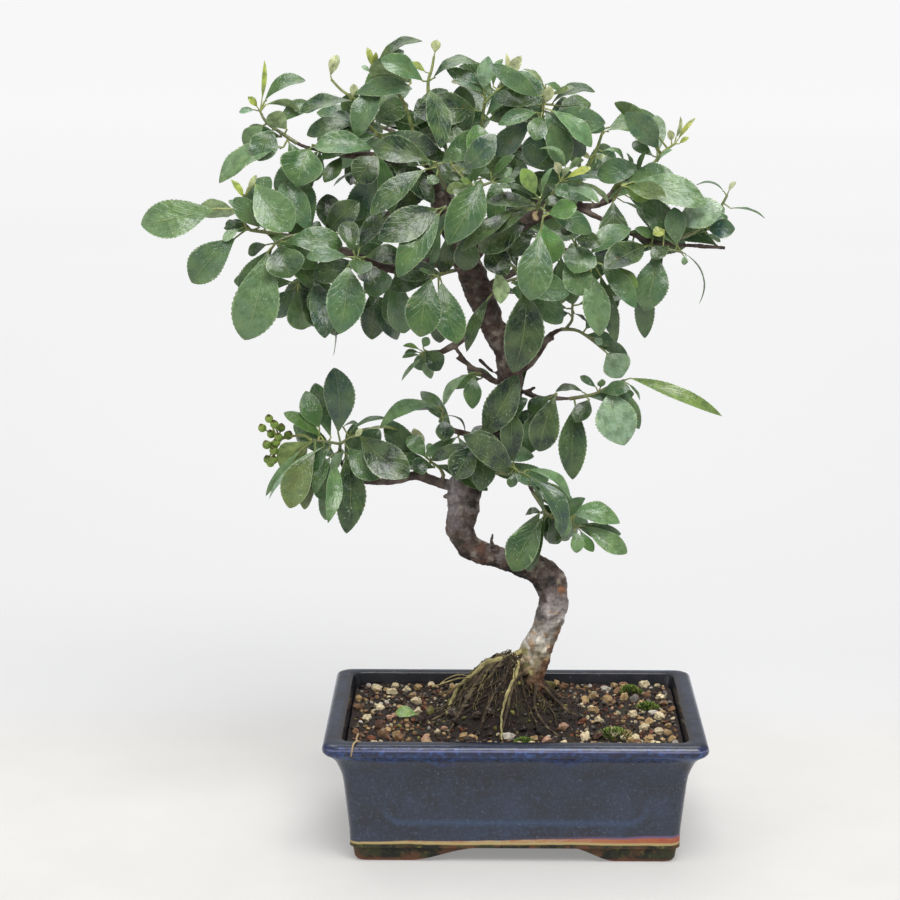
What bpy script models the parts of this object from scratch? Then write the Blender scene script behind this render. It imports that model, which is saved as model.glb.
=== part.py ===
"""Pyracantha bonsai in a glazed rectangular pot.

Lengths in the lists are millimetres; the meshes are in metres, +Z up. The pot's long side runs
along X and the tree's front looks along -Y. The plant's lists are written as the tree is seen
from its front: x and z in the plane of the trunk, and a depth y that slides a point along the
line of sight. The origin is the centre of the underside of the whole object's box.
"""
import math
import random

import bmesh
import bpy
import numpy as np
from mathutils import Matrix, Vector
from mathutils.bvhtree import BVHTree

# Driving dimensions
MM = 0.001
GAP = 0.3
OBJECT_NAME = "pyracantha_bonsai"
POT_LENGTH = 170.0
POT_DEPTH = 126.0
POT_HEIGHT = 57.5
POT_LIP = 8.7
POT_FLOOR_UNDER = 7.0
POT_FLOOR_TOP = 13.0
FOOT_INSET = 13.5
DRAIN_RADIUS = 6.0
DRAIN_X = 36.0
SCREEN_SIDE = 20.0
SCREEN_THICKNESS = 1.0
SOIL_RIM_DROP = 6.5
MOUND_HEIGHT = 9.0
MOUND_X = 4.0
MOUND_Y = -4.0
MOUND_SPREAD = 34.0
TRUNK_HOLE_RADIUS = 11.7
TRUNK_FOOT = 45.0
FRONT_ARCH_CENTRE = 4.0
BLADE_THICKNESS = 0.95
PETIOLE = 2.4
PETIOLE_RADIUS = 0.55
STRAIGHT_PETIOLE = 0.5
BERRY_RADIUS = 2.1
EYE = Vector((-12.0, -1155.0, 404.0))
SEED = 36
SOIL_TRIANGLES = 1500
WOOD_TRIANGLES = 3300
BUNCH_TRIANGLES = 480

# Trunk's centre line: x, y, z and diameter
TRUNK = [
    (9.2, 0.0, 45.0, 21.6), (9.3, 0.0, 60.0, 21.6), (9.0, 0.0, 68.0, 20.0), (8.6, 0.0, 76.0, 17.0),
    (9.9, 0.0, 84.0, 15.0), (14.3, -1.0, 93.5, 12.8), (16.3, -1.5, 102.0, 13.6),
    (17.9, -2.0, 108.5, 13.0), (16.4, -2.0, 115.8, 14.2), (10.8, -1.0, 121.8, 14.0),
    (2.4, 0.0, 125.0, 11.8), (-8.4, 1.0, 127.5, 10.8), (-17.5, 1.5, 130.5, 11.2),
    (-22.8, 1.5, 135.0, 12.6), (-24.6, 1.0, 142.0, 13.6), (-23.6, 0.5, 151.3, 14.4),
    (-22.4, 0.0, 160.0, 15.2), (-18.5, 0.0, 169.0, 14.8), (-13.3, -0.5, 177.4, 13.5),
    (-7.9, -1.0, 186.6, 12.5), (-4.6, -1.0, 197.8, 12.0), (-2.6, -0.5, 209.2, 12.0),
    (-3.5, 0.0, 218.3, 11.5), (-6.8, 0.5, 227.0, 11.0), (-11.0, 0.5, 236.0, 10.8),
    (-15.2, 0.0, 245.3, 12.0), (-18.8, 0.0, 254.3, 12.6), (-22.4, 0.0, 263.0, 12.0),
    (-28.0, 0.5, 276.0, 9.8), (-34.8, 1.0, 290.0, 8.0), (-37.9, 1.5, 303.0, 6.4),
    (-38.5, 2.0, 312.0, 5.0),
]

# Limbs: points (x, z, y) as seen, first and last diameter
LIMBS = [
    ([(-23, 264, 0), (-37, 262, -9), (-50, 259, -14), (-62, 261, -17), (-74, 266, -17),
      (-86, 271, -16), (-95, 273.4, -16)], 6.0, 2.4),
    ([(-36, 292, 1), (-47, 303, 2), (-60, 309, 2), (-75, 309.8, 2), (-88, 311.8, 2)], 5.2, 2.2),
    ([(-38, 303, 1.5), (-28, 309, 7), (-16, 313, 9), (-4, 314.5, 8), (5, 311, 4)], 4.6, 2.2),
    ([(-20.5, 262, -2), (-11.3, 273.7, -12), (-0.6, 279.4, -22), (7.0, 283.0, -29), (9.5, 283.2, -31.5)],
     5.2, 4.4),
    ([(-22, 266, 3), (-6, 274, 9), (12, 283, 10), (28, 287, 7), (37, 287.8, 3)], 5.4, 2.6),
    ([(27, 286.6, 7), (42, 279.5, 1), (55, 273.4, -5), (66, 270.6, -8), (80, 269.8, -8),
      (92.7, 268.9, -8)], 2.8, 1.7),
    ([(-32, 284, 0), (-28.5, 289, -13), (-24, 291, -24)], 4.0, 2.4),
    ([(-16.5, 249, 0), (-5, 256, -7), (9, 262, -13), (22, 268.5, -16)], 4.2, 2.4),
    ([(-24, 160, 0), (-33, 161.6, -1), (-45, 165.4, -2), (-55, 162.9, 0), (-69.5, 162.8, 3),
      (-76, 166.5, 4), (-79, 172, 3)], 5.4, 1.8),
    ([(-3.2, 206, -2), (5, 203.6, -3), (9.4, 201.4, -3), (18, 201.0, -2)], 3.2, 2.0),
    ([(-3.5, 214, -2), (3.5, 214.5, 0), (9.5, 221, 1), (13, 226.6, 2), (16, 230.2, 2),
      (19, 231.8, 3)], 4.4, 2.2),
    ([(-14, 237, 0), (-20, 231, -3), (-27, 225.4, -5), (-33.5, 221.8, -6)], 4.4, 2.6),
    ([(-4, 209, -3), (-9.5, 208.4, -5), (-15, 212, -7)], 2.6, 1.9),
    ([(-11, 181, -3), (-20, 184, -6), (-28, 186.2, -8), (-33, 188, -8)], 3.6, 2.0),
    ([(-15, 173, -3), (-9, 172.4, -6), (-6, 171.7, -7)], 3.2, 2.2),
    ([(-12, 170, -3), (-3, 170.8, 1), (4, 166, 1), (7.2, 159.5, -3)], 3.0, 2.0),
    ([(-30, 280, 0), (-42, 284, 24), (-56, 288, 44)], 4.4, 2.4),
    ([(-26, 272, 2), (-8, 283, 26), (12, 288, 46)], 4.4, 2.4),
    ([(-37, 298, 1), (-31, 302, 22), (-26, 304, 44)], 4.0, 2.4),
    ([(-38, 306, 1.5), (-47, 315, 18), (-56, 321, 32)], 3.4, 2.2),
    ([(-16, 313, 9), (-4, 318, 24), (6, 322, 36)], 3.4, 2.2),
]

# Bare stubs, thorns and cut ends: points as seen, first and last diameter
STUBS = [
    ([(-9, 208.6, -5), (-15, 212.6, -6), (-20.5, 215.4, -6), (-24, 219.6, -6), (-26.4, 223, -6)],
     2.4, 1.8),
    ([(-21, 215.8, -6), (-27, 219.4, -6)], 1.6, 1.3),
    ([(-18, 214, -6), (-22, 214, -7)], 1.4, 1.4),
    ([(-4, 210.5, -2), (-10.5, 213.2, 2), (-16.6, 218.8, 3)], 2.0, 1.6),
    ([(13, 226.6, 2), (17, 228.2, 0)], 1.8, 1.4),
    ([(4.5, 204, -3), (8.8, 206, -2)], 1.8, 1.4),
    ([(-24, 157, -2), (-32.6, 155.6, -4)], 2.6, 1.6),
    ([(-7, 128, -2), (-10.8, 135, -5), (-10.2, 138.6, -5)], 1.8, 1.3),
    ([(-40.5, 164, -2), (-40.8, 170.5, -3)], 1.6, 1.3),
]

# Surface roots: plan points (x, y), first and last diameter
ROOTS = [
    ([(6, -4), (-5, -9), (-16, -14), (-25, -24), (-30, -33)], 8.0, 3.6),
    ([(-8, -9), (-20, -9), (-30, -10), (-38, -12)], 3.4, 2.0),
    ([(6, -8), (0, -19), (-4, -30), (-7, -42)], 5.4, 2.4),
    ([(10, -8), (9, -20), (14, -31), (20, -38)], 4.4, 2.2),
    ([(12, -5), (24, -9), (33, -16)], 5.0, 2.4),
    ([(4, -7), (-8, -21), (-16, -34), (-20, -43)], 4.0, 2.0),
    ([(12, 4), (22, 14), (32, 20)], 6.0, 2.4),
    ([(5, 5), (-4, 17), (-16, 25)], 6.0, 2.4),
]

# Sprays: name, tone, twig that carries it, its stems and its leaves. Points are (x, z, y) as
# seen. A leaf is blade start x, z, tip x, z, width, turn about its midrib in degrees (0 faces the
# front, 90 is edge-on, 180 shows the underside), then how far its tip leans back from the viewer
# (None for the length rule) and how strongly it arches.
SPRAYS = [
    ("spray_left_tip", "mid", [(-92, 272.8, -16), (-100, 273.8, -15)],
     [[(-104.5, 274.7, -14), (-113, 275.8, -18), (-120, 277.5, -20), (-121, 285, -21),
       (-120.5, 292.5, -22)]],
     [(-134, 286, -167, 279, 17, 12, -6), (-124.5, 284, -143.6, 283, 10, 150, 14),
      (-125, 273, -145, 253, 15, 10, -4), (-116, 297, -100, 276, 17, 8, -10),
      (-121, 291, -126.5, 299, 3.5, 30, 0), (-119, 295, -115, 301, 2.8, 20, 0),
      (-123, 280, -129.5, 279, 4, 40, 0), (-123, 277, -130.6, 271.7, 4.5, 30, -3)]),
    ("spray_left_hanging", "mid", [(-90, 272.4, -16), (-94, 274.4, -18)],
     [[(-97.5, 274.2, -20), (-103, 273, -22), (-107.5, 270.5, -25)]],
     [(-110.5, 267, -121.5, 227, 20, 5, -8), (-105.5, 269.5, -100.5, 255.3, 17, 8, -8),
      (-111, 270, -119.5, 266, 6, 30, 6)]),
    ("spray_left_inner", "dark", [(-86, 271, -16), (-87.2, 271.8, -12)],
     [[(-87.6, 272.2, -9), (-85, 274.5, -5), (-82, 275.5, -2)]],
     [(-91, 277, -96, 299, 10.5, 8, 5), (-86, 276, -91.2, 279, 5, 20, 2),
      (-80.6, 274, -84, 292.7, 11.5, 5, 5)]),
    ("spray_left_rosette", "mid", [(-64, 261.8, -17), (-67, 263.4, -20)],
     [[(-68.6, 264, -23), (-70.6, 264.3, -28), (-71.6, 264.5, -32)]],
     [(-69.5, 263.2, -70, 256.5, 10, 5, -16), (-67.5, 261.5, -64, 251.5, 10, 10, -8),
      (-66, 261, -61, 247, 13, 10, -1), (-67, 264.7, -49.5, 264.5, 9.5, 25, 5, 0.16),
      (-75, 264.5, -93.5, 264.5, 8, 35, -4), (-72.5, 267, -75, 281, 9, 5, 8),
      (-70, 268, -60, 283.5, 8, 5, 9), (-75, 260.5, -79, 230, 17, 5, -10),
      (-72.5, 267.5, -76, 271.5, 2.6, 30, -2)]),
    ("spray_left_low", "dark", [(-78, 267.7, -17), (-80, 263.5, -12)],
     [[(-81, 261.6, -10), (-88, 258, -6), (-98, 253, -4)]],
     [(-97.5, 250, -95, 231.7, 13, 8, 2), (-99, 250.5, -108.5, 237.5, 10, 10, 2),
      (-101, 252.4, -113, 250.5, 6, 30, 5), (-87.5, 256.5, -86, 237, 15, 8, -3),
      (-85, 252, -80, 229, 11, 10, 8), (-87, 248, -80.8, 219.7, 3.6, 70, 14),
      (-84, 262, -88.5, 255.6, 6, 20, 4)]),
    ("spray_left_under", "dark", [(-56, 260, -15.5), (-59.5, 256.8, -8)],
     [[(-60.4, 255.8, -5), (-63, 252.5, -1), (-65, 250.8, 1)]],
     [(-66, 248, -52.5, 227.5, 13, 25, 4, 0.16), (-57, 254, -55, 233, 9, 8, -2),
      (-58, 256, -51.5, 243, 8, 15, 4)]),
    ("spray_upper_left_tip", "mid", [(-86, 311.5, 2), (-93, 313.3, 2)],
     [[(-97.5, 315.2, 2), (-104, 319.5, 3), (-110.6, 324.3, 4), (-113.4, 329.5, 5)]],
     [(-107.8, 321, -114.4, 307.1, 12.7, 8, -5), (-112, 322.6, -120.5, 314, 9, 20, 5),
      (-111.2, 333.2, -93, 342.6, 9, 50, 4, 0.16), (-112.3, 334.3, -110.8, 351.2, 2.4, 20, 0),
      (-115.8, 329.6, -122.5, 328.6, 3.6, 30, 0), (-110.5, 332, -95.1, 327.7, 6, 130, -4, 0.15),
      (-101.5, 321, -109.3, 327.7, 9, 160, -9), (-114.5, 331, -118.5, 335.4, 3.2, 20, -2),
      (-103, 313.4, -132, 297.6, 13, 50, -7, 0.12)]),
    ("spray_upper_left", "mid", [(-74, 309.8, 2), (-79, 311.4, -2)],
     [[(-81.5, 312, -4), (-86, 313.2, -7), (-90.5, 314.2, -10)]],
     [(-91.5, 312.5, -97.5, 296, 19, 5, -8), (-87, 312, -89, 298, 6, 20, 4),
      (-77.5, 309, -85.2, 297.7, 7, 10, 5)]),
    ("spray_upper_left_top", "dark", [(-54, 306, 2), (-58.5, 314.5, 3)],
     [[(-59.6, 317, 3.4), (-64, 321.5, 3), (-68.6, 327, 2), (-70.4, 333.5, 1), (-77, 338, 0),
       (-81.8, 343, 0)]],
     [(-73, 333.6, -95.3, 328.6, 10, 55, 0), (-70.6, 323.4, -80.6, 328.5, 5, 40, 4),
      (-72, 323.4, -92.8, 318.7, 8.5, 25, -3), (-62, 318.4, -86.3, 308, 11, 35, -9, 0.1),
      (-82, 344.5, -78.9, 353.6, 4.8, 10, 0), (-72.6, 335, -72, 341, 4, 30, -1),
      (-68, 331.4, -68.5, 338.1, 3, 20, -1)]),
    ("spray_left_heart", "mid", [(-50, 304.5, 2), (-54.5, 309, -2)],
     [[(-56, 310.6, -4), (-59, 312.2, -7), (-61, 312.4, -9)]],
     [(-61, 309.5, -71, 298, 13, 8, -6), (-70, 302.5, -81.6, 296.3, 4, 75, 9),
      (-61.5, 304, -74.5, 280.3, 13, 5, 7)]),
    ("spray_top_left", "dark", [(-38.6, 311, 2), (-43.5, 315.5, 4)],
     [[(-45.4, 318, 4), (-48.4, 329, 4), (-53, 338, 4), (-59, 343.5, 3), (-62.5, 347, 2)]],
     [(-61.5, 350, -41.7, 360.2, 8, 60, 4, 0.12), (-51.5, 335, -61, 352, 15, 165, -3),
      (-46.5, 341.5, -56, 350, 9, 150, 6), (-63.6, 348, -65.7, 356.8, 3, 20, 0),
      (-62.8, 348.4, -62, 354.6, 2.6, 20, -1), (-64.5, 346, -68.4, 348.6, 2.6, 40, -1)]),
    ("spray_top_middle", "dark", [(-38.3, 309, 2), (-38, 315, 0)],
     [[(-38, 318, -1), (-38.8, 330, -2), (-39.1, 341.6, -3), (-37.6, 347, -3), (-36.5, 353, -3)]],
     [(-36.2, 354.5, -35.4, 360.2, 4.4, 10, 0), (-37, 343.4, -17, 350, 9, 60, 3, 0.22),
      (-40.4, 346.2, -46, 350.6, 3, 20, -1), (-49, 315.8, -22.5, 318.5, 10, 30, -6)]),
    ("spray_top_right_middle", "mid", [(-17.8, 312.6, 8.7), (-16.2, 318, 7)],
     [[(-15.8, 320.5, 6), (-15, 328, 3), (-14, 335.6, 0)],
      [(-14.3, 333, 1), (-9, 338, 2), (-4, 341.8, 3)]],
     [(-16.6, 336.8, -29, 342.5, 7, 40, 3), (-17, 339, -30, 345.5, 4, 70, 7),
      (-14.8, 338.5, -12.7, 353.1, 7.5, 8, -3), (-10.6, 340, -6.6, 352, 5, 40, 4),
      (-8, 340, -1.5, 347, 4, 60, 1), (-18, 329.4, -45, 328, 15, 10, -7),
      (-3.6, 343.6, 1.7, 353.3, 5, 10, -1), (-4.2, 344, -5, 354.4, 2.6, 20, 1)]),
    ("spray_crown_right", "dark", [(2, 312.6, 5), (7, 314.5, -1)],
     [[(8.2, 316.8, -3), (9.8, 323, -6), (11.3, 329.8, -9), (11.9, 337.5, -9)]],
     [(9, 332, -12, 335.5, 9, 30, 3), (10.8, 337.5, -6.3, 341.7, 9, 60, 5),
      (11.6, 340.5, 2.3, 348, 3, 40, 9), (12.4, 332.6, 14.4, 340.2, 4.6, 5, -3),
      (15, 332.2, 34.2, 337.9, 9, 60, 1, 0.16), (15, 329.5, 33, 313.6, 10, 40, -4, 0.14),
      (22, 331.2, 31, 327, 5, 20, 6), (10.6, 327, 7.7, 316.5, 9, 8, -9),
      (8.5, 328.6, -8.3, 323.2, 7, 20, -6), (13.4, 323.6, 30.2, 309.8, 10, 10, 4),
      (9.4, 320.6, 7, 305, 12, 8, -2), (15, 336.2, 25.3, 340.1, 3, 30, 2),
      (12.6, 341, 19.4, 338.6, 4, 40, 3), (6.4, 325, -9.6, 310, 11, 8, 4)]),
    ("spray_right_upper_tip", "pale", [(28, 287, 7), (27.5, 296, 9)],
     [[(28.6, 300, 9), (32, 306, 9), (35, 312, 8), (37, 318, 7), (38.2, 321.8, 6)]],
     [(39, 320.4, 63, 315, 10, 55, 2, 0.2), (37.4, 311.6, 47.2, 306.7, 4.2, 60, 0, 0.3),
      (32.2, 308.6, 28.2, 311, 3, 30, -2), (35, 308.6, 39, 309.4, 3, 30, -3)]),
    ("spray_right_tip", "pale", [(36, 287.7, 3), (41, 292.5, 5)],
     [[(43, 295, 6), (46, 298.4, 6), (52.4, 300.8, 5), (57.3, 304, 4), (61.2, 307.4, 4),
       (64, 311, 4), (70, 315.3, 4)]],
     [(62.6, 317.5, 43, 333.6, 8, 150, 5), (62, 312, 54.2, 323.3, 7, 150, -1),
      (60, 309.5, 51, 316, 6, 20, 9), (68, 316.2, 66.9, 321, 3.4, 10, -1),
      (71, 317, 78.4, 326.6, 2.8, 40, 2), (69.9, 317.4, 71.8, 327, 2.6, 40, -2),
      (71.5, 315, 75.6, 317.7, 2.6, 30, -1), (62, 307, 68.7, 312.3, 2.8, 60, -4),
      (51.6, 302.5, 48.6, 311, 2.8, 50, 2), (53.4, 303, 56.5, 311.5, 3.4, 40, -3)]),
    ("spray_right_shoulder", "mid", [(36.5, 287.8, 3), (41, 289.6, -2)],
     [[(43, 290.6, -5), (44.4, 293, -8), (46.6, 296.6, -12)]],
     [(51.5, 298, 84, 288, 14, 25, -8), (49, 295.8, 66, 291.5, 8, 20, -9),
      (46.5, 297.6, 58, 290, 8, 10, -3), (42.6, 289.6, 43, 266, 13.5, 5, -6),
      (49.5, 291.4, 57, 287.5, 4, 20, 4), (47, 289.4, 58, 281, 3, 70, 7)]),
    ("spray_right_end", "pale", [(67, 270.6, -8), (70.5, 272.4, -9)],
     [[(72.2, 273.3, -9), (79, 276, -9), (86, 281.5, -10), (91, 288.5, -11), (93, 292.5, -11)]],
     [(70, 279.5, 91, 287, 14, 15, -6), (91.5, 294, 78.8, 296.4, 2.8, 75, 4, 0.2),
      (93.6, 294, 96.6, 298.4, 2.6, 30, 1), (94.5, 286.6, 110.3, 282.6, 2.6, 75, 0),
      (85, 277, 96.8, 277.4, 9, 15, -3), (84, 275.2, 90.5, 271.6, 2.8, 30, 2),
      (90, 284, 93.4, 280.4, 2.8, 40, 2)]),
    ("spray_right_hanging", "dark", [(54, 273.7, -5), (58, 271.5, -10)],
     [[(59.6, 270.3, -12), (63, 268.4, -14), (68, 268.2, -14), (73.6, 267, -13)]],
     [(62.5, 265.5, 57.5, 240.5, 14.5, 5, -5), (57, 258, 57.6, 228.2, 9, 15, 6),
      (67.5, 269.5, 60, 264.5, 7, 30, -7), (57, 269.5, 39.5, 260, 13, 20, 3),
      (75, 266.3, 81.8, 243.5, 2.6, 85, 0, 0.2), (74.3, 265.3, 74.5, 261.2, 3, 10, 0),
      (60.5, 273.5, 52.5, 277.5, 5, 30, 5), (65.5, 277, 60.5, 274.6, 5.5, 30, -5)]),
    ("spray_centre_knot", "mid", [(-26, 290.4, -20), (-20, 292, -30)],
     [[(-18.6, 293, -34), (-18.8, 295, -38), (-19, 296.8, -41)],
      [(-18.8, 296, -40), (-24, 300, -40), (-29.5, 306.5, -38)],
      [(-18.7, 294.6, -37), (-14.4, 296.8, -37), (-10.8, 298, -36)]],
     [(-16, 299, -30.5, 270.5, 16, 5, -12), (-21.5, 296.4, -31, 294, 5.4, 10, -3),
      (-23.4, 298.6, -30, 301.6, 4, 20, 3), (-20.4, 297.6, -25, 299.6, 2.8, 10, -4),
      (-11, 300, -1, 310, 4.6, 40, -1), (-9.4, 299.8, -2, 304, 4, 20, 2),
      (-9.2, 297.6, -0.5, 298.5, 3.2, 30, -3), (-29.4, 307.6, -24.8, 312.3, 5.6, 8, -1),
      (-29.4, 306, -23.5, 301, 4.2, 170, 2), (-11.5, 302, -26.5, 309, 9.6, 10, 9)]),
    ("spray_left_of_knot", "pale", [(-29.4, 288, -10), (-31, 293, -20)],
     [[(-31.8, 295.6, -23), (-33.4, 299, -26), (-34.6, 302.5, -29), (-36, 307, -30)]],
     [(-41, 303.2, -65, 283, 10.5, 20, -9), (-35.4, 301, -38.6, 296.8, 5.6, 10, -5),
      (-43, 305.2, -48.5, 307.5, 4.2, 10, 3), (-36.8, 305.6, -39.6, 306.4, 2.4, 20, -2),
      (-38.4, 304.6, -43, 309.6, 2.8, 40, 4)]),
    ("spray_front_green", "mid", [(-29, 288.6, -11), (-28.2, 284.4, -20)],
     [[(-28.4, 283.4, -24), (-30, 285.6, -30), (-31.6, 287.2, -35)]],
     [(-35, 286, -61.5, 272, 15, 12, -9), (-34, 284.4, -53, 256, 13, 15, -14),
      (-22, 275.6, -22.5, 258.5, 11, 10, 3), (-30.5, 275, -33, 257, 8, 10, 5),
      (-34, 275, -39, 258, 4.2, 30, 0)]),
    ("spray_cut_limb", "bright", [(6, 282.5, -28), (8.4, 284.6, -31)],
     [[(9.2, 286.4, -33), (9.9, 288.6, -36), (10.2, 291.2, -39)],
      [(9.4, 286.8, -33.6), (12.4, 285.4, -36), (11.6, 281.6, -39)]],
     [(8.4, 292.4, 2.2, 304, 7, 5, -4), (11, 292.6, 15.5, 304.5, 3.2, 40, -2),
      (7.6, 290.8, -11.5, 295, 5, 60, -3, 0.14), (7.4, 288.2, -14, 289, 8, 35, -5),
      (0, 286.4, -25, 267, 7, 30, -9), (5, 285.4, -12, 274.5, 7.5, 25, -1),
      (14, 283.8, 26.8, 287, 8.6, 12, -4), (12.4, 288, 18.4, 290.6, 4.4, 20, 2),
      (11.4, 279.6, 16, 261.5, 13.5, 5, -2), (10.4, 275, 6.5, 245.3, 15.5, 6, -12)]),
    ("spray_knot_right", "pale", [(10, 282, 10), (12, 288, -12)],
     [[(13.6, 290, -18), (17, 294.4, -23), (19.5, 298.6, -27)]],
     [(21.6, 299.6, 32.8, 304.2, 3.8, 40, -4), (20.2, 300.4, 23.4, 304.6, 2.8, 20, -3),
      (18.6, 301, 17, 306.8, 4, 20, -1), (21.6, 303, 9.5, 312.7, 5.2, 60, 3, 0.26),
      (22.6, 303, 29.5, 307.8, 5, 130, 4), (22, 298.6, 37.5, 299.5, 5, 65, 5),
      (17, 296.4, 23.3, 292, 6.6, 15, -5), (21, 295.4, 36.8, 289, 7, 50, 2),
      (28, 298, 41, 289, 4.6, 120, 10)]),
    ("spray_right_low", "mid", [(18, 266.6, -15.5), (25, 268.6, -18)],
     [[(26.6, 268.4, -19), (30, 266, -21), (34, 262.4, -23)]],
     [(22, 264.6, 29.7, 247.5, 13, 10, -8), (30.4, 270, 25.5, 257.6, 15, 10, -9),
      (26, 273, 37, 269.6, 8, 15, 7), (24, 274.5, 21.5, 281.5, 8, 20, 9),
      (33, 257.5, 37.5, 229.3, 12, 5, -5), (37.4, 256.5, 45, 226, 8, 20, 4),
      (37.6, 261.6, 53.5, 242, 9, 10, -7), (42, 260.6, 54, 251, 6, 30, 3),
      (28, 274, 32.8, 274.6, 3.6, 50, 8)]),
    ("spray_front_middle", "mid", [(-23, 260, -4), (-27.4, 258.6, -16)],
     [[(-28.6, 258.4, -21), (-31.6, 257.4, -27), (-35, 256, -33)]],
     [(-38, 255, -43, 228.7, 16, 5, -9), (-33.4, 253.6, -26, 225.7, 13.5, 6, -9),
      (-34.6, 250, -34, 226, 10, 10, 6), (-38.6, 257, -43.4, 259.6, 2.6, 40, -2)]),
    ("spray_trunk_cover", "dark", [(-3, 257, -8), (-1.6, 258.6, -14)],
     [[(-1, 259, -17), (2.4, 256.6, -19), (4.8, 252.6, -21)],
      [(1.5, 257.2, -18.5), (-3, 262, -21.5), (-9, 266.8, -21), (-13, 271.5, -20)],
      [(3.0, 255.7, -19.5), (-5, 253.4, -22), (-11, 248, -20)]],
     [(4.4, 250.4, -1, 212.5, 17.5, 6, -5), (-12.6, 246, -22.5, 222, 6, 20, -4),
      (-9, 258.4, -7, 243.7, 8, 150, 0), (-13, 269.6, -4, 256.5, 12, 8, -6),
      (-4, 265, 6, 272, 9, 20, -2), (-6.4, 250, -0.8, 248.4, 2.8, 30, -3)]),
    ("spray_twig_left", "dark", [(-27, 225.4, -5), (-33.5, 221.8, -6)],
     [[(-36.2, 221.2, -6.5), (-41, 221.4, -8)]],
     [(-43, 222.8, -50.5, 224.8, 2.8, 40, -1), (-43.4, 221.6, -50, 221.5, 2.8, 40, 2),
      (-43, 220.4, -51, 219.2, 2.8, 40, -3), (-40.5, 222.6, -34, 213.5, 9, 10, -6),
      (-40.6, 218.6, -38, 209.7, 5.2, 10, -3), (-42.4, 219, -51.8, 208.7, 3.4, 50, 1),
      (-41.6, 224, -39, 228.4, 4.2, 10, -2)]),
    ("spray_twig_middle", "bright", [(-11, 209.6, -6), (-15, 211.4, -8)],
     [[(-16.4, 212, -9), (-19, 212.4, -10.5)]],
     [(-21, 212, -32.5, 198, 6, 45, -2, 0.16), (-18.8, 210.6, -19.5, 196, 8.2, 8, -5)]),
    ("spray_left_arching", "bright", [(-30, 187, -8), (-33.6, 188.6, -8)],
     [[(-33.8, 190.4, -8.4), (-33.2, 192.8, -9), (-32.4, 195.4, -9.6)]],
     [(-34, 197, -61.5, 187, 8, 45, -3, 0.27), (-35.4, 195, -51, 193, 4.6, 60, 1, 0.16),
      (-35.6, 197, -53, 197.4, 4, 50, 8, 0.12), (-32.6, 191, -32, 181, 8.6, 10, -4),
      (-31, 193, -22.6, 185.2, 2.6, 75, -3, 0.24)]),
    ("spray_trunk_middle", "dark", [(-10, 176, -5), (-13.4, 178, -8)],
     [[(-14, 178.8, -9.6), (-15.4, 180.2, -13)]],
     [(-18, 179, -27.5, 164, 13, 8, -5), (-14.6, 177.8, -16, 158.2, 11, 8, -6),
      (-14.6, 183, 1, 211.5, 14.5, 8, -3), (-18, 180.6, -38.5, 173, 6.6, 25, 1)]),
    ("spray_lower_knot", "mid", [(-7, 172, -6.5), (-4.6, 171.4, -8)],
     [[(-3.2, 171, -9.4), (-1, 169.6, -12), (1.6, 167, -14), (4, 166.6, -15)]],
     [(-0.9, 171.6, -1.8, 194.3, 10.5, 6, -3), (-2.6, 168.6, -9.8, 172.3, 4.5, 20, -2),
      (-3.4, 165.6, -10.5, 167.8, 2.8, 30, -3), (-0.3, 166, -2.2, 160, 5, 10, -3),
      (2.4, 165, 5.2, 161.7, 3.6, 30, -4), (5.4, 168.2, 25, 154, 6.6, 50, -1, 0.22),
      (5.6, 165.6, 22, 137, 10, 35, -7, 0.2), (6, 163, 13, 147.5, 3.4, 60, 3)]),
    ("spray_lower_right", "pale", [(4, 166, 1), (7.2, 159.5, -3)],
     [[(8.2, 157.4, -4), (12, 151.5, -6), (14.5, 148, -8), (20, 144.5, -8), (28.5, 141.9, -8)]],
     [(12, 148, 4.5, 147.5, 5.2, 55, 3, 0.2), (12.4, 146, -1, 121, 14.5, 8, -7),
      (16, 146, 18, 134, 8.6, 15, 5), (24.5, 148.4, 47.5, 143.5, 11, 30, 0, 0.14),
      (31.4, 142.4, 51, 129.7, 9, 15, -4), (29.6, 140, 35.7, 130.3, 5, 10, -3),
      (27.2, 140, 28, 129.6, 6.2, 10, -5), (26, 144, 25, 148.4, 3.2, 20, -3),
      (19, 152, 22.8, 137.2, 8, 20, 3)]),
    ("spray_lower_left_rosette", "dark", [(-79, 172, 3), (-79.4, 175, 1)],
     [[(-79.4, 176.4, 0), (-79.2, 178.6, -2), (-79, 180.6, -5)],
      [(-79.1, 179.8, -4), (-85, 180.8, -5), (-91.5, 181.6, -6)],
      [(-79.1, 179.8, -4), (-76, 182, -4), (-72.4, 184, -4)]],
     [(-80, 185, -81.5, 214.7, 14, 5, -3), (-88.4, 187, -94.5, 204, 10, 8, 6),
      (-87.5, 183, -104.5, 194, 8.6, 35, 1), (-78.6, 189, -74, 197.8, 3.2, 30, 5),
      (-77.6, 187.8, -70, 188.5, 3, 60, 4, 0.2), (-74.6, 185.2, -57.3, 192, 4.2, 60, -2, 0.12),
      (-72.6, 183.2, -69, 186.6, 3, 20, -3), (-93.6, 180.6, -105.5, 167.5, 13, 160, 1),
      (-86, 178.8, -112.8, 155, 4.6, 60, -3, 0.08), (-97, 177, -113, 155.5, 4.6, 40, -4),
      (-90.6, 176, -102.5, 150, 14, 15, -9), (-84, 177.6, -96, 165.5, 9, 20, -5),
      (-87.5, 173.5, -95.5, 149.5, 8, 20, 2), (-83.4, 174.2, -91, 156.5, 6, 30, 2),
      (-77.6, 176.4, -83.5, 167, 5.6, 150, -9), (-82.2, 172, -84.7, 143.5, 7.6, 15, -4),
      (-76, 175, -76.5, 138.3, 13.5, 4, -9), (-75.6, 178, -61.5, 163.8, 12, 8, -9),
      (-70, 183.4, -48.5, 164.8, 16, 8, -10), (-68, 186.4, -52, 186.4, 3, 60, 3)]),
    ("spray_lower_left_inner", "dark", [(-33, 161.6, -1), (-32.7, 164.4, -3)],
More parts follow.
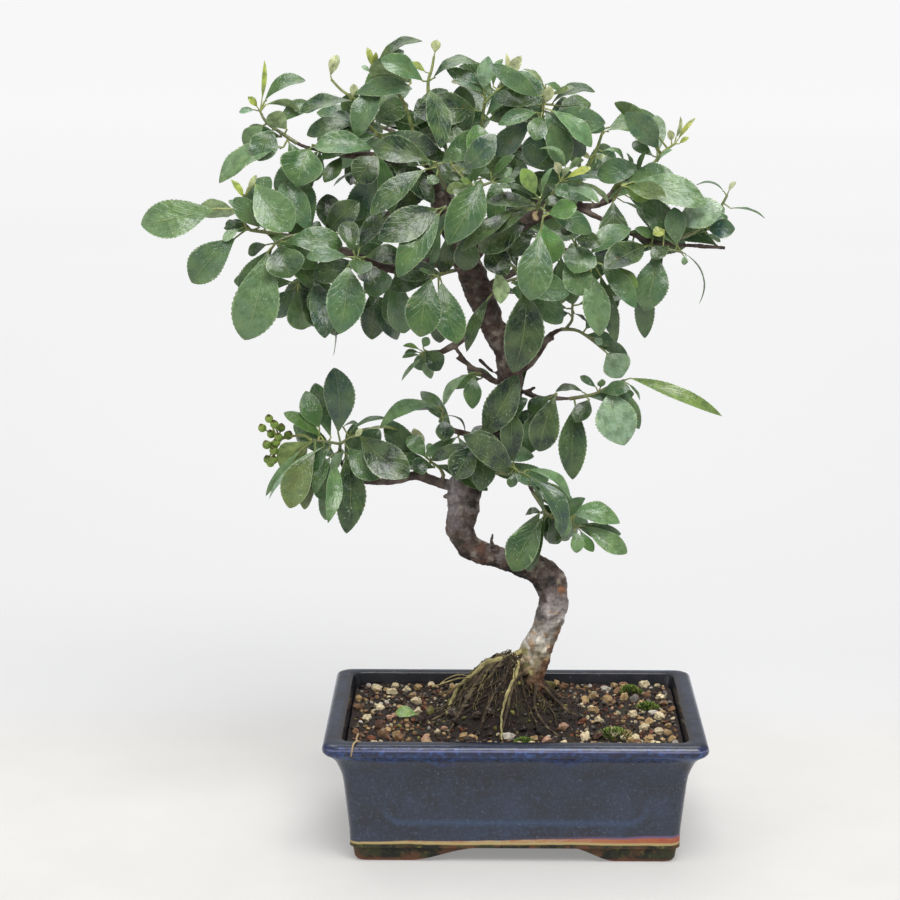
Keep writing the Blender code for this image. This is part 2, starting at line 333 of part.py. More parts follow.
     [[(-32.6, 165.6, -4), (-34, 168.6, -5), (-38, 171.6, -6)]],
     [(-40.6, 173.8, -49, 183, 8, 20, 1), (-39.4, 171.4, -46, 168, 8, 10, -4),
      (-38.8, 174.4, -38.7, 180.4, 4.6, 20, 3), (-42, 176, -46, 187, 6, 20, 8)]),
    ("spray_right_long_leaf", "bright", [(16, 201, -2), (22, 200.8, -1.5)],
     [[(24.6, 200.9, -1.5), (30, 201.8, -2), (36, 203.2, -2), (41, 206, -4), (48.5, 209.4, -5)]],
     [(30.5, 203.6, 17.8, 204.5, 5.6, 55, 1, 0.2), (36, 206, 28.8, 211.2, 3.8, 20, 3),
      (26.8, 197.6, 26, 163.6, 12.8, 8, -5), (33, 200.4, 27, 190, 8.6, 15, -9),
      (41, 203.6, 47.8, 179.5, 18, 6, -7), (38, 206, 38.6, 209.8, 4, 20, -3),
      (51.5, 210.2, 92.8, 192.8, 6.6, 60, -4, 0.14), (50.5, 207.6, 56, 200, 3, 60, 5)]),
    ("spray_right_twig", "pale", [(16, 230.2, 2), (19, 231.8, 3)],
     [[(20.6, 232.3, 3), (24, 232.3, 2), (28, 231.5, 1), (33.5, 227.8, 0), (39.5, 222.8, -1)],
      [(22, 232.3, 2.6), (25, 236.4, 2), (25, 241, 1), (25.4, 247.6, -1)]],
     [(40.6, 221.6, 47.5, 210.5, 13.5, 20, -2), (35, 228.4, 38.4, 225.4, 3.6, 20, -3),
      (23.6, 246.6, 12, 245.5, 6, 15, -3), (23.4, 239.6, 12, 236.5, 7.6, 15, -2),
      (26, 239.4, 31.4, 236, 2.8, 60, 2)]),
    ("spray_right_drooping", "dark", [(14, 201.2, -2.4), (17.2, 202.3, -5)],
     [[(18, 202.7, -7), (18.2, 203.2, -10)]],
     [(17.6, 202, 10.5, 176.5, 13.5, 6, -3)]),
]

# Sprays at the back of the crown: foot of the stem as seen, limb point and number of leaves
BACK_SPRAYS = [
    ("back_spray_left", (-50, 286.5, 36), (-73, 298, 46), 9),
    ("back_spray_left_low", (-54, 287.5, 42), (-66, 274, 60), 9),
    ("back_spray_middle", (-27, 303.6, 40), (-18, 299, 68), 9),
    ("back_spray_top", (-30, 302.4, 28), (-33, 325, 44), 9),
    ("back_spray_right", (4, 286.4, 38), (26, 299, 54), 9),
    ("back_spray_right_low", (8, 287.2, 43), (10, 271, 64), 9),
    ("back_spray_top_left", (-54, 319.6, 29), (-68, 326, 44), 9),
    ("back_spray_top_right", (4, 321.2, 33), (14, 326, 46), 9),
]

# Places where the background shows through the crown: x, z as seen and radius
CROWN_GAPS = [
    (-67, 283, 3.5), (-54, 282, 5.0), (-83, 272, 3.0), (-88, 290, 2.5), (-81, 295, 6.0),
    (-79, 259, 2.5), (-57, 259, 2.5), (-91, 257, 3.0), (-62, 243, 3.5), (-8, 242, 2.0),
    (32, 282, 5.0), (34, 293, 3.0), (52, 285, 4.0), (12, 305, 2.0), (19, 310, 2.5), (30, 312, 3.5),
    (26, 241, 5.0), (39, 258, 2.5), (-70, 292, 3.0),
]
CROWN_LOW = (-96.0, 252.0)
CROWN_HIGH = (50.0, 345.0)

# Unripe berries: centres as seen, x and z
BERRIES = [
    (-111.1, 191.3), (-114.2, 187.0), (-108.7, 188.7), (-110.2, 184.3), (-107.0, 182.9),
    (-102.5, 183.7), (-112.3, 179.3), (-109.4, 178.9), (-109.1, 176.6), (-112.0, 172.6),
    (-109.3, 172.4),
]
BERRY_DEPTH = 1.0
BERRY_STALK = [(-91.82, 181.64, -6.05), (-92.8, 181.9, -6.0), (-95, 183.6, -3), (-99.0, 183.6, 1),
               (-103.2, 182.6, 3), (-107.4, 181.4, 3)]

# Moss tufts in plan: x, y, radius, height
MOSS = [(55, 42, 4.2, 3.2), (45, -28, 5.5, 3.2), (62, 17, 3.4, 2.2), (4, -41, 2.8, 1.8)]

WELDS = (0.00002, 0.000006, 0.000002, 0.0)
TONES = {
    "dark": (0.035, 0.085, 0.040), "mid": (0.070, 0.160, 0.055), "bright": (0.130, 0.270, 0.060),
    "pale": (0.190, 0.280, 0.160),
}
HALF_WIDTH = [(0.0, 0.14), (0.15, 0.36), (0.3, 0.66), (0.45, 0.9), (0.6, 1.0), (0.75, 0.95),
              (0.88, 0.66), (0.95, 0.38), (1.0, 0.0)]
TIP_LEANS = (0, -4, 4, -8, 8, -12, 12, -17, 17, -22, 22, -28, 28)


def seen(x, z, y):
    """Return the point at depth y that covers (x, z) of the trunk's plane in the front view."""
    return EYE + (Vector((x, 0.0, z)) - EYE) * (1.0 - y / EYE.y)


def soil_height(x, y):
    """Return the height of the soil's surface, a low mound round the trunk."""
    reach = math.hypot(x - MOUND_X, y - MOUND_Y) / MOUND_SPREAD
    return POT_HEIGHT - SOIL_RIM_DROP + MOUND_HEIGHT * math.exp(-reach * reach * 1.4)


def new_material(name, colour, roughness, metallic=0.0):
    """Return a Principled material."""
    material = bpy.data.materials.new(name)
    material.use_nodes = True
    shader = material.node_tree.nodes["Principled BSDF"]
    shader.inputs["Base Color"].default_value = (*colour, 1.0)
    shader.inputs["Roughness"].default_value = roughness
    shader.inputs["Metallic"].default_value = metallic
    return material


def add_object(name, mesh, collection):
    """Link a mesh as a named object."""
    piece = bpy.data.objects.new(name, mesh)
    collection.objects.link(piece)
    return piece


def mesh_from(name, points, faces):
    """Return a mesh from points in millimetres."""
    mesh = bpy.data.meshes.new(name)
    mesh.from_pydata([tuple(Vector(p) * MM) for p in points], [], faces)
    mesh.validate()
    return mesh


def tube(name, points, diameters, collection, resolution=0):
    """Return a closed tube along points in millimetres, made from a bevelled curve."""
    curve = bpy.data.curves.new(name, "CURVE")
    curve.dimensions = "3D"
    curve.bevel_depth = MM
    curve.bevel_resolution = resolution
    curve.use_fill_caps = True
    spline = curve.splines.new("POLY")
    spline.points.add(len(points) - 1)
    for place, point, diameter in zip(spline.points, points, diameters):
        place.co = (*(Vector(point) * MM), 1.0)
        place.radius = diameter / 2.0
    guide = bpy.data.objects.new(name, curve)
    collection.objects.link(guide)
    evaluated = guide.evaluated_get(bpy.context.evaluated_depsgraph_get())
    mesh = bpy.data.meshes.new_from_object(evaluated)
    mesh.transform(guide.matrix_world)
    bpy.data.objects.remove(guide)
    edit = bmesh.new()
    edit.from_mesh(mesh)
    bmesh.ops.remove_doubles(edit, verts=edit.verts, dist=0.00001)
    bmesh.ops.recalc_face_normals(edit, faces=edit.faces)
    edit.to_mesh(mesh)
    edit.free()
    return add_object(name, mesh, collection)


def spread(first, last, count):
    """Return count numbers in even steps."""
    return [first + (last - first) * index / (count - 1) for index in range(count)]


def fuse(base, others, solver="MANIFOLD"):
    """Join objects into base with one Boolean union and remove them."""
    if not others:
        return base
    group = bpy.data.collections.new(base.name + "_repeats")
    bpy.context.scene.collection.children.link(group)
    for piece in others:
        for holder in list(piece.users_collection):
            holder.objects.unlink(piece)
        group.objects.link(piece)
    union = base.modifiers.new("union", "BOOLEAN")
    union.operation = "UNION"
    union.operand_type = "COLLECTION"
    union.collection = group
    union.solver = solver
    apply_modifiers(base)
    for piece in list(group.objects):
        bpy.data.objects.remove(piece)
    bpy.data.collections.remove(group)
    return base


def cut(base, cutter):
    """Cut one object out of another and remove it."""
    difference = base.modifiers.new("cut", "BOOLEAN")
    difference.operation = "DIFFERENCE"
    difference.object = cutter
    difference.solver = "EXACT"
    apply_modifiers(base)
    bpy.data.objects.remove(cutter)
    return base


def apply_modifiers(piece):
    """Replace an object's mesh by its evaluated one."""
    evaluated = piece.evaluated_get(bpy.context.evaluated_depsgraph_get())
    mesh = bpy.data.meshes.new_from_object(evaluated)
    piece.modifiers.clear()
    piece.data = mesh


def islands(edit):
    """Return the connected groups of faces, largest first."""
    groups = []
    left = set(edit.faces)
    while left:
        group = [left.pop()]
        for face in group:
            for edge in face.edges:
                for other in edge.link_faces:
                    if other in left:
                        left.discard(other)
                        group.append(other)
        groups.append(group)
    return sorted(groups, key=len, reverse=True)


def folds(edit):
    """Tell whether faces that share no corner cross each other."""
    edit.faces.ensure_lookup_table()
    tree = BVHTree.FromBMesh(edit)
    for first, second in tree.overlap(tree):
        if first < second:
            corners = set(edit.faces[first].verts)
            if not corners.intersection(edit.faces[second].verts):
                return True
    return False


def sound_mesh(edit, with_folds):
    """Tell whether a mesh is closed and, if asked, free of faces that cross."""
    if not all(edge.is_manifold for edge in edit.edges):
        return False
    return not (with_folds and folds(edit))


def tidy_mesh(piece):
    """Weld points that a union left close together, and drop its loose scraps and sealed hollows."""
    for distance in WELDS:
        edit = bmesh.new()
        edit.from_mesh(piece.data)
        if distance:
            bmesh.ops.remove_doubles(edit, verts=edit.verts, dist=distance)
            bmesh.ops.dissolve_degenerate(edit, edges=edit.edges, dist=distance)
        bmesh.ops.triangulate(edit, faces=edit.faces)
        groups = islands(edit)
        scraps = [face for group in groups[1:] for face in group]
        if scraps:
            bmesh.ops.delete(edit, geom=scraps, context="FACES")
        sound = sound_mesh(edit, False)
        if sound or distance == WELDS[-1]:
            edit.to_mesh(piece.data)
            edit.free()
            return sum(len(group) for group in groups[1:])
        edit.free()
    return 0


def thin_out(piece, wanted):
    """Collapse the small triangles a union left, to about a wanted number, if the body stays sound."""
    before = piece.data
    for share in (1.0, 1.2, 1.4, 1.7):
        ratio = wanted * share / len(before.polygons)
        if ratio >= 1.0:
            return
        collapse = piece.modifiers.new("collapse", "DECIMATE")
        collapse.ratio = ratio
        apply_modifiers(piece)
        edit = bmesh.new()
        edit.from_mesh(piece.data)
        sound = sound_mesh(edit, True) and len(islands(edit)) == 1
        edit.free()
        if sound:
            return
        piece.data = before
    print("kept as fused:", piece.name)


def rounded_ring(length, depth, radius, height, steps=4):
    """Return the points of a rounded rectangle at a height."""
    points = []
    for quarter, (sx, sy) in enumerate(((1, 1), (-1, 1), (-1, -1), (1, -1))):
        cx = sx * (length / 2.0 - radius)
        cy = sy * (depth / 2.0 - radius)
        for step in range(steps + 1):
            angle = math.pi / 2.0 * (quarter + step / steps)
            points.append(Vector((cx + radius * math.cos(angle), cy + radius * math.sin(angle), height)))
    return points


def ring_loft(name, rings, collection):
    """Return a closed body that joins equal rings, first to last, with a flat cap at each end."""
    count = len(rings[0])
    points = [point for ring in rings for point in ring]
    faces = []
    for level in range(len(rings) - 1):
        for index in range(count):
            following = (index + 1) % count
            low = level * count
            faces.append((low + index, low + following, low + count + following, low + count + index))
    faces.append(tuple(reversed(range(count))))
    top = (len(rings) - 1) * count
    faces.append(tuple(range(top, top + count)))
    piece = add_object(name, mesh_from(name, points, faces), collection)
    edit = bmesh.new()
    edit.from_mesh(piece.data)
    bmesh.ops.recalc_face_normals(edit, faces=edit.faces)
    edit.to_mesh(piece.data)
    edit.free()
    return piece


def box(name, size, centre, collection):
    """Return a box."""
    bpy.ops.mesh.primitive_cube_add(size=1.0, location=Vector(centre) * MM)
    return place_primitive(name, Vector(size) * MM, collection)


def cylinder(name, radius, height, centre, collection, sides=20):
    """Return an upright cylinder."""
    bpy.ops.mesh.primitive_cylinder_add(vertices=sides, radius=radius * MM, depth=height * MM,
                                        location=Vector(centre) * MM)
    return place_primitive(name, Vector((1.0, 1.0, 1.0)), collection)


def place_primitive(name, scale, collection):
    """Name the active primitive, write its scale and place into the mesh and move it."""
    piece = bpy.context.active_object
    piece.name = name
    piece.data.name = name
    piece.scale = scale
    bpy.context.view_layer.update()
    piece.data.transform(piece.matrix_world)
    piece.matrix_world.identity()
    for holder in list(piece.users_collection):
        holder.objects.unlink(piece)
    collection.objects.link(piece)
    return piece


def build_pot(collection):
    """Return the pot: turned-out rim, slanted walls, raised feet and drainage holes."""
    outline = [
        (11.5, POT_FLOOR_UNDER, 5.0), (11.5, 10.5, 6.0), (9.0, 37.0, 6.5), (7.3, 44.0, 6.5),
        (5.0, 49.0, 6.0), (0.8, 51.8, 5.5), (0.0, 54.5, 5.5), (0.9, 56.7, 5.0), (2.6, POT_HEIGHT, 4.5),
        (POT_LIP - 1.6, POT_HEIGHT, 8.0), (POT_LIP, 56.6, 8.0), (11.0, 40.0, 8.0),
        (15.5, POT_FLOOR_TOP + 3.0, 8.0), (18.0, POT_FLOOR_TOP, 8.0),
    ]
    rings = []
    for inset, height, radius in outline:
        rings.append(rounded_ring(POT_LENGTH - 2 * inset, POT_DEPTH - 2 * inset, radius, height))
    pot = ring_loft("pot", rings, collection)
    base_length = POT_LENGTH - 2 * FOOT_INSET
    base_depth = POT_DEPTH - 2 * FOOT_INSET
    foot_ring = ring_loft("foot_ring", [
        rounded_ring(base_length - 3.0, base_depth - 3.0, 4.0, 0.0),
        rounded_ring(base_length, base_depth, 4.5, 1.8),
        rounded_ring(base_length + 2.0, base_depth + 2.0, 5.0, POT_FLOOR_UNDER + 1.5),
    ], collection)
    inner = box("foot_hollow", (base_length - 26.0, base_depth - 26.0, POT_FLOOR_UNDER * 2), (0, 0, 0),
                collection)
    cut(foot_ring, inner)
    for name, size, lower in (
        ("front_arch", (72.0, base_depth + 40.0, 4.0), 66.0),
        ("side_arch", (base_length + 40.0, 44.0, 4.0), 38.0),
    ):
        shift = FRONT_ARCH_CENTRE if name == "front_arch" else 0.0
        arch = box(name, (size[0], size[1], POT_FLOOR_UNDER * 2 - 0.8), (0, 0, 0), collection)
        edit = bmesh.new()
        edit.from_mesh(arch.data)
        along = 0 if name == "front_arch" else 1
        slope = (size[along] - lower + 18.0) / size[along]
        for vert in edit.verts:
            if vert.co.z > 0:
                vert.co[along] *= 1.0 - slope * 0.5
        edit.to_mesh(arch.data)
        edit.free()
        arch.data.transform(shifted_by((shift, 0.0, 0.0)))
        cut(foot_ring, arch)
    fuse(pot, [foot_ring], "EXACT")
    for side in (-1, 1):
        cut(pot, cylinder("drain", DRAIN_RADIUS, 30.0, (side * DRAIN_X, 0, 10.0), collection))
    tidy_mesh(pot)
    return pot


def build_screens(collection):
    """Return the two drainage screens on the pot's floor."""
    screens = []
    for name, side in (("drain_screen_left", -1), ("drain_screen_right", 1)):
        height = POT_FLOOR_TOP + GAP + SCREEN_THICKNESS / 2.0
        screen = box(name, (SCREEN_SIDE, SCREEN_SIDE, SCREEN_THICKNESS), (side * DRAIN_X, 0, height),
                     collection)
        for column in (-2.4, 2.4):
            for row in (-2.4, 2.4):
                hole = box("screen_hole", (3.0, 3.0, 4.0), (side * DRAIN_X + column, row, height),
                           collection)
                cut(screen, hole)
        screens.append(screen)
    return screens


def inner_size(height):
    """Return the inset and corner radius of the pot's inner wall at a height."""
    levels = [(POT_FLOOR_TOP, 18.0), (POT_FLOOR_TOP + 3.0, 15.5), (40.0, 11.0), (56.6, POT_LIP)]
    for (low, wide), (high, narrow) in zip(levels, levels[1:]):
        if height <= high:
            return wide + (narrow - wide) * (height - low) / (high - low)
    return POT_LIP


def near_root(x, y, reach, root_lines):
    """Tell whether a plan point lies within reach of a surface root or the trunk."""
    if math.hypot(x - TRUNK[1][0], y) < TRUNK_HOLE_RADIUS + reach:
        return True
    for line, radius in root_lines:
        for a, b in zip(line, line[1:]):
            run = Vector((b[0] - a[0], b[1] - a[1]))
            share = max(0.0, min(1.0, (Vector((x - a[0], y - a[1])).dot(run)) / run.length_squared))
            if math.hypot(x - a[0] - run.x * share, y - a[1] - run.y * share) < radius + reach:
                return True
    return False


def build_soil(collection):
    """Return the soil: a bed with a mound and coarse granules half sunk in its surface."""
    bottom = POT_FLOOR_TOP + GAP + SCREEN_THICKNESS + GAP
    levels = [bottom, POT_FLOOR_TOP + 6.0, 40.0, POT_HEIGHT - SOIL_RIM_DROP - 0.5]
    rings = []
    for height in levels:
        inset = inner_size(height) + GAP + 0.15
        rings.append(rounded_ring(POT_LENGTH - 2 * inset, POT_DEPTH - 2 * inset, 8.0, height, 3))
    ring_points = len(rings[0])
    centre = Vector((MOUND_X, MOUND_Y, 0.0))
    for share in (0.82, 0.62, 0.42, 0.22):
        ring = []
        for point in rings[3]:
            place = centre + (Vector((point.x, point.y, 0.0)) - centre) * share
            ring.append(Vector((place.x, place.y, soil_height(place.x, place.y))))
        rings.append(ring)
    soil = ring_loft("soil", rings, collection)
    edit = bmesh.new()
    edit.from_mesh(soil.data)
    edit.faces.ensure_lookup_table()
    top = max((face for face in edit.faces if len(face.verts) == ring_points),
              key=lambda face: face.calc_center_median().z)
    bmesh.ops.poke(edit, faces=[top])
    bmesh.ops.triangulate(edit, faces=edit.faces)
    edit.to_mesh(soil.data)
    edit.free()
    hole_foot = TRUNK_FOOT - GAP
    cut(soil, cylinder("trunk_hole", TRUNK_HOLE_RADIUS, 40.0, (TRUNK[1][0], 0, hole_foot + 20.0),
                       collection, 18))
    draw = random.Random(SEED)
    root_lines = [(line, max(first, last) / 2.0) for line, first, last in ROOTS]
    granules = []
    places = []
    half_x = POT_LENGTH / 2.0 - POT_LIP - 5.0
    half_y = POT_DEPTH / 2.0 - POT_LIP - 5.0
    while len(places) < 46:
        x = draw.uniform(-half_x, half_x)
        y = draw.uniform(-half_y, half_y)
        size = draw.uniform(6.0, 9.0)
        if near_root(x, y, size / 2.0 + 1.2, root_lines):
            continue
        if any(math.hypot(x - a, y - b) < (size + c) / 2.0 + 1.2 for a, b, c in places):
            continue
        if any(math.hypot(x - a, y - b) < size / 2.0 + c + 1.0 for a, b, c, _ in MOSS + FLAT_SPOTS):
            continue
        places.append((x, y, size))
    for index, (x, y, size) in enumerate(places):
        bpy.ops.mesh.primitive_ico_sphere_add(subdivisions=1, radius=size / 2.0 * MM)
        granule = bpy.context.active_object
        granule.rotation_euler = (draw.uniform(0, 3), draw.uniform(0, 3), draw.uniform(0, 3))
        granule.location = Vector((x, y, soil_height(x, y) + size * 0.06)) * MM
        granule = place_primitive("granule_%d" % index, Vector((1.0, 0.82, 0.7)), collection)
        granules.append(granule)
    fuse(soil, granules)
    tidy_mesh(soil)
    thin_out(soil, SOIL_TRIANGLES)
    return soil


# Steps from the middle of a patch of soil to its edge when its height is taken
PATCH_STEPS = 5

# Plan places kept free of granules: the fallen leaf
FLAT_SPOTS = [(-49, 5, 6.0, 0)]


def root_points(line, first, last):
    """Return a root's centre line just above the soil, rising to the trunk at its first point."""
    points = []
    count = len(line)
    for index, (x, y) in enumerate(line):
        diameter = first + (last - first) * index / (count - 1)
        clear = soil_height(x, y) + diameter / 2.0 + GAP + 0.2
        lift = 7.0 if index == 0 else (2.5 if index == 1 else 0.0)
        points.append((x, y, clear + lift))
    return points


def densify(points, step):
    """Return points along straight runs no longer than step."""
    dense = [points[0]]
    for a, b in zip(points, points[1:]):
        count = max(1, math.ceil((Vector(b) - Vector(a)).length / step))
        for index in range(1, count + 1):
            dense.append(tuple(Vector(a).lerp(Vector(b), index / count)))
    return dense


def stem_direction(stem):
    """Return the 3-D direction in which a stem starts."""
    return (seen(*stem[1]) - seen(*stem[0])).normalized()


def build_wood(collection):
    """Return trunk, surface roots, limbs, twigs and stubs fused in one piece."""
    trunk = tube("wood", [point[:3] for point in TRUNK], [point[3] for point in TRUNK], collection, 3)
    grown = []
    for index, (line, first, last) in enumerate(ROOTS):
        points = root_points(line, first, last)
        low = densify(points[1:], 11.0)
        path = [points[0]] + [
            (x, y, max(z, soil_height(x, y) + GAP + 0.2 + first / 2.0 * (1 - 0.5 * k / len(low))))
            for k, (x, y, z) in enumerate(low)
        ]
        grown.append(tube("root_%d" % index, path, spread(first, last, len(path)), collection, 1))
    for index, (line, first, last) in enumerate(LIMBS + STUBS):
        points = [seen(*point) for point in line]
        sides = 1 if first > 3.0 else 0
        grown.append(tube("limb_%d" % index, points, spread(first, last, len(points)), collection, sides))
    for name, tone, twig, stems, leaves in SPRAYS:
        start = seen(*stems[0][0])
        direction = stem_direction(stems[0])
        foot = seen(*twig[0])
        bend = seen(*twig[1])
        neck = start - direction * 1.2
        along = (neck - foot).normalized()
        strays = (bend - foot - along * (bend - foot).dot(along)).length > 1.6
        points = [foot, bend, neck] if strays else [foot, neck]
        points.append(start - direction * GAP)
        grown.append(tube(name + "_twig", points, spread(2.2, 1.8, len(points)), collection))
    for name, foot, head, count in BACK_SPRAYS:
        root = seen(*foot)
        start = seen(*Vector(foot).lerp(Vector(head), 0.3))
        direction = (seen(*head) - root).normalized()
        points = [root, start - direction * GAP]
        grown.append(tube(name + "_twig", points, [2.4, 1.8], collection))
    fuse(trunk, grown)
    if tidy_mesh(trunk) > 8:
        print("loose limb in the wood")
    thin_out(trunk, WOOD_TRIANGLES)
    return trunk


def half_width(share):
    """Return the blade's half width at a share of its length, as a part of its greatest."""
    for (low, first), (high, last) in zip(HALF_WIDTH, HALF_WIDTH[1:]):
        if share <= high:
            return first + (last - first) * (share - low) / (high - low)
    return 0.0


def leaf_axes(start, tip, turn):
    """Return a leaf's normal and its direction across, turned about its midrib."""
    axis = (tip - start).normalized()
    to_eye = EYE - (start + tip) / 2.0
    facing = (to_eye - axis * to_eye.dot(axis)).normalized()
    side = axis.cross(facing)
    if side.dot(Vector((0.3, 0.0, 1.0))) < 0:
        side = -side
    angle = math.radians(turn)
    normal = facing * math.cos(angle) + side * math.sin(angle)
    return normal, axis.cross(normal).normalized()


def leaf_body(root, start, tip, width, turn, arch, thickness, with_petiole=True):
    """Return the points and faces of a leaf: petiole and arched, keeled blade of lens section."""
    normal, across = leaf_axes(start, tip, turn)
    length = (tip - start).length
    keel = 0.22
    if width < 5.0:
        shares = (0.55,) if with_petiole else (0.0, 0.55)
    elif width < 10.0:
        shares = (0.0, 0.6)
    else:
        shares = (0.0, 0.4, 0.78)
    sections = []
    if with_petiole:
        sections.append((root, 0.5, 0.5, 0.0))
    for share in shares:
        half = max(0.55, half_width(share) * width / 2.0)
        middle = start.lerp(tip, share) + normal * (arch * length * 4.0 * share * (1.0 - share))
        sections.append((middle, half, thickness / 2.0, keel * half if share > 0 else 0.0))
    points = []
    for middle, half, thick, lift in sections:
        points += [middle - across * half + normal * lift, middle + normal * thick,
                   middle + across * half + normal * lift, middle - normal * thick]
    points.append(tip + normal * keel * 0.3)
    faces = [(2, 1, 0), (3, 2, 0)]
    for level in range(len(sections) - 1):
        a = level * 4
        b = a + 4
        faces += [(b + 1, b, a), (a + 1, b + 1, a), (a + 2, b + 1, a + 1), (b + 2, b + 1, a + 2),
                  (b + 3, b + 2, a + 2), (a + 3, b + 3, a + 2), (a, b + 3, a + 3), (b, b + 3, a)]
    last = (len(sections) - 1) * 4
    end = len(points) - 1
    faces += [(last + (side + 1) % 4, end, last + side) for side in range(4)]
    return points, faces


def rod_body(start, end, radius):
    """Return the points and faces of a four-sided rod."""
    along = (end - start).normalized()
    first = along.cross(Vector((0.31, 0.2, 0.93))).normalized()
    second = along.cross(first)
    points = []
    for middle in (start, end):
        for side in (first, second, -first, -second):
            points.append(middle + side * radius)
    faces = [(2, 1, 0), (3, 2, 0), (4, 5, 6), (4, 6, 7)]
    for side in range(4):
        following = (side + 1) % 4
        faces += [(side, following, following + 4), (side, following + 4, side + 4)]
    return points, faces


def whole_leaf(root, start, tip, width, turn, arch, thickness):
    """Return a leaf's bodies: blade and petiole in one, or two where the petiole bends sharply."""
    petiole = start - root
    axis = (tip - start).normalized()
    if petiole.length > 0.6 and petiole.normalized().dot(axis) > STRAIGHT_PETIOLE:
        return [leaf_body(root, start, tip, width, turn, arch, thickness)]
    blade = leaf_body(root, start, tip, width, turn, arch, thickness, False)
    return [blade, rod_body(root, start + axis * 1.0, PETIOLE_RADIUS)]


def joined(bodies):
    """Return several bodies' points and faces as one list of each."""
    points = []
    faces = []
    for body_points, body_faces in bodies:
        shift = len(points)
        points += body_points
        faces += [tuple(corner + shift for corner in face) for face in body_faces]
    return points, faces


def body_tree(points, faces):
    """Return a search tree for a body."""
    return BVHTree.FromPolygons([tuple(point) for point in points], faces)


def object_tree(piece):
    """Return a search tree in millimetres for an object's mesh."""
    points = [tuple(vert.co / MM) for vert in piece.data.vertices]
    return BVHTree.FromPolygons(points, [tuple(face.vertices) for face in piece.data.polygons])


def root_on_stems(stems, x, z):
    """Return the seen point of the stems from which a petiole reaches the blade's start (x, z)."""
    best = None
    for stem in stems:
        for a, b in zip(stem, stem[1:]):
            for step in range(1, 10):
                place = tuple(Vector(a).lerp(Vector(b), step / 10.0))
                distance = math.hypot(place[0] - x, place[1] - z)
                strays = abs(distance - PETIOLE) if distance < PETIOLE else distance - PETIOLE
                if best is None or strays < best[0]:
                    best = (strays, place)
    return best[1]


def boxes_meet(a, b):
    """Tell whether two boxes, each a pair of corners, overlap."""
    return all(a[0][k] <= b[1][k] and b[0][k] <= a[1][k] for k in range(3))


def bounds(points):
    """Return the two corners of the box round some points."""
    array = np.array([tuple(point) for point in points])
    return array.min(axis=0), array.max(axis=0)


class Crown:
    """The leaves placed so far, so that the next one is leaned clear of them."""

    def __init__(self, wood):
        self.wood = object_tree(wood)
        self.bodies = []

    def crossings(self, owner, points, faces, own_points, own_faces):
        """Count the faces in which a blade meets the wood, other sprays and its own spray."""
        tree = body_tree(points, faces)
        own_tree = body_tree(own_points, own_faces)
        box_of = bounds(points)
        count = len(tree.overlap(self.wood))
        for other_owner, other_box, other_tree in self.bodies:
            if boxes_meet(box_of, other_box):
                mine = own_tree if other_owner == owner else tree
                count += len(mine.overlap(other_tree))
        return count

    def add(self, owner, points, faces):
        """Keep a body."""
        self.bodies.append((owner, bounds(points), body_tree(points, faces)))


def lean_of(leaf):
    """Return the lean that a leaf's list entry asks for."""
    return leaf[6] if len(leaf) > 6 and leaf[6] is not None else 0.0


def place_leaf(owner, stems, leaf, crown, may_drop):
    """Return a leaf's bodies, its tip leaned along the line of sight until it crosses nothing."""
    x, z, tip_x, tip_z, width, turn = leaf[:6]
    arch = leaf[7] if len(leaf) > 7 else 0.07
    foot = root_on_stems(stems, x, z)
    root = seen(*foot)
    petiole = math.hypot(x - foot[0], z - foot[1])
    blade = math.hypot(tip_x - x, tip_z - z)
    best = None
    for lean in TIP_LEANS:
        asked = lean_of(leaf) + lean
        start = seen(x, z, foot[2] + asked * petiole / (petiole + blade))
        tip = seen(tip_x, tip_z, foot[2] + asked)
        bodies = whole_leaf(root, start, tip, width, turn, arch, BLADE_THICKNESS)
        thick = joined(whole_leaf(root, start, tip, width + 0.8, turn, arch, BLADE_THICKNESS + 1.0))
        later = start.lerp(tip, 0.3)
        own = leaf_body(root, later, tip, width, turn, arch, BLADE_THICKNESS, False)
        count = crown.crossings(owner, *thick, *own)
        if best is None or count < best[0]:
            best = (count, bodies, thick)
        if count == 0:
            break
    if best[0] and may_drop:
        return best[0], []
    crown.add(owner, *best[2])
    return best[:2]


def build_spray(name, tone, stems, leaves, crown, collection, materials, may_drop=False):
    """Return one leafy shoot, its stems and leaves fused in one piece, and the leaves that still cross."""
    pieces = []
    for index, stem in enumerate(stems):
        points = [seen(*point) for point in stem]
        sizes = spread(1.9 if index == 0 else 1.5, 1.3, len(points))
        pieces.append(tube("%s_stem_%d" % (name, index), points, sizes, collection))
    crossed = 0
    for index, leaf in enumerate(leaves):
        count, bodies = place_leaf(name, stems, leaf, crown, may_drop)
        crossed += 1 if count and bodies else 0
        for points, faces in bodies:
            leaf_name = "%s_leaf_%d" % (name, index)
            pieces.append(add_object(leaf_name, mesh_from(leaf_name, points, faces), collection))
    spray = pieces[0]
    wanted = sum(len(face.vertices) - 2 for piece in pieces for face in piece.data.polygons)
    fuse(spray, pieces[1:])
    spray.name = name
    if tidy_mesh(spray) > 8:
        print("loose leaf in", name)
    thin_out(spray, wanted)
    spray.data.materials.clear()
    spray.data.materials.append(materials[tone])
    return spray, crossed


def in_gap(leaf):
    """Tell whether a leaf would cover a gap in the crown or stand outside the crown's limits."""
    x, z, tip_x, tip_z, width = leaf[:5]
    if not CROWN_LOW[0] < tip_x < CROWN_HIGH[0] or not CROWN_LOW[1] < tip_z < CROWN_HIGH[1]:
        return True
    run = Vector((tip_x - x, tip_z - z))
    for gap_x, gap_z, radius in CROWN_GAPS:
        share = max(0.0, min(1.0, Vector((gap_x - x, gap_z - z)).dot(run) / run.length_squared))
        away = math.hypot(x + run.x * share - gap_x, z + run.y * share - gap_z)
        if away < radius + width * 0.3:
            return True
    return False


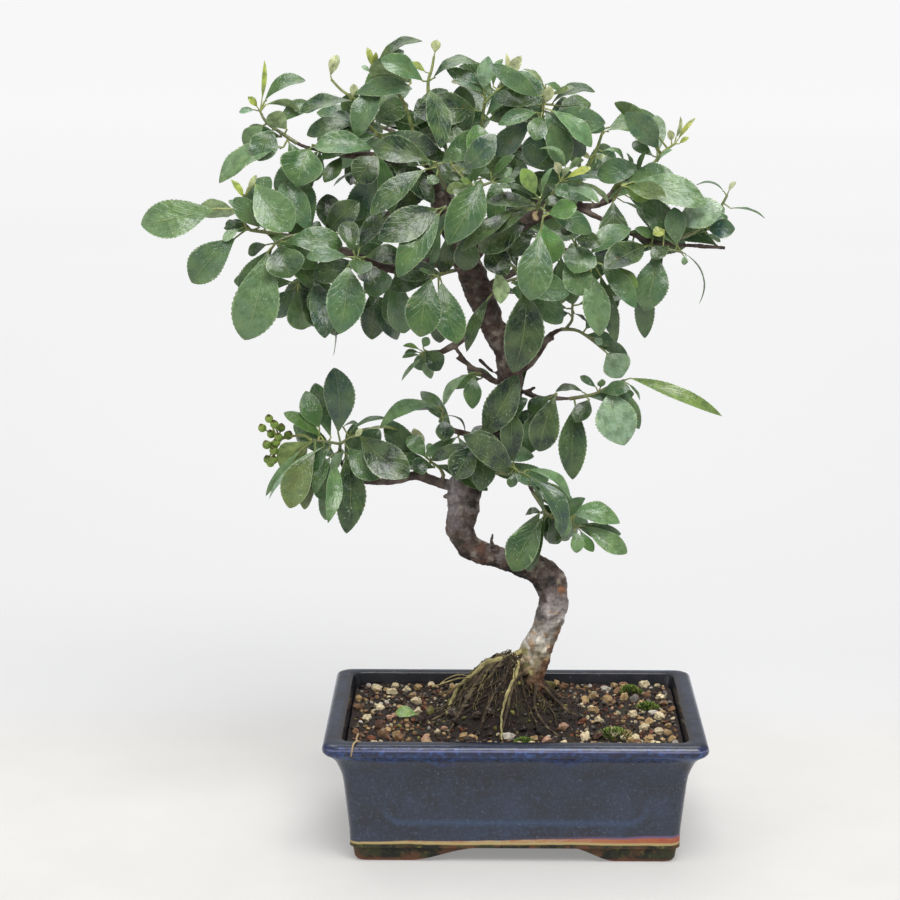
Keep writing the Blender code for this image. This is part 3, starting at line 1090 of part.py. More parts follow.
def back_leaves(foot, head, count, draw):
    """Return the leaves of a hidden shoot, set round its stem by the golden angle."""
    leaves = []
    turns = 0
    while len(leaves) < count:
        share = 0.2 + 0.8 * len(leaves) / (count - 1)
        x = foot[0] + (head[0] - foot[0]) * share
        z = foot[1] + (head[1] - foot[1]) * share
        angle = turns * math.radians(137.5)
        turns += 1
        length = draw.uniform(22.0, 29.0)
        side = length * 0.85 * math.cos(angle)
        back = length * (0.7 * math.sin(angle) + 0.1)
        rise = length * (0.45 * share - 0.12 + draw.uniform(-0.2, 0.2))
        leaf = (x + side * 0.16, z + rise * 0.16, x + side, z + rise, draw.uniform(10.5, 13.5),
                draw.uniform(-15, 50), back)
        if turns < count * 6 and in_gap(leaf):
            continue
        leaves.append(leaf)
    return leaves


def build_berries(collection):
    """Return the berry bunch: stalk, short stalklets and berries in one piece."""
    stalk_points = [seen(*point) for point in BERRY_STALK]
    bunch = tube("berry_bunch", stalk_points, [1.1, 1.3, 1.3, 1.3, 1.3, 1.2], collection)
    others = []
    for index, (x, z) in enumerate(BERRIES):
        depth = BERRY_DEPTH + (3.0 if index % 2 else -1.5)
        centre = seen(x, z, depth)
        root = stalk_points[-1].lerp(stalk_points[-2], 0.12 * (index % 5))
        others.append(tube("stalklet_%d" % index, [root, centre], [1.1, 1.0], collection, 0))
        bpy.ops.mesh.primitive_ico_sphere_add(subdivisions=1, radius=BERRY_RADIUS * MM,
                                              location=centre * MM)
        others.append(place_primitive("berry_%d" % index, Vector((1.0, 1.0, 0.95)), collection))
    fuse(bunch, others)
    tidy_mesh(bunch)
    thin_out(bunch, BUNCH_TRIANGLES)
    return bunch


def ground_under(soil, x, y, radius):
    """Return the height of the soil's highest point below a round patch."""
    tree = BVHTree.FromPolygons([vert.co / MM for vert in soil.data.vertices],
                                [tuple(face.vertices) for face in soil.data.polygons])
    heights = []
    for a in range(-PATCH_STEPS, PATCH_STEPS + 1):
        for b in range(-PATCH_STEPS, PATCH_STEPS + 1):
            if math.hypot(a, b) > PATCH_STEPS:
                continue
            above = Vector((x + a * radius / PATCH_STEPS, y + b * radius / PATCH_STEPS, 2.0 * POT_HEIGHT))
            heights.append(tree.ray_cast(above, Vector((0.0, 0.0, -1.0)))[0].z)
    return max(heights)


def build_moss(index, x, y, radius, height, floor, collection):
    """Return one tuft of moss: small domes fused in a low cushion on the floor's height."""
    draw = random.Random(SEED + index)
    bpy.ops.mesh.primitive_uv_sphere_add(segments=10, ring_count=5, radius=radius * MM)
    bpy.context.active_object.location = Vector((x, y, 0.0)) * MM
    tuft = place_primitive("moss_tuft_%d" % (index + 1), Vector((1.0, 0.85, height / radius)), collection)
    lumps = []
    for lump in range(3):
        angle = lump * 2.1
        away = radius * 0.55
        bpy.ops.mesh.primitive_ico_sphere_add(subdivisions=1, radius=radius * 0.38 * MM)
        bpy.context.active_object.location = Vector((
            x + away * math.cos(angle), y + away * math.sin(angle), height * draw.uniform(0.55, 0.8))) * MM
        lumps.append(place_primitive("moss_lump_%d" % lump, Vector((1.0, 1.0, 0.8)), collection))
    fuse(tuft, lumps)
    half = box("moss_floor", (60, 60, 40), (x, y, -20.0), collection)
    cut(tuft, half)
    tuft.data.transform(shifted_by((0.0, 0.0, floor + GAP)))
    tidy_mesh(tuft)
    return tuft


def shifted_by(offset):
    """Return the matrix of a shift in millimetres."""
    return Matrix.Translation(Vector(offset) * MM)


def build_fallen_leaf(collection):
    """Return the small fallen leaf that lies on the soil."""
    x, y = FLAT_SPOTS[0][0], FLAT_SPOTS[0][1]
    height = soil_height(x, y) + GAP + 0.7
    stalk = Vector((x + 6.0, y - 3.0, height))
    start = Vector((x + 3.4, y - 1.6, height))
    tip = Vector((x - 5.6, y + 1.4, height))
    points, faces = leaf_body(stalk, start, tip, 6.5, 70, 0.03, BLADE_THICKNESS)
    leaf = add_object("fallen_leaf", mesh_from("fallen_leaf", points, faces), collection)
    low = min(point.z for point in points)
    leaf.data.transform(shifted_by((0.0, 0.0, soil_height(x, y) + GAP + 0.2 - low)))
    return leaf


def build_dried_root(collection):
    """Return the dried root that crosses the front rim."""
    front = -POT_DEPTH / 2.0
    top = POT_HEIGHT + GAP + 0.45
    points = [(-69.5, front + POT_LIP + 6.0, top + 0.4), (-70.0, front + POT_LIP - 1.0, top),
              (-70.6, front + 2.4, top), (-71.2, front - 0.9, top - 1.8), (-71.8, front - 1.1, top - 5.5)]
    return tube("dried_root", points, [0.9] * 5, collection)


def main():
    """Build every piece and stand the object on its origin."""
    for old in list(bpy.data.objects):
        bpy.data.objects.remove(old)
    parts = bpy.data.collections.new(OBJECT_NAME)
    bpy.context.scene.collection.children.link(parts)
    materials = {tone: new_material("leaf_" + tone, colour, 0.4) for tone, colour in TONES.items()}
    pieces = []
    pot = build_pot(parts)
    pot.data.materials.append(new_material("blue_glaze", (0.035, 0.055, 0.11), 0.2))
    screens = build_screens(parts)
    mesh_material = new_material("screen_mesh", (0.05, 0.05, 0.05), 0.6)
    for screen in screens:
        screen.data.materials.append(mesh_material)
    soil = build_soil(parts)
    soil.data.materials.append(new_material("soil_mix", (0.10, 0.065, 0.04), 0.95))
    wood = build_wood(parts)
    wood.data.materials.append(new_material("bark", (0.17, 0.12, 0.09), 0.85))
    pieces += [pot, *screens, soil, wood]
    berries = build_berries(parts)
    berries.data.materials.append(new_material("berry_skin", (0.20, 0.30, 0.07), 0.45))
    pieces.append(berries)
    crown = Crown(wood)
    crown.add("berry_bunch", [vert.co / MM for vert in berries.data.vertices],
              [tuple(face.vertices) for face in berries.data.polygons])
    for name, tone, twig, stems, leaves in SPRAYS:
        for stem in stems:
            points = [seen(*point) for point in stem]
            guide = tube("stem_room", points, [2.6] * len(points), parts)
            mesh_points = [vert.co / MM for vert in guide.data.vertices]
            crown.add(name, mesh_points, [tuple(face.vertices) for face in guide.data.polygons])
            bpy.data.objects.remove(guide)
    crossed = 0
    for name, tone, twig, stems, leaves in SPRAYS:
        spray, count = build_spray(name, tone, stems, leaves, crown, parts, materials)
        crossed += count
        pieces.append(spray)
    draw = random.Random(SEED)
    for name, foot, head, count in BACK_SPRAYS:
        inner = Vector(foot).lerp(Vector(head), 0.3)
        stem = [tuple(inner), tuple(inner.lerp(Vector(head), 0.5)), head]
        leaves = back_leaves(tuple(inner), head, count, draw)
        spray, missed = build_spray(name, "mid", [stem], leaves, crown, parts, materials, True)
        crossed += missed
        pieces.append(spray)
    moss = new_material("moss", (0.14, 0.22, 0.04), 0.95)
    for index, (x, y, radius, height) in enumerate(MOSS):
        tuft = build_moss(index, x, y, radius, height, ground_under(soil, x, y, radius), parts)
        tuft.data.materials.append(moss)
        pieces.append(tuft)
    leaf = build_fallen_leaf(parts)
    leaf.data.materials.append(materials["bright"])
    root = build_dried_root(parts)
    root.data.materials.append(new_material("dry_root", (0.42, 0.33, 0.22), 0.9))
    pieces += [leaf, root]
    low, high = bounds([vert.co for piece in pieces for vert in piece.data.vertices])
    shift = Vector((-(low[0] + high[0]) / 2.0, -(low[1] + high[1]) / 2.0, -low[2]))
    base = bpy.data.objects.new(OBJECT_NAME + "_origin", None)
    parts.objects.link(base)
    base.location = shift
    for piece in pieces:
        piece.parent = base
    triangles = sum(len(face.vertices) - 2 for piece in pieces for face in piece.data.polygons)
    print("pieces", len(pieces), "triangles", triangles, "leaves that still cross", crossed)


main()
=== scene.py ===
import logging
import math
import random
from collections.abc import Callable, Iterator
from contextlib import contextmanager
from dataclasses import dataclass, field
from enum import Enum

import bmesh
import bpy
import numpy as np
from mathutils import Matrix, Vector, noise


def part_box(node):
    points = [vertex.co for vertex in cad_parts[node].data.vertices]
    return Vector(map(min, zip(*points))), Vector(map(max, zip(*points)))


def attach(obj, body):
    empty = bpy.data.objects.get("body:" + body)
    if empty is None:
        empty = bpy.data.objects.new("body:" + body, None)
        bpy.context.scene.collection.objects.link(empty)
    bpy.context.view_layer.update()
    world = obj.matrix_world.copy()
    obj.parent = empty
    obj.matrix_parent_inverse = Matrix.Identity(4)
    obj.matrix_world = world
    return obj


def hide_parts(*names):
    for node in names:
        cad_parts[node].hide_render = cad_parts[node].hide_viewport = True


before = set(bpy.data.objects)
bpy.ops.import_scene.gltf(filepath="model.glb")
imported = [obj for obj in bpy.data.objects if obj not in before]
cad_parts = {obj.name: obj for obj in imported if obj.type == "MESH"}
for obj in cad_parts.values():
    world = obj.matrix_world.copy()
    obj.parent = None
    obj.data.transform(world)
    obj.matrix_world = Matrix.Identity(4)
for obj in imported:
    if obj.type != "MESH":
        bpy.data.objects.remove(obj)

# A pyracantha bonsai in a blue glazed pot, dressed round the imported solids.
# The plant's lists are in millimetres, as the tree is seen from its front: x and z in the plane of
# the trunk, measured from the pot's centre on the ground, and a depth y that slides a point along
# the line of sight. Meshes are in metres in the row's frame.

MM = 0.001
SEED = 36
POT_LOW, POT_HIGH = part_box("pot")
HOME = Vector(((POT_LOW.x + POT_HIGH.x) / 2.0, (POT_LOW.y + POT_HIGH.y) / 2.0, 0.0))
EYE = Vector((-12.0, -1155.0, 404.0))
PETIOLE = 2.4
ARCH = 0.07
GOLDEN_ANGLE = math.radians(137.5)
GAP = 0.3
POT_HEIGHT = 57.5
SOIL_DROP = 4.4
# The soil's low mound: its middle x and y, its height and its reach
MOUND = (4.0, -4.0, 9.0, 34.0)

# Trunk's centre line: x, y, z and diameter
TRUNK = [
    (6.5, 0.0, 45.0, 17.0), (6.5, 0.0, 60.0, 16.0), (6.6, 0.0, 68.0, 14.6), (7.6, 0.0, 76.0, 14.6),
    (9.6, 0.0, 84.0, 14.4), (14.3, -1.0, 93.5, 12.8), (16.3, -1.5, 102.0, 13.6),
    (17.9, -2.0, 108.5, 13.0), (16.4, -2.0, 115.8, 14.2), (10.8, -1.0, 121.8, 14.0),
    (2.4, 0.0, 125.0, 11.8), (-8.4, 1.0, 127.5, 10.8), (-17.5, 1.5, 130.5, 11.2),
    (-22.8, 1.5, 135.0, 12.6), (-24.6, 1.0, 142.0, 13.6), (-23.6, 0.5, 151.3, 14.4),
    (-22.4, 0.0, 160.0, 15.2), (-18.5, 0.0, 169.0, 14.8), (-13.3, -0.5, 177.4, 13.5),
    (-7.9, -1.0, 186.6, 12.5), (-4.6, -1.0, 197.8, 12.0), (-2.6, -0.5, 209.2, 12.0),
    (-3.5, 0.0, 218.3, 11.5), (-6.8, 0.5, 227.0, 11.0), (-11.0, 0.5, 236.0, 10.8),
    (-15.2, 0.0, 245.3, 12.0), (-18.8, 0.0, 254.3, 12.6), (-22.4, 0.0, 263.0, 12.0),
    (-28.0, 0.5, 276.0, 9.8), (-34.8, 1.0, 290.0, 8.0), (-37.9, 1.5, 303.0, 6.4),
    (-38.5, 2.0, 312.0, 5.0),
]

# Limbs: points (x, z, y) as seen, first and last diameter
LIMBS = [
    ([(-23, 264, 0), (-37, 262, -9), (-50, 259, -14), (-62, 261, -17), (-74, 266, -17), (-86, 271, -16),
     (-95, 273.4, -16)], 6.0, 2.4),
    ([(-36, 292, 1), (-47, 303, 2), (-60, 309, 2), (-75, 309.8, 2), (-88, 311.8, 2)], 5.2, 2.2),
    ([(-38, 303, 1.5), (-28, 309, 7), (-16, 313, 9), (-4, 314.5, 8), (5, 311, 4)], 4.6, 2.2),
    ([(-20.5, 262, -2), (-11.3, 273.7, -12), (-0.6, 279.4, -22), (7.0, 283.0, -29), (9.5, 283.2, -31.5)],
     5.2, 4.4),
    ([(-22, 266, 3), (-6, 274, 9), (12, 283, 10), (28, 287, 7), (37, 287.8, 3)], 5.4, 2.6),
    ([(27, 286.6, 7), (42, 279.5, 1), (55, 273.4, -5), (66, 270.6, -8), (80, 269.8, -8),
     (92.7, 268.9, -8)], 2.8, 1.7),
    ([(-32, 284, 0), (-28.5, 289, -13), (-24, 291, -24)], 4.0, 2.4),
    ([(-16.5, 249, 0), (-5, 256, -7), (9, 262, -13), (22, 268.5, -16)], 4.2, 2.4),
    ([(-24, 160, 0), (-33, 161.6, -1), (-45, 165.4, -2), (-55, 162.9, 0), (-69.5, 162.8, 3),
     (-76, 166.5, 4), (-79, 172, 3)], 5.4, 1.8),
    ([(-3.2, 206, -2), (5, 203.6, -3), (9.4, 201.4, -3), (18, 201.0, -2)], 3.2, 2.0),
    ([(-3.5, 214, -2), (3.5, 214.5, 0), (9.5, 221, 1), (13, 226.6, 2), (16, 230.2, 2), (19, 231.8, 3)],
     4.4, 2.2),
    ([(-14, 237, 0), (-20, 231, -3), (-27, 225.4, -5), (-33.5, 221.8, -6)], 4.4, 2.6),
    ([(-4, 209, -3), (-9.5, 208.4, -5), (-15, 212, -7)], 2.6, 1.9),
    ([(-11, 181, -3), (-20, 184, -6), (-28, 186.2, -8), (-33, 188, -8)], 3.6, 2.0),
    ([(-15, 173, -3), (-9, 172.4, -6), (-6, 171.7, -7)], 3.2, 2.2),
    ([(-12, 170, -3), (-3, 170.8, 1), (4, 166, 1), (7.2, 159.5, -3)], 3.0, 2.0),
    ([(-30, 280, 0), (-42, 284, 24), (-56, 288, 44)], 4.4, 2.4),
    ([(-26, 272, 2), (-8, 283, 26), (12, 288, 46)], 4.4, 2.4),
    ([(-37, 298, 1), (-31, 302, 22), (-26, 304, 44)], 4.0, 2.4),
    ([(-38, 306, 1.5), (-47, 315, 18), (-56, 321, 32)], 3.4, 2.2),
    ([(-16, 313, 9), (-4, 318, 24), (6, 322, 36)], 3.4, 2.2),
]

# Bare stubs, thorns and cut ends: points as seen, first and last diameter
STUBS = [
    ([(-9, 208.6, -5), (-15, 212.6, -6), (-20.5, 215.4, -6), (-24, 219.6, -6), (-26.4, 223, -6)], 2.4,
     1.8),
    ([(-21, 215.8, -6), (-27, 219.4, -6)], 1.6, 1.3),
    ([(-18, 214, -6), (-22, 214, -7)], 1.4, 1.4),
    ([(-4, 210.5, -2), (-10.5, 213.2, 2), (-16.6, 218.8, 3)], 2.0, 1.6),
    ([(13, 226.6, 2), (17, 228.2, 0)], 1.8, 1.4),
    ([(4.5, 204, -3), (8.8, 206, -2)], 1.8, 1.4),
    ([(-24, 157, -2), (-32.6, 155.6, -4)], 2.6, 1.6),
    ([(-7, 128, -2), (-10.8, 135, -5), (-10.2, 138.6, -5)], 1.8, 1.3),
    ([(-40.5, 164, -2), (-40.8, 170.5, -3)], 1.6, 1.3),
]

# Surface roots: plan points (x, y), first and last diameter
ROOTS = [
    ([(6, -4), (-5, -9), (-16, -14), (-25, -24), (-30, -33)], 8.0, 3.6),
    ([(-8, -9), (-20, -9), (-30, -10), (-38, -12)], 3.4, 2.0),
    ([(6, -8), (0, -19), (-4, -30), (-7, -42)], 5.4, 2.4),
    ([(10, -8), (9, -20), (14, -31), (20, -38)], 4.4, 2.2),
    ([(12, -5), (24, -9), (33, -16)], 5.0, 2.4),
    ([(4, -7), (-8, -21), (-16, -34), (-20, -43)], 4.0, 2.0),
    ([(12, 4), (22, 14), (32, 20)], 6.0, 2.4),
    ([(5, 5), (-4, 17), (-16, 25)], 6.0, 2.4),
]

# Sprays: name, tone, each leaf's letter of Tone, twig that carries the spray, its stems and its leaves.
# Points are (x, z, y) as seen. A leaf is blade start x, z, tip x, z, width, turn about its midrib in
# degrees (0 faces the front, 90 is edge-on, 180 shows the underside), how far its tip leans back from the
# viewer, and how strongly it arches where that isn't ARCH.
SPRAYS = [
    ("spray_left_tip", "mid", "ppepycds", [(-92, 272.8, -16), (-100, 273.8, -15)], [[(-104.5, 274.7, -14),
     (-113, 275.8, -18), (-120, 277.5, -20), (-121, 285, -21), (-120.5, 292.5, -22)]],
     [(-134, 286, -167, 279, 17, 12, -6), (-124.5, 284, -143.6, 283, 10, 150, 14),
     (-125, 273, -145, 253, 15, 10, -4), (-116, 297, -100, 276, 17, 8, -10),
     (-121, 291, -126.5, 299, 3.5, 30, 0), (-119, 295, -115, 301, 2.8, 20, 0),
     (-123, 280, -129.5, 279, 4, 40, 0), (-123, 277, -130.6, 271.7, 4.5, 30, -3)]),
    ("spray_left_hanging", "mid", "pdd", [(-90, 272.4, -16), (-94, 274.4, -18)], [[(-97.5, 274.2, -20),
     (-103, 273, -22), (-107.5, 270.5, -25)]], [(-110.5, 267, -121.5, 227, 20, 5, -8),
     (-105.5, 269.5, -100.5, 255.3, 17, 8, -8), (-111, 270, -119.5, 266, 6, 30, 6)]),
    ("spray_left_inner", "dark", "pkk", [(-86, 271, -16), (-87.2, 271.8, -12)], [[(-87.6, 272.2, -9),
     (-85, 274.5, -5), (-82, 275.5, -2)]], [(-91, 277, -96, 299, 10.5, 8, 5),
     (-86, 276, -91.2, 279, 5, 20, -2), (-80.6, 274, -84, 292.7, 11.5, 5, 5)]),
    ("spray_left_rosette", "mid", "dkekekked", [(-64, 261.8, -17), (-67, 263.4, -20)],
     [[(-68.6, 264, -23), (-70.6, 264.3, -28), (-71.6, 264.5, -32)]],
     [(-69.5, 263.2, -70, 256.5, 10, 5, -16), (-67.5, 261.5, -64, 251.5, 10, 10, -8),
     (-66, 261, -61, 247, 13, 10, -1), (-67, 264.7, -49.5, 264.5, 9.5, 25, 5, 0.16),
     (-75, 264.5, -93.5, 264.5, 8, 35, -4), (-72.5, 267, -75, 281, 9, 5, 8),
     (-70, 268, -60, 283.5, 8, 5, 9), (-75, 260.5, -79, 230, 17, 5, -10),
     (-72.5, 267.5, -76, 271.5, 2.6, 30, -2)]),
    ("spray_left_low", "dark", "pukekdm", [(-78, 267.7, -17), (-80, 263.5, -12)], [[(-81, 261.6, -10),
     (-88, 258, -6), (-98, 253, -4)]], [(-97.5, 250, -95, 231.7, 13, 8, 2),
     (-99, 250.5, -108.5, 237.5, 10, 10, 2), (-101, 252.4, -113, 250.5, 6, 30, 5),
     (-87.5, 256.5, -86, 237, 15, 8, -3), (-85, 252, -80, 229, 11, 10, 8),
     (-87, 248, -80.8, 219.7, 3.6, 70, 14), (-84, 262, -88.5, 255.6, 6, 20, 0)]),
    ("spray_left_under", "dark", "upd", [(-56, 260, -15.5), (-59.5, 256.8, -8)], [[(-60.4, 255.8, -5),
     (-63, 252.5, -1), (-65, 250.8, 1)]], [(-66, 248, -52.5, 227.5, 13, 25, 4, 0.16),
     (-57, 254, -55, 233, 9, 8, -2), (-58, 256, -51.5, 243, 8, 15, 4)]),
    ("spray_upper_left_tip", "mid", "epmysppyp", [(-86, 311.5, 2), (-93, 313.3, 2)], [[(-97.5, 315.2, 2),
     (-104, 319.5, 3), (-110.6, 324.3, 4), (-113.4, 329.5, 5)]],
     [(-107.8, 321, -114.4, 307.1, 12.7, 8, -5), (-112, 322.6, -120.5, 314, 9, 20, 5),
     (-111.2, 333.2, -93, 342.6, 9, 50, 4, 0.16), (-112.3, 334.3, -110.8, 351.2, 2.4, 20, 0),
     (-115.8, 329.6, -122.5, 328.6, 3.6, 30, 0), (-110.5, 332, -95.1, 327.7, 6, 130, -4, 0.15),
     (-101.5, 321, -109.3, 327.7, 9, 160, -9), (-114.5, 331, -118.5, 335.4, 3.2, 20, -2),
     (-103, 313.4, -132, 297.6, 13, 50, -3, 0.12)]),
    ("spray_upper_left", "mid", "mpk", [(-74, 309.8, 2), (-79, 311.4, -2)], [[(-81.5, 312, -4),
     (-86, 313.2, -7), (-90.5, 314.2, -10)]], [(-91.5, 312.5, -97.5, 296, 19, 5, -8),
     (-87, 312, -89, 298, 6, 20, 4), (-77.5, 309, -85.2, 297.7, 7, 10, -12)]),
    ("spray_upper_left_top", "dark", "dudbccy", [(-54, 306, 2), (-58.5, 314.5, 3)], [[(-59.6, 317, 3.4),
     (-64, 321.5, 3), (-68.6, 327, 2), (-70.4, 333.5, 1), (-77, 338, 0), (-81.8, 343, 0)]],
     [(-73, 333.6, -95.3, 328.6, 10, 55, 0), (-70.6, 323.4, -80.6, 328.5, 5, 40, 4),
     (-72, 323.4, -92.8, 318.7, 8.5, 25, -3), (-62, 318.4, -86.3, 308, 11, 35, -13, 0.1),
     (-82, 344.5, -78.9, 353.6, 4.8, 10, 0), (-72.6, 335, -72, 341, 4, 30, -1),
     (-68, 331.4, -68.5, 338.1, 3, 20, -1)]),
    ("spray_left_heart", "mid", "ksu", [(-50, 304.5, 2), (-54.5, 309, -2)], [[(-56, 310.6, -4),
     (-59, 312.2, -7), (-61, 312.4, -9)]], [(-61, 309.5, -71, 298, 13, 8, -6),
     (-70, 302.5, -81.6, 296.3, 4, 75, 9), (-61.5, 304, -74.5, 280.3, 13, 5, 7)]),
    ("spray_top_left", "dark", "kppyys", [(-38.6, 311, 2), (-43.5, 315.5, 4)], [[(-45.4, 318, 4),
     (-48.4, 329, 4), (-53, 338, 4), (-59, 343.5, 3), (-62.5, 347, 2)]],
     [(-61.5, 350, -41.7, 360.2, 8, 60, 4, 0.12), (-51.5, 335, -61, 352, 15, 165, -11),
     (-46.5, 341.5, -56, 350, 9, 150, 6), (-63.6, 348, -65.7, 356.8, 3, 20, 0),
     (-62.8, 348.4, -62, 354.6, 2.6, 20, -5), (-64.5, 346, -68.4, 348.6, 2.6, 40, -1)]),
    ("spray_top_middle", "dark", "cdyk", [(-38.3, 309, 2), (-38, 315, 0)], [[(-38, 318, -1),
     (-38.8, 330, -2), (-39.1, 341.6, -3), (-37.6, 347, -3), (-36.5, 353, -3)]],
     [(-36.2, 354.5, -35.4, 360.2, 4.4, 10, 0), (-37, 343.4, -17, 350, 9, 60, 3, 0.22),
     (-40.4, 346.2, -46, 350.6, 3, 20, -1), (-49, 315.8, -22.5, 318.5, 10, 30, -6)]),
    ("spray_top_right_middle", "mid", "ckspckcc", [(-17.8, 312.6, 8.7), (-16.2, 318, 7)],
     [[(-15.8, 320.5, 6), (-15, 328, 3), (-14, 335.6, 0)], [(-14.3, 333, 1), (-9, 338, 2),
     (-4, 341.8, 3)]], [(-16.6, 336.8, -29, 342.5, 7, 40, 3), (-17, 339, -30, 345.5, 4, 70, 11),
     (-14.8, 338.5, -12.7, 353.1, 7.5, 8, -3), (-10.6, 340, -6.6, 352, 5, 40, 4),
     (-8, 340, -1.5, 347, 4, 60, -3), (-18, 329.4, -45, 328, 15, 10, -11),
     (-3.6, 343.6, 1.7, 353.3, 5, 10, -1), (-4.2, 344, -5, 354.4, 2.6, 20, 1)]),
    ("spray_crown_right", "dark", "ddocdppmeuuomu", [(2, 312.6, 5), (7, 314.5, -1)], [[(8.2, 316.8, -3),
     (9.8, 323, -6), (11.3, 329.8, -9), (11.9, 337.5, -9)]], [(9, 332, -12, 335.5, 9, 30, 3),
     (10.8, 337.5, -6.3, 341.7, 9, 60, 5), (11.6, 340.5, 2.3, 348, 3, 40, 9),
     (12.4, 332.6, 14.4, 340.2, 4.6, 5, -3), (15, 332.2, 34.2, 337.9, 9, 60, 1, 0.16),
     (15, 329.5, 33, 313.6, 10, 40, -4, 0.14), (22, 331.2, 31, 327, 5, 20, 6),
     (10.6, 327, 7.7, 316.5, 9, 8, -9), (8.5, 328.6, -8.3, 323.2, 7, 20, -6),
     (13.4, 323.6, 30.2, 309.8, 10, 10, 4), (9.4, 320.6, 7, 305, 12, 8, -2),
     (15, 336.2, 25.3, 340.1, 3, 30, -2), (12.6, 341, 19.4, 338.6, 4, 40, 3),
     (6.4, 325, -9.6, 310, 11, 8, 4)]),
    ("spray_right_upper_tip", "pale", "ppcc", [(28, 287, 7), (27.5, 296, 9)], [[(28.6, 300, 9),
     (32, 306, 9), (35, 312, 8), (37, 318, 7), (38.2, 321.8, 6)]], [(39, 320.4, 63, 315, 10, 55, 2, 0.2),
     (37.4, 311.6, 47.2, 306.7, 4.2, 60, 0, 0.3), (32.2, 308.6, 28.2, 311, 3, 30, -2),
     (35, 308.6, 39, 309.4, 3, 30, -3)]),
    ("spray_right_tip", "pale", "mppcycysee", [(36, 287.7, 3), (41, 292.5, 5)], [[(43, 295, 6),
     (46, 298.4, 6), (52.4, 300.8, 5), (57.3, 304, 4), (61.2, 307.4, 4), (64, 311, 4), (70, 315.3, 4)]],
     [(62.6, 317.5, 43, 333.6, 8, 150, -3), (62, 312, 54.2, 323.3, 7, 150, -9),
     (60, 309.5, 51, 316, 6, 20, 9), (68, 316.2, 66.9, 321, 3.4, 10, -1),
     (71, 317, 78.4, 326.6, 2.8, 40, 2), (69.9, 317.4, 71.8, 327, 2.6, 40, -2),
     (71.5, 315, 75.6, 317.7, 2.6, 30, -1), (62, 307, 68.7, 312.3, 2.8, 60, -4),
     (51.6, 302.5, 48.6, 311, 2.8, 50, 2), (53.4, 303, 56.5, 311.5, 3.4, 40, -3)]),
    ("spray_right_shoulder", "mid", "pofdmd", [(36.5, 287.8, 3), (41, 289.6, -2)], [[(43, 290.6, -5),
     (44.4, 293, -8), (46.6, 296.6, -12)]], [(51.5, 298, 84, 288, 14, 25, -8),
     (49, 295.8, 66, 291.5, 8, 20, -13), (46.5, 297.6, 58, 290, 8, 10, -3),
     (42.6, 289.6, 43, 266, 13.5, 5, -6), (49.5, 291.4, 57, 287.5, 4, 20, 4),
     (47, 289.4, 58, 281, 3, 70, 7)]),
    ("spray_right_end", "pale", "seceusp", [(67, 270.6, -8), (70.5, 272.4, -9)], [[(72.2, 273.3, -9),
     (79, 276, -9), (86, 281.5, -10), (91, 288.5, -11), (93, 292.5, -11)]],
     [(70, 279.5, 91, 287, 14, 15, -6), (91.5, 294, 78.8, 296.4, 2.8, 75, 4, 0.2),
     (93.6, 294, 96.6, 298.4, 2.6, 30, 1), (94.5, 286.6, 110.3, 282.6, 2.6, 75, 0),
     (85, 277, 96.8, 277.4, 9, 15, -3), (84, 275.2, 90.5, 271.6, 2.8, 30, 2),
     (90, 284, 93.4, 280.4, 2.8, 40, 2)]),
    ("spray_right_hanging", "dark", "eekkdsmy", [(54, 273.7, -5), (58, 271.5, -10)], [[(59.6, 270.3, -12),
     (63, 268.4, -14), (68, 268.2, -14), (73.6, 267, -13)]], [(62.5, 265.5, 57.5, 240.5, 14.5, 5, -5),
     (57, 258, 57.6, 228.2, 9, 15, 6), (67.5, 269.5, 60, 264.5, 7, 30, -7),
     (57, 269.5, 39.5, 260, 13, 20, -25), (75, 266.3, 81.8, 243.5, 2.6, 85, 0, 0.2),
     (74.3, 265.3, 74.5, 261.2, 3, 10, 0), (60.5, 273.5, 52.5, 277.5, 5, 30, -7),
     (65.5, 277, 60.5, 274.6, 5.5, 30, -5)]),
    ("spray_centre_knot", "mid", "mokfmpmmcs", [(-26, 290.4, -20), (-20, 292, -30)], [[(-18.6, 293, -34),
     (-18.8, 295, -38), (-19, 296.8, -41)], [(-18.8, 296, -40), (-24, 300, -40), (-29.5, 306.5, -38)],
     [(-18.7, 294.6, -37), (-14.4, 296.8, -37), (-10.8, 298, -36)]],
     [(-16, 299, -30.5, 270.5, 16, 5, -12), (-21.5, 296.4, -31, 294, 5.4, 10, -3),
     (-23.4, 298.6, -30, 301.6, 4, 20, 3), (-20.4, 297.6, -25, 299.6, 2.8, 10, -8),
     (-11, 300, -1, 310, 4.6, 40, -1), (-9.4, 299.8, -2, 304, 4, 20, 2),
     (-9.2, 297.6, -0.5, 298.5, 3.2, 30, -3), (-29.4, 307.6, -24.8, 312.3, 5.6, 8, -1),
     (-29.4, 306, -23.5, 301, 4.2, 170, 6), (-11.5, 302, -26.5, 309, 9.6, 10, 9)]),
    ("spray_left_of_knot", "pale", "ddpkk", [(-29.4, 288, -10), (-31, 293, -20)], [[(-31.8, 295.6, -23),
     (-33.4, 299, -26), (-34.6, 302.5, -29), (-36, 307, -30)]], [(-41, 303.2, -65, 283, 10.5, 20, -9),
     (-35.4, 301, -38.6, 296.8, 5.6, 10, -5), (-43, 305.2, -48.5, 307.5, 4.2, 10, 3),
     (-36.8, 305.6, -39.6, 306.4, 2.4, 20, -2), (-38.4, 304.6, -43, 309.6, 2.8, 40, 4)]),
    ("spray_front_green", "mid", "kmdke", [(-29, 288.6, -11), (-28.2, 284.4, -20)], [[(-28.4, 283.4, -24),
     (-30, 285.6, -30), (-31.6, 287.2, -35)]], [(-35, 286, -61.5, 272, 15, 12, -9),
     (-34, 284.4, -53, 256, 13, 15, -14), (-22, 275.6, -22.5, 258.5, 11, 10, -1),
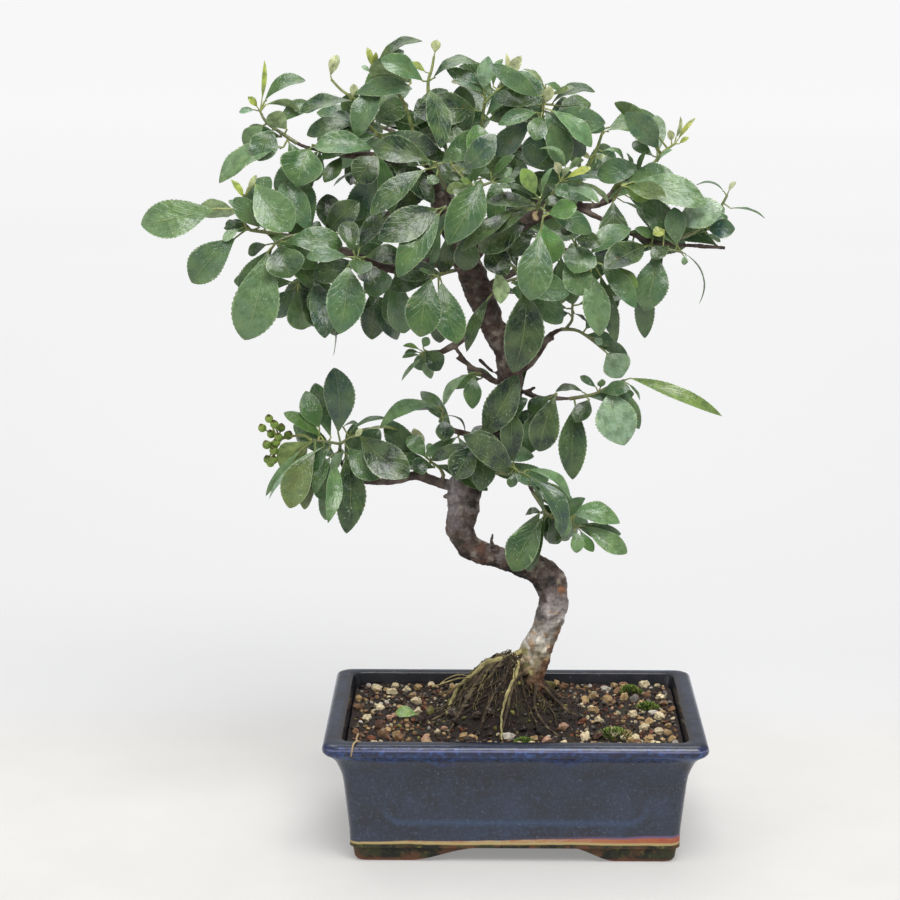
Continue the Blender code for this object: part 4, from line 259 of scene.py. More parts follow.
     (-30.5, 275, -33, 257, 8, 10, 5), (-34, 275, -39, 258, 4.2, 30, 0)]),
    ("spray_cut_limb", "bright", "fpdkkkbkbe", [(6, 282.5, -28), (8.4, 284.6, -31)], [[(9.2, 286.4, -33),
     (9.9, 288.6, -36), (10.2, 291.2, -39)], [(9.4, 286.8, -33.6), (12.4, 285.4, -36),
     (11.6, 281.6, -39)]], [(8.4, 292.4, 2.2, 304, 7, 5, -4), (11, 292.6, 15.5, 304.5, 3.2, 40, -2),
     (7.6, 290.8, -11.5, 295, 5, 60, -3, 0.14), (7.4, 288.2, -14, 289, 8, 35, -5),
     (0, 286.4, -25, 267, 7, 30, -9), (5, 285.4, -12, 274.5, 7.5, 25, -5),
     (14, 283.8, 26.8, 287, 8.6, 12, -4), (12.4, 288, 18.4, 290.6, 4.4, 20, 2),
     (11.4, 279.6, 16, 261.5, 13.5, 5, -2), (10.4, 275, 6.5, 245.3, 15.5, 6, -12)]),
    ("spray_knot_right", "pale", "yccpmumsp", [(10, 282, 10), (12, 288, -12)], [[(13.6, 290, -18),
     (17, 294.4, -23), (19.5, 298.6, -27)]], [(21.6, 299.6, 32.8, 304.2, 3.8, 40, -4),
     (20.2, 300.4, 23.4, 304.6, 2.8, 20, -3), (18.6, 301, 17, 306.8, 4, 20, -1),
     (21.6, 303, 9.5, 312.7, 5.2, 60, 3, 0.26), (22.6, 303, 29.5, 307.8, 5, 130, 4),
     (22, 298.6, 37.5, 299.5, 5, 65, 5), (17, 296.4, 23.3, 292, 6.6, 15, -5),
     (21, 295.4, 36.8, 289, 7, 50, 2), (28, 298, 41, 289, 4.6, 120, 10)]),
    ("spray_right_low", "mid", "ppkkpdefk", [(18, 266.6, -15.5), (25, 268.6, -18)], [[(26.6, 268.4, -19),
     (30, 266, -21), (34, 262.4, -23)]], [(22, 264.6, 29.7, 247.5, 13, 10, -8),
     (30.4, 270, 25.5, 257.6, 15, 10, -9), (26, 273, 37, 269.6, 8, 15, -10),
     (24, 274.5, 21.5, 281.5, 8, 20, -13), (33, 257.5, 37.5, 229.3, 12, 5, -5),
     (37.4, 256.5, 45, 226, 8, 20, 4), (37.6, 261.6, 53.5, 242, 9, 10, -7),
     (42, 260.6, 54, 251, 6, 30, -1), (28, 274, 32.8, 274.6, 3.6, 50, 8)]),
    ("spray_front_middle", "mid", "mmkp", [(-23, 260, -4), (-27.4, 258.6, -16)], [[(-28.6, 258.4, -21),
     (-31.6, 257.4, -27), (-35, 256, -33)]], [(-38, 255, -43, 228.7, 16, 5, -9),
     (-33.4, 253.6, -26, 225.7, 13.5, 6, -9), (-34.6, 250, -34, 226, 10, 10, 6),
     (-38.6, 257, -43.4, 259.6, 2.6, 40, -2)]),
    ("spray_trunk_cover", "dark", "kkpkkk", [(-3, 257, -8), (-1.6, 258.6, -14)], [[(-1, 259, -17),
     (2.4, 256.6, -19), (4.8, 252.6, -21)], [(1.5, 257.2, -18.5), (-3, 262, -21.5), (-9, 266.8, -21),
     (-13, 271.5, -20)], [(3.0, 255.7, -19.5), (-5, 253.4, -22), (-11, 248, -20)]],
     [(4.4, 250.4, -1, 212.5, 17.5, 6, -5), (-12.6, 246, -22.5, 222, 6, 20, -4),
     (-9, 258.4, -7, 243.7, 8, 150, -4), (-13, 269.6, -4, 256.5, 12, 8, -6), (-4, 265, 6, 272, 9, 20, -2),
     (-6.4, 250, -0.8, 248.4, 2.8, 30, -3)]),
    ("spray_twig_left", "dark", "fdpdssp", [(-27, 225.4, -5), (-33.5, 221.8, -6)], [[(-36.2, 221.2, -6.5),
     (-41, 221.4, -8)]], [(-43, 222.8, -50.5, 224.8, 2.8, 40, -1), (-43.4, 221.6, -50, 221.5, 2.8, 40, 2),
     (-43, 220.4, -51, 219.2, 2.8, 40, -3), (-40.5, 222.6, -34, 213.5, 9, 10, -6),
     (-40.6, 218.6, -38, 209.7, 5.2, 10, -3), (-42.4, 219, -51.8, 208.7, 3.4, 50, 1),
     (-41.6, 224, -39, 228.4, 4.2, 10, -2)]),
    ("spray_twig_middle", "bright", "sm", [(-11, 209.6, -6), (-15, 211.4, -8)], [[(-16.4, 212, -9),
     (-19, 212.4, -10.5)]], [(-21, 212, -32.5, 198, 6, 45, -2, 0.16),
     (-18.8, 210.6, -19.5, 196, 8.2, 8, -5)]),
    ("spray_left_arching", "bright", "pkmkk", [(-30, 187, -8), (-33.6, 188.6, -8)],
     [[(-33.8, 190.4, -8.4), (-33.2, 192.8, -9), (-32.4, 195.4, -9.6)]],
     [(-34, 197, -61.5, 187, 8, 45, -3, 0.27), (-35.4, 195, -51, 193, 4.6, 60, 1, 0.16),
     (-35.6, 197, -53, 197.4, 4, 50, 8, 0.12), (-32.6, 191, -32, 181, 8.6, 10, -4),
     (-31, 193, -22.6, 185.2, 2.6, 75, -3, 0.24)]),
    ("spray_trunk_middle", "dark", "kdkk", [(-10, 176, -5), (-13.4, 178, -8)], [[(-14, 178.8, -9.6),
     (-15.4, 180.2, -13)]], [(-18, 179, -27.5, 164, 13, 8, -5), (-14.6, 177.8, -16, 158.2, 11, 8, -6),
     (-14.6, 183, 1, 211.5, 14.5, 8, -3), (-18, 180.6, -38.5, 173, 6.6, 25, 1)]),
    ("spray_lower_knot", "mid", "kdcdepus", [(-7, 172, -6.5), (-4.6, 171.4, -8)], [[(-3.2, 171, -9.4),
     (-1, 169.6, -12), (1.6, 167, -14), (4, 166.6, -15)]], [(-0.9, 171.6, -1.8, 194.3, 10.5, 6, -3),
     (-2.6, 168.6, -9.8, 172.3, 4.5, 20, -2), (-3.4, 165.6, -10.5, 167.8, 2.8, 30, -3),
     (-0.3, 166, -2.2, 160, 5, 10, -3), (2.4, 165, 5.2, 161.7, 3.6, 30, -4),
     (5.4, 168.2, 25, 154, 6.6, 50, -1, 0.22), (5.6, 165.6, 22, 137, 10, 35, -7, 0.2),
     (6, 163, 13, 147.5, 3.4, 60, 3)]),
    ("spray_lower_right", "pale", "kmdppbpyp", [(4, 166, 1), (7.2, 159.5, -3)], [[(8.2, 157.4, -4),
     (12, 151.5, -6), (14.5, 148, -8), (20, 144.5, -8), (28.5, 141.9, -8)]],
     [(12, 148, 4.5, 147.5, 5.2, 55, 3, 0.2), (12.4, 146, -1, 121, 14.5, 8, -7),
     (16, 146, 18, 134, 8.6, 15, 5), (24.5, 148.4, 47.5, 143.5, 11, 30, 0, 0.14),
     (31.4, 142.4, 51, 129.7, 9, 15, -4), (29.6, 140, 35.7, 130.3, 5, 10, -3),
     (27.2, 140, 28, 129.6, 6.2, 10, -5), (26, 144, 25, 148.4, 3.2, 20, -3),
     (19, 152, 22.8, 137.2, 8, 20, -5)]),
    ("spray_lower_left_rosette", "dark", "ubbmmmcfspomomupdmky", [(-79, 172, 3), (-79.4, 175, 1)],
     [[(-79.4, 176.4, 0), (-79.2, 178.6, -2), (-79, 180.6, -5)], [(-79.1, 179.8, -4), (-85, 180.8, -5),
     (-91.5, 181.6, -6)], [(-79.1, 179.8, -4), (-76, 182, -4), (-72.4, 184, -4)]],
     [(-80, 185, -81.5, 214.7, 14, 5, -3), (-88.4, 187, -94.5, 204, 10, 8, 6),
     (-87.5, 183, -104.5, 194, 8.6, 35, 1), (-78.6, 189, -74, 197.8, 3.2, 30, 5),
     (-77.6, 187.8, -70, 188.5, 3, 60, 4, 0.2), (-74.6, 185.2, -57.3, 192, 4.2, 60, -2, 0.12),
     (-72.6, 183.2, -69, 186.6, 3, 20, -3), (-93.6, 180.6, -105.5, 167.5, 13, 160, 9),
     (-86, 178.8, -112.8, 155, 4.6, 60, -3, 0.08), (-97, 177, -113, 155.5, 4.6, 40, 8),
     (-90.6, 176, -102.5, 150, 14, 15, -9), (-84, 177.6, -96, 165.5, 9, 20, -1),
     (-87.5, 173.5, -95.5, 149.5, 8, 20, 2), (-83.4, 174.2, -91, 156.5, 6, 30, -15),
     (-77.6, 176.4, -83.5, 167, 5.6, 150, -9), (-82.2, 172, -84.7, 143.5, 7.6, 15, -26),
     (-76, 175, -76.5, 138.3, 13.5, 4, -9), (-75.6, 178, -61.5, 163.8, 12, 8, -9),
     (-70, 183.4, -48.5, 164.8, 16, 8, -14), (-68, 186.4, -52, 186.4, 3, 60, 3)]),
    ("spray_lower_left_inner", "dark", "pdsc", [(-33, 161.6, -1), (-32.7, 164.4, -3)],
     [[(-32.6, 165.6, -4), (-34, 168.6, -5), (-38, 171.6, -6)]], [(-40.6, 173.8, -49, 183, 8, 20, 1),
     (-39.4, 171.4, -46, 168, 8, 10, -4), (-38.8, 174.4, -38.7, 180.4, 4.6, 20, 3),
     (-42, 176, -46, 187, 6, 20, 8)]),
    ("spray_right_long_leaf", "bright", "kedkspfp", [(16, 201, -2), (22, 200.8, -1.5)],
     [[(24.6, 200.9, -1.5), (30, 201.8, -2), (36, 203.2, -2), (41, 206, -4), (48.5, 209.4, -5)]],
     [(30.5, 203.6, 17.8, 204.5, 5.6, 55, 1, 0.2), (36, 206, 28.8, 211.2, 3.8, 20, 3),
     (26.8, 197.6, 26, 163.6, 12.8, 8, -5), (33, 200.4, 27, 190, 8.6, 15, -9),
     (42.2, 204.4, 49, 179.5, 18.4, 6, -7), (38, 206, 38.6, 209.8, 4, 20, -3),
     (51.5, 210.2, 92.8, 192.8, 7, 24, -4, 0.14), (50.5, 207.6, 56, 200, 3, 60, 5)]),
    ("spray_right_twig", "pale", "ssfuk", [(16, 230.2, 2), (19, 231.8, 3)], [[(20.6, 232.3, 3),
     (24, 232.3, 2), (28, 231.5, 1), (33.5, 227.8, 0), (39.5, 222.8, -1)], [(22, 232.3, 2.6),
     (25, 236.4, 2), (25, 241, 1), (25.4, 247.6, -1)]], [(40.6, 221.6, 47.5, 210.5, 13.5, 20, -2),
     (35, 228.4, 38.4, 225.4, 3.6, 20, -3), (23.6, 246.6, 12, 245.5, 6, 15, -3),
     (23.4, 239.6, 12, 236.5, 7.6, 15, -2), (26, 239.4, 31.4, 236, 2.8, 60, 2)]),
    ("spray_right_drooping", "dark", "k", [(14, 201.2, -2.4), (17.2, 202.3, -5)], [[(18, 202.7, -7),
     (18.2, 203.2, -10)]], [(17.6, 202, 10.5, 176.5, 13.5, 6, -3)]),
]

# Sprays at the back of the crown: name, foot of the stem and its end as seen, and how much further each
# leaf leans back than its place round the stem asks for (None where there is no room for the leaf)
BACK_SPRAYS = [
    ("back_spray_left", (-50, 286.5, 36), (-73, 298, 46), (0, 0, 0, 0, 0, 0, -12, 0, 0)),
    ("back_spray_left_low", (-54, 287.5, 42), (-66, 274, 60), (0, 0, 0, 0, 0, 0, 0, 4, 0)),
    ("back_spray_middle", (-27, 303.6, 40), (-18, 299, 68), (0, 0, 0, 0, 0, 0, 0, None, 0)),
    ("back_spray_top", (-30, 302.4, 28), (-33, 325, 44), (0, 0, 0, 0, 0, 0, 0, 0, 0)),
    ("back_spray_right", (4, 286.4, 38), (26, 299, 54), (0, 0, 0, 0, 4, 0, -4, 0, 0)),
    ("back_spray_right_low", (8, 287.2, 43), (10, 271, 64), (0, 0, 0, -4, 0, -4, 0, -4, 0)),
    ("back_spray_top_left", (-54, 319.6, 29), (-68, 326, 44), (28, 0, 0, 0, 0, 0, 0, 0, 0)),
    ("back_spray_top_right", (4, 321.2, 33), (14, 326, 46), (0, 0, 0, 0, 0, -4, 0, 0, 0)),
]
BACK_LETTERS = "kddkmdkdd"

# Places where the background shows through the crown: x, z as seen and radius
CROWN_GAPS = [
    (-67, 283, 3.5), (-54, 282, 5.0), (-83, 272, 3.0), (-88, 290, 2.5), (-81, 295, 6.0), (-79, 259, 2.5),
    (-57, 259, 2.5), (-91, 257, 3.0), (-62, 243, 3.5), (-8, 242, 2.0), (32, 282, 5.0), (34, 293, 3.0),
    (52, 285, 4.0), (12, 305, 2.0), (19, 310, 2.5), (30, 312, 3.5), (26, 241, 5.0), (39, 258, 2.5),
    (-70, 292, 3.0),
]
CROWN_LOW = (-96.0, 252.0)
CROWN_HIGH = (50.0, 345.0)

# Unripe berries: centres as seen, x and z
BERRIES = [
    (-111.1, 191.3), (-114.2, 187.0), (-108.7, 188.7), (-110.2, 184.3), (-107.0, 182.9), (-102.5, 183.7),
    (-112.3, 179.3), (-109.4, 178.9), (-109.1, 176.6), (-112.0, 172.6), (-109.3, 172.4), (-105.7, 187.2),
    (-107.9, 180.4), (-110.7, 170.9),
]
BERRY_DEPTH = 1.0
BERRY_STALK = [
    (-91.82, 181.64, -6.05), (-92.8, 181.9, -6.0), (-95, 183.6, -3), (-99.0, 183.6, 1),
    (-103.2, 182.6, 3), (-107.4, 181.4, 3),
]

# Crest of the heap of growing mix among the roots: places along the pot and heights. The heap runs out
# at some distance behind the crest's line and, further, before it.
HEAP = (
    (-42.0, 50.0), (-34.0, 54.0), (-29.0, 60.0), (-22.0, 71.5), (-13.0, 80.0), (-5.0, 84.0), (0.0, 84.0),
    (4.0, 75.0), (8.0, 66.5), (14.0, 62.5), (24.0, 58.0), (34.0, 50.0),
)
HEAP_LINE = -5.0
HEAP_BACK = 27.0
HEAP_FRONT = -34.0

# Leaves on short spurs inside the crown: for each limb's number or spray, each leaf's blade start and tip
# as seen, width, turn, lean and tone
SPUR_LEAVES = {
    0: [(-78.4, 268.5, -53, 262.7, 12, 30, 15, "d"), (-91.3, 274.8, -104.5, 297.2, 12, 13, 3, "e"),
        (-70.5, 261.9, -90.6, 255.9, 11.6, 12, -1, "d"), (-54.1, 255.7, -50, 230, 12, 2, 3, "e")],
    1: [(-55.9, 305.8, -36.8, 288.2, 12, 28, -9, "k"), (-85.1, 308.5, -99, 286.5, 9.4, 35, 3, "m")],
    2: [(-7.9, 312.6, 17.2, 305.5, 12, 33, 3, "m"), (-30.9, 311.9, -43.3, 334.7, 12, 4, 3, "d"),
        (-10.7, 311.6, -29.4, 293.6, 9.4, 6, 3, "m"), (-23.4, 314.4, -24.9, 340.3, 12, 15, 3, "e")],
    3: [(5.1, 280.9, -16.9, 267.1, 12, 6, -5, "k")],
    4: [(4.8, 279.6, 27.3, 292.6, 12, 3, 11, "m"), (6.7, 280.3, -16.6, 268.8, 9.4, 2, 11, "k"),
        (38.9, 289.4, 61.2, 302.7, 12, 38, 7, "e"), (5.3, 277.8, 31.3, 278.9, 12, 5, 7, "e"),
        (33.3, 289.4, 10.9, 302.5, 12, 8, 3, "e"), (14.7, 284.9, -6.3, 286.5, 9.7, 33, 3, "k")],
    5: [(50.2, 276.3, 75.4, 269.6, 12, 5, 3, "m"), (88.9, 270.1, 65.2, 280.9, 12, 2, 20, "e"),
        (51.5, 271.8, 32.9, 253.6, 12, 34, 3, "e"), (70.5, 272.2, 91.8, 287.1, 12, 21, 7, "e")],
    6: [(-30.4, 285.3, -41.4, 261.8, 9.4, 30, 7, "e")],
    7: [(19.9, 264.8, 13, 239.8, 12, 31, 3, "e"), (18.5, 263.2, 25.7, 243.5, 11.6, 18, -1, "e")],
    8: [(-45.8, 168.5, -58.6, 191.2, 12, 5, 3, "e"), (-81.1, 172.9, -98.9, 184.1, 9.7, 33, 11, "e"),
        (-75.2, 170.9, -60.9, 186.3, 11.6, 15, 3, "e"), (-77.2, 172.9, -72.6, 189.3, 7.8, 29, 3, "e"),
        (-80.2, 171.9, -100.1, 188.6, 9.4, 22, 7, "e"), (-76.8, 163.3, -86.4, 144.7, 9.7, 32, 3, "e")],
    9: [(15.9, 198.4, 4.7, 174.9, 12, 20, -1, "e")],
    10: [(5.6, 215.4, -4.3, 196.9, 9.7, 12, 15, "d"), (11.7, 225.8, -3.8, 211.7, 9.7, 16, 7, "k")],
    11: [(-31, 223.2, -46, 215.1, 7.8, 3, 3, "e")],
    12: [(-15.8, 209.8, -28.1, 205.6, 7.2, 34, 3, "b"), (-9.2, 209.6, -21.8, 213, 4.7, 21, 7, "e")],
    13: [(-29.2, 188.4, -42.6, 204.6, 7.6, 24, 11, "e"), (-26.1, 183.2, -40.6, 174.4, 6.1, 19, -1, "m"),
        (-16.3, 185.7, 4.8, 200.9, 9.4, 20, -5, "d"), (-25.8, 183.1, -14.5, 159.7, 9.4, 5, -5, "d")],
    14: [(-9.4, 171.7, 15.3, 163.4, 9.4, 4, 3, "e")],
    15: [(-4.5, 173.4, 8.4, 196, 12, 30, 3, "u"), (5.8, 164.7, 27.2, 149.9, 9.4, 8, -1, "e"),
        (-4.1, 172.4, -18.3, 187.9, 11.6, 17, 20, "k"), (4.5, 161.8, -17, 176.4, 9.4, 22, 20, "e")],
    18: [(-33.1, 300.4, -55, 286.4, 12, 6, 3, "k")],
    19: [(-40.4, 306.3, -31.6, 281.9, 12, 36, 20, "k"), (-57.6, 318.7, -79.3, 304.4, 12, 32, 3, "e")],
    "spray_centre_knot": [(-18.7, 297.4, -17.3, 323.4, 12, 30, 3, "b"),
        (-23.7, 303.5, -9.5, 319, 11.6, 6, -1, "u")],
    "spray_crown_right": [(12.2, 322.8, 38.2, 324.5, 12, 7, -1, "e"),
        (12.3, 329.4, 21.1, 304.9, 12, 11, -1, "e"), (9.4, 327.1, 2.5, 346.9, 11.6, 18, 11, "e"),
        (13.2, 326.8, 39, 324.1, 12, 7, -1, "e"), (9.5, 335.7, -12.6, 349.4, 9.4, 26, -9, "e"),
        (13.6, 328.7, 38.5, 321.1, 9.4, 18, 11, "e")],
    "spray_cut_limb": [(14.5, 284.4, 33.7, 275.8, 9.7, 13, 3, "e")],
    "spray_front_middle": [(-31.8, 257.5, -56.9, 250.7, 9.4, 28, 3, "d"),
        (-33.9, 257.5, -54.9, 257.5, 9.7, 3, 3, "k")],
    "spray_left_hanging": [(-103.2, 271.4, -77.2, 270.1, 12, 22, 3, "m"),
        (-108.6, 268.5, -122.1, 246.3, 12, 16, 3, "m")],
    "spray_left_heart": [(-63.4, 312.5, -89.4, 313.2, 12, 30, -5, "e"),
        (-60.4, 309.9, -55.4, 284.4, 9.4, 13, 3, "m")],
    "spray_left_inner": [(-79.7, 275, -59, 271.6, 9.7, 25, 3, "e"),
        (-85.1, 274.5, -70, 289, 11.6, 10, -5, "k")],
    "spray_left_low": [(-96.3, 251.1, -86.2, 232.6, 11.6, 7, -5, "k"),
        (-97.5, 255.7, -97.3, 281.7, 12, 30, 3, "m"), (-90, 254.3, -85.4, 228.7, 12, 14, -22, "u"),
        (-84.6, 259, -104, 241.7, 12, 9, 20, "k"), (-85.9, 257, -92.7, 231.9, 9.4, 20, 20, "e"),
        (-100, 253.3, -126, 253.6, 9.4, 12, 3, "e")],
    "spray_left_of_knot": [(-38.4, 307.3, -63.7, 313.2, 12, 12, 3, "k"),
        (-33.2, 306.3, -9.7, 317.5, 12, 19, -1, "m")],
    "spray_left_tip": [(-105.3, 272.9, -91, 251.1, 12, 36, 3, "m"),
        (-119.1, 281.6, -109.2, 300.1, 11.6, 32, 3, "e"), (-110.5, 274.4, -88.8, 260, 12, 12, 3, "m"),
        (-114.2, 277.7, -125, 290.8, 9.4, 9, -5, "e"), (-117.2, 276.4, -130.2, 277.6, 6, 27, 3, "e"),
        (-111.5, 276.9, -127.7, 290.3, 7.6, 37, 7, "e")],
    "spray_left_under": [(-64.9, 248.4, -64.5, 227.4, 11.6, 3, 3, "d"),
        (-66.7, 249.1, -85.1, 230.8, 12, 32, 15, "d")],
    "spray_lower_knot": [(-0.4, 168.8, -20.2, 185.6, 12, 13, -5, "k"),
        (-0.6, 168.5, -22.4, 182.7, 9.4, 7, -22, "k"), (-1.5, 169.4, -23.1, 183.9, 12, 10, -22, "k")],
    "spray_lower_left_inner": [(-35.6, 170.3, -12.4, 158.6, 9.4, 32, -5, "m"),
        (-36.4, 168.9, -57.1, 172.3, 7.6, 5, 3, "m")],
    "spray_lower_left_rosette": [(-90.7, 179.1, -86.1, 153.5, 12, 11, 11, "e"),
        (-83.3, 182.8, -90.1, 207.9, 9.4, 14, 11, "e")],
    "spray_lower_right": [(11.3, 154.7, 34, 142, 9.4, 35, 7, "e"),
        (13.6, 145.8, 5.7, 121, 9.4, 17, -1, "m"), (14.2, 148.7, 25, 135.5, 9.4, 10, 11, "e"),
        (27.6, 142.5, 48.2, 138.5, 7.6, 3, 3, "e"), (11.3, 148.5, -2.6, 126.5, 9.4, 18, -1, "d"),
        (21.6, 146.4, 31.2, 155.1, 7.2, 23, -9, "e"), (12.8, 149.5, 19.8, 134, 9.4, 9, 11, "e"),
        (12.4, 152.3, 28.6, 138.9, 11.6, 2, 20, "m")],
    "spray_right_drooping": [(16.1, 201.8, 5.5, 194.3, 7.2, 8, 3, "d")],
    "spray_right_hanging": [(71.9, 269.1, 57, 290.5, 12, 13, 3, "e"),
        (60.3, 268.3, 34.4, 266.1, 9.4, 36, 7, "u"), (71.6, 268.8, 53.3, 287.4, 12, 37, 11, "e"),
        (71.1, 270, 69.7, 286.9, 9.4, 4, -1, "e"), (65.2, 265.9, 56.9, 241.3, 9.4, 37, 11, "e")],
    "spray_right_long_leaf": [(32.2, 201.9, 53.2, 203.3, 7.6, 11, 3, "e"),
        (46.6, 205.8, 55.7, 186.9, 7.6, 2, -1, "e"), (38.2, 203.6, 51, 205.8, 7.2, 26, -5, "e")],
    "spray_right_low": [(33.1, 266.5, 50.7, 277.9, 11.6, 28, 7, "e")],
    "spray_right_tip": [(55.8, 304.4, 35.2, 300.5, 11.6, 13, 3, "e"),
        (61.8, 310.8, 61.5, 327.8, 7.8, 14, 15, "e"), (62, 305.8, 62.4, 288.8, 9.4, 30, 3, "e"),
        (48.3, 298.6, 69, 302, 11.6, 35, -9, "e"), (62.2, 312.7, 48.2, 328.3, 11.6, 7, -17, "e")],
    "spray_right_twig": [(31.8, 229.9, 44.2, 226.1, 7.2, 21, 3, "e"),
        (31.1, 232.4, 45.9, 247.3, 11.6, 12, 3, "e"), (25.1, 245.1, 24.7, 271.1, 12, 31, 3, "m"),
        (27.5, 243.3, 52.7, 249.7, 9.4, 37, 3, "e"), (35.4, 226.8, 50.3, 218.5, 6.1, 13, 7, "e"),
        (22.7, 241.6, -1.7, 250.7, 9.4, 7, 3, "e")],
    "spray_right_upper_tip": [(40.6, 322.1, 61.1, 326.6, 11.6, 33, 15, "e"),
        (28.1, 303.6, 14.6, 325.8, 12, 34, 3, "e")],
    "spray_top_left": [(-44.7, 318.7, -29.5, 297.6, 9.4, 19, -14, "d"),
        (-59.8, 341, -71.1, 317.6, 12, 26, -9, "e"), (-60.3, 348.2, -49.6, 355.6, 6, 16, 7, "e"),
        (-44.5, 322.6, -30.7, 338.5, 11.6, 28, 3, "m")],
    "spray_top_middle": [(-41.3, 342.2, -59.9, 352, 9.7, 23, -5, "e"),
        (-38.6, 338.6, -33.6, 313, 12, 27, -22, "d")],
    "spray_top_right_middle": [(-13.7, 326.9, 2.7, 347, 9.4, 25, 3, "e"),
        (-11.3, 339.2, -25.4, 348.8, 9.4, 17, 3, "e"), (-13.3, 337.3, -31.4, 347.8, 7.6, 26, -1, "e"),
        (-12.9, 325.5, 7.8, 329.3, 9.7, 14, 3, "d")],
    "spray_trunk_cover": [(-11.2, 272.1, -9.5, 298.1, 9.4, 21, 3, "m"),
        (-2.1, 253.1, 23.5, 248.6, 12, 14, -9, "e"), (0.2, 259.9, -6.8, 279.7, 11.6, 18, 20, "k"),
        (3.9, 254.8, 20.7, 235, 12, 14, 3, "e")],
    "spray_trunk_middle": [(-11.9, 178.6, 8.6, 174.2, 7.6, 3, 3, "e"),
        (-16, 177.4, -25.6, 158.8, 9.7, 3, 15, "k")],
    "spray_upper_left": [(-87.7, 311.5, -107.2, 294.3, 12, 9, 3, "e"),
        (-83.4, 313.9, -58.7, 322, 12, 33, 20, "m")],
    "spray_upper_left_tip": [(-105.9, 323.7, -91.6, 333.1, 7.8, 28, 7, "e"),
        (-100.7, 315.4, -93.8, 290.3, 12, 21, -5, "e"), (-103.9, 317.7, -120.9, 317, 9.4, 21, 11, "e")],
    "spray_upper_left_top": [(-67.8, 330.8, -55.3, 353.6, 9.4, 36, 11, "b"),
        (-59.8, 319, -35, 311.4, 12, 11, -17, "d"), (-71.9, 336.4, -46, 338.7, 9.4, 25, -5, "e"),
        (-69.1, 323.9, -88.7, 316.5, 7.6, 28, 3, "e")],
}

# Thin roots of the fan: points (x, z) as seen, depth at the trunk, first and last diameter
FAN_ROOTS = [
    ([(2.1, 82.4), (-7.2, 79.4), (-13.1, 77.3), (-19.5, 71.5), (-25.9, 65.5), (-29.2, 58.2),
     (-30.9, 53.3)], -4, 4.6, 2.2),
    ([(-19.4, 70.9), (-25.9, 70.1), (-30.6, 68.5), (-37.7, 66.3)], -10, 1.9, 1.2),
    ([(-21.8, 71.5), (-26.5, 72.1), (-31.2, 70.1), (-34.1, 67.6)], -9, 1.5, 0.9),
    ([(-20.7, 70.3), (-25.4, 66.9), (-30.6, 64.3), (-34.1, 62.4)], -10, 1.6, 1.0),
    ([(1.5, 78.2), (0.8, 72.7), (-1.6, 66.7), (-4.2, 60.0), (-5.7, 52.1), (-5.7, 40.8)], -9, 2.6, 1.2),
    ([(0.0, 75.1), (-0.4, 69.1), (-3.1, 64.3), (-4.6, 59.4)], -8, 1.8, 1.3),
    ([(-2.0, 76.3), (-5.4, 70.3), (-12.5, 66.1), (-18.9, 62.4), (-23.6, 57.6), (-28.3, 52.1)], -7, 2.0,
     1.1),
    ([(-3.1, 72.7), (-7.2, 64.3), (-16.5, 58.2), (-23.6, 53.3), (-29.5, 47.8)], -8, 1.6, 0.9),
    ([(-3.7, 65.5), (-8.3, 57.0), (-14.2, 49.6), (-20.0, 43.2)], -11, 1.3, 0.8),
    ([(2.7, 75.1), (3.4, 67.9), (9.2, 62.4), (14.0, 58.2), (19.9, 52.1)], -8, 1.8, 1.0),
    ([(4.5, 72.7), (9.2, 66.7), (16.3, 61.8), (23.4, 56.7), (28.1, 53.9)], -7, 1.9, 0.9),
    ([(3.3, 70.3), (4.6, 61.8), (7.9, 54.5), (10.5, 47.2)], -9, 1.5, 0.9),
    ([(1.0, 69.1), (0.5, 60.6), (-1.3, 53.3), (-2.4, 46.6)], -10, 1.4, 0.9),
    ([(-8.4, 75.1), (-11.9, 70.3), (-20.1, 65.5), (-26.5, 59.4), (-36.5, 53.3)], -7, 2.2, 1.0),
    ([(-4.9, 77.0), (-14.2, 72.7), (-22.4, 64.3), (-25.3, 57.0), (-27.1, 52.1)], -6, 2.4, 1.3),
    ([(10.3, 73.9), (11.8, 69.1), (16.9, 64.3), (20.4, 60.9)], -3, 2.6, 1.4),
    ([(8.0, 69.1), (14.0, 60.0), (18.1, 53.9), (19.3, 48.4)], -6, 1.5, 0.8),
    ([(-11.9, 62.4), (-16.5, 60.0), (-23.6, 56.4), (-29.2, 56.7)], -14, 1.2, 0.7),
]

# Bark from the ground up: height and colour
BARK_HEIGHTS = (
    (45, "#33241a"), (60, "#4b3324"), (69, "#6f4c36"), (75, "#8d7252"), (81, "#a89b80"), (87, "#b9b2a5"),
    (97, "#b3aca3"), (103, "#9a9290"), (110, "#807674"), (118, "#5a4c46"), (127, "#4d3c35"),
    (136, "#574840"), (148, "#6c625e"), (158, "#6e6562"), (168, "#5c4f4a"), (180, "#50423c"),
    (205, "#4e403a"), (240, "#52413a"), (275, "#4c3e36"), (315, "#504236"),
)

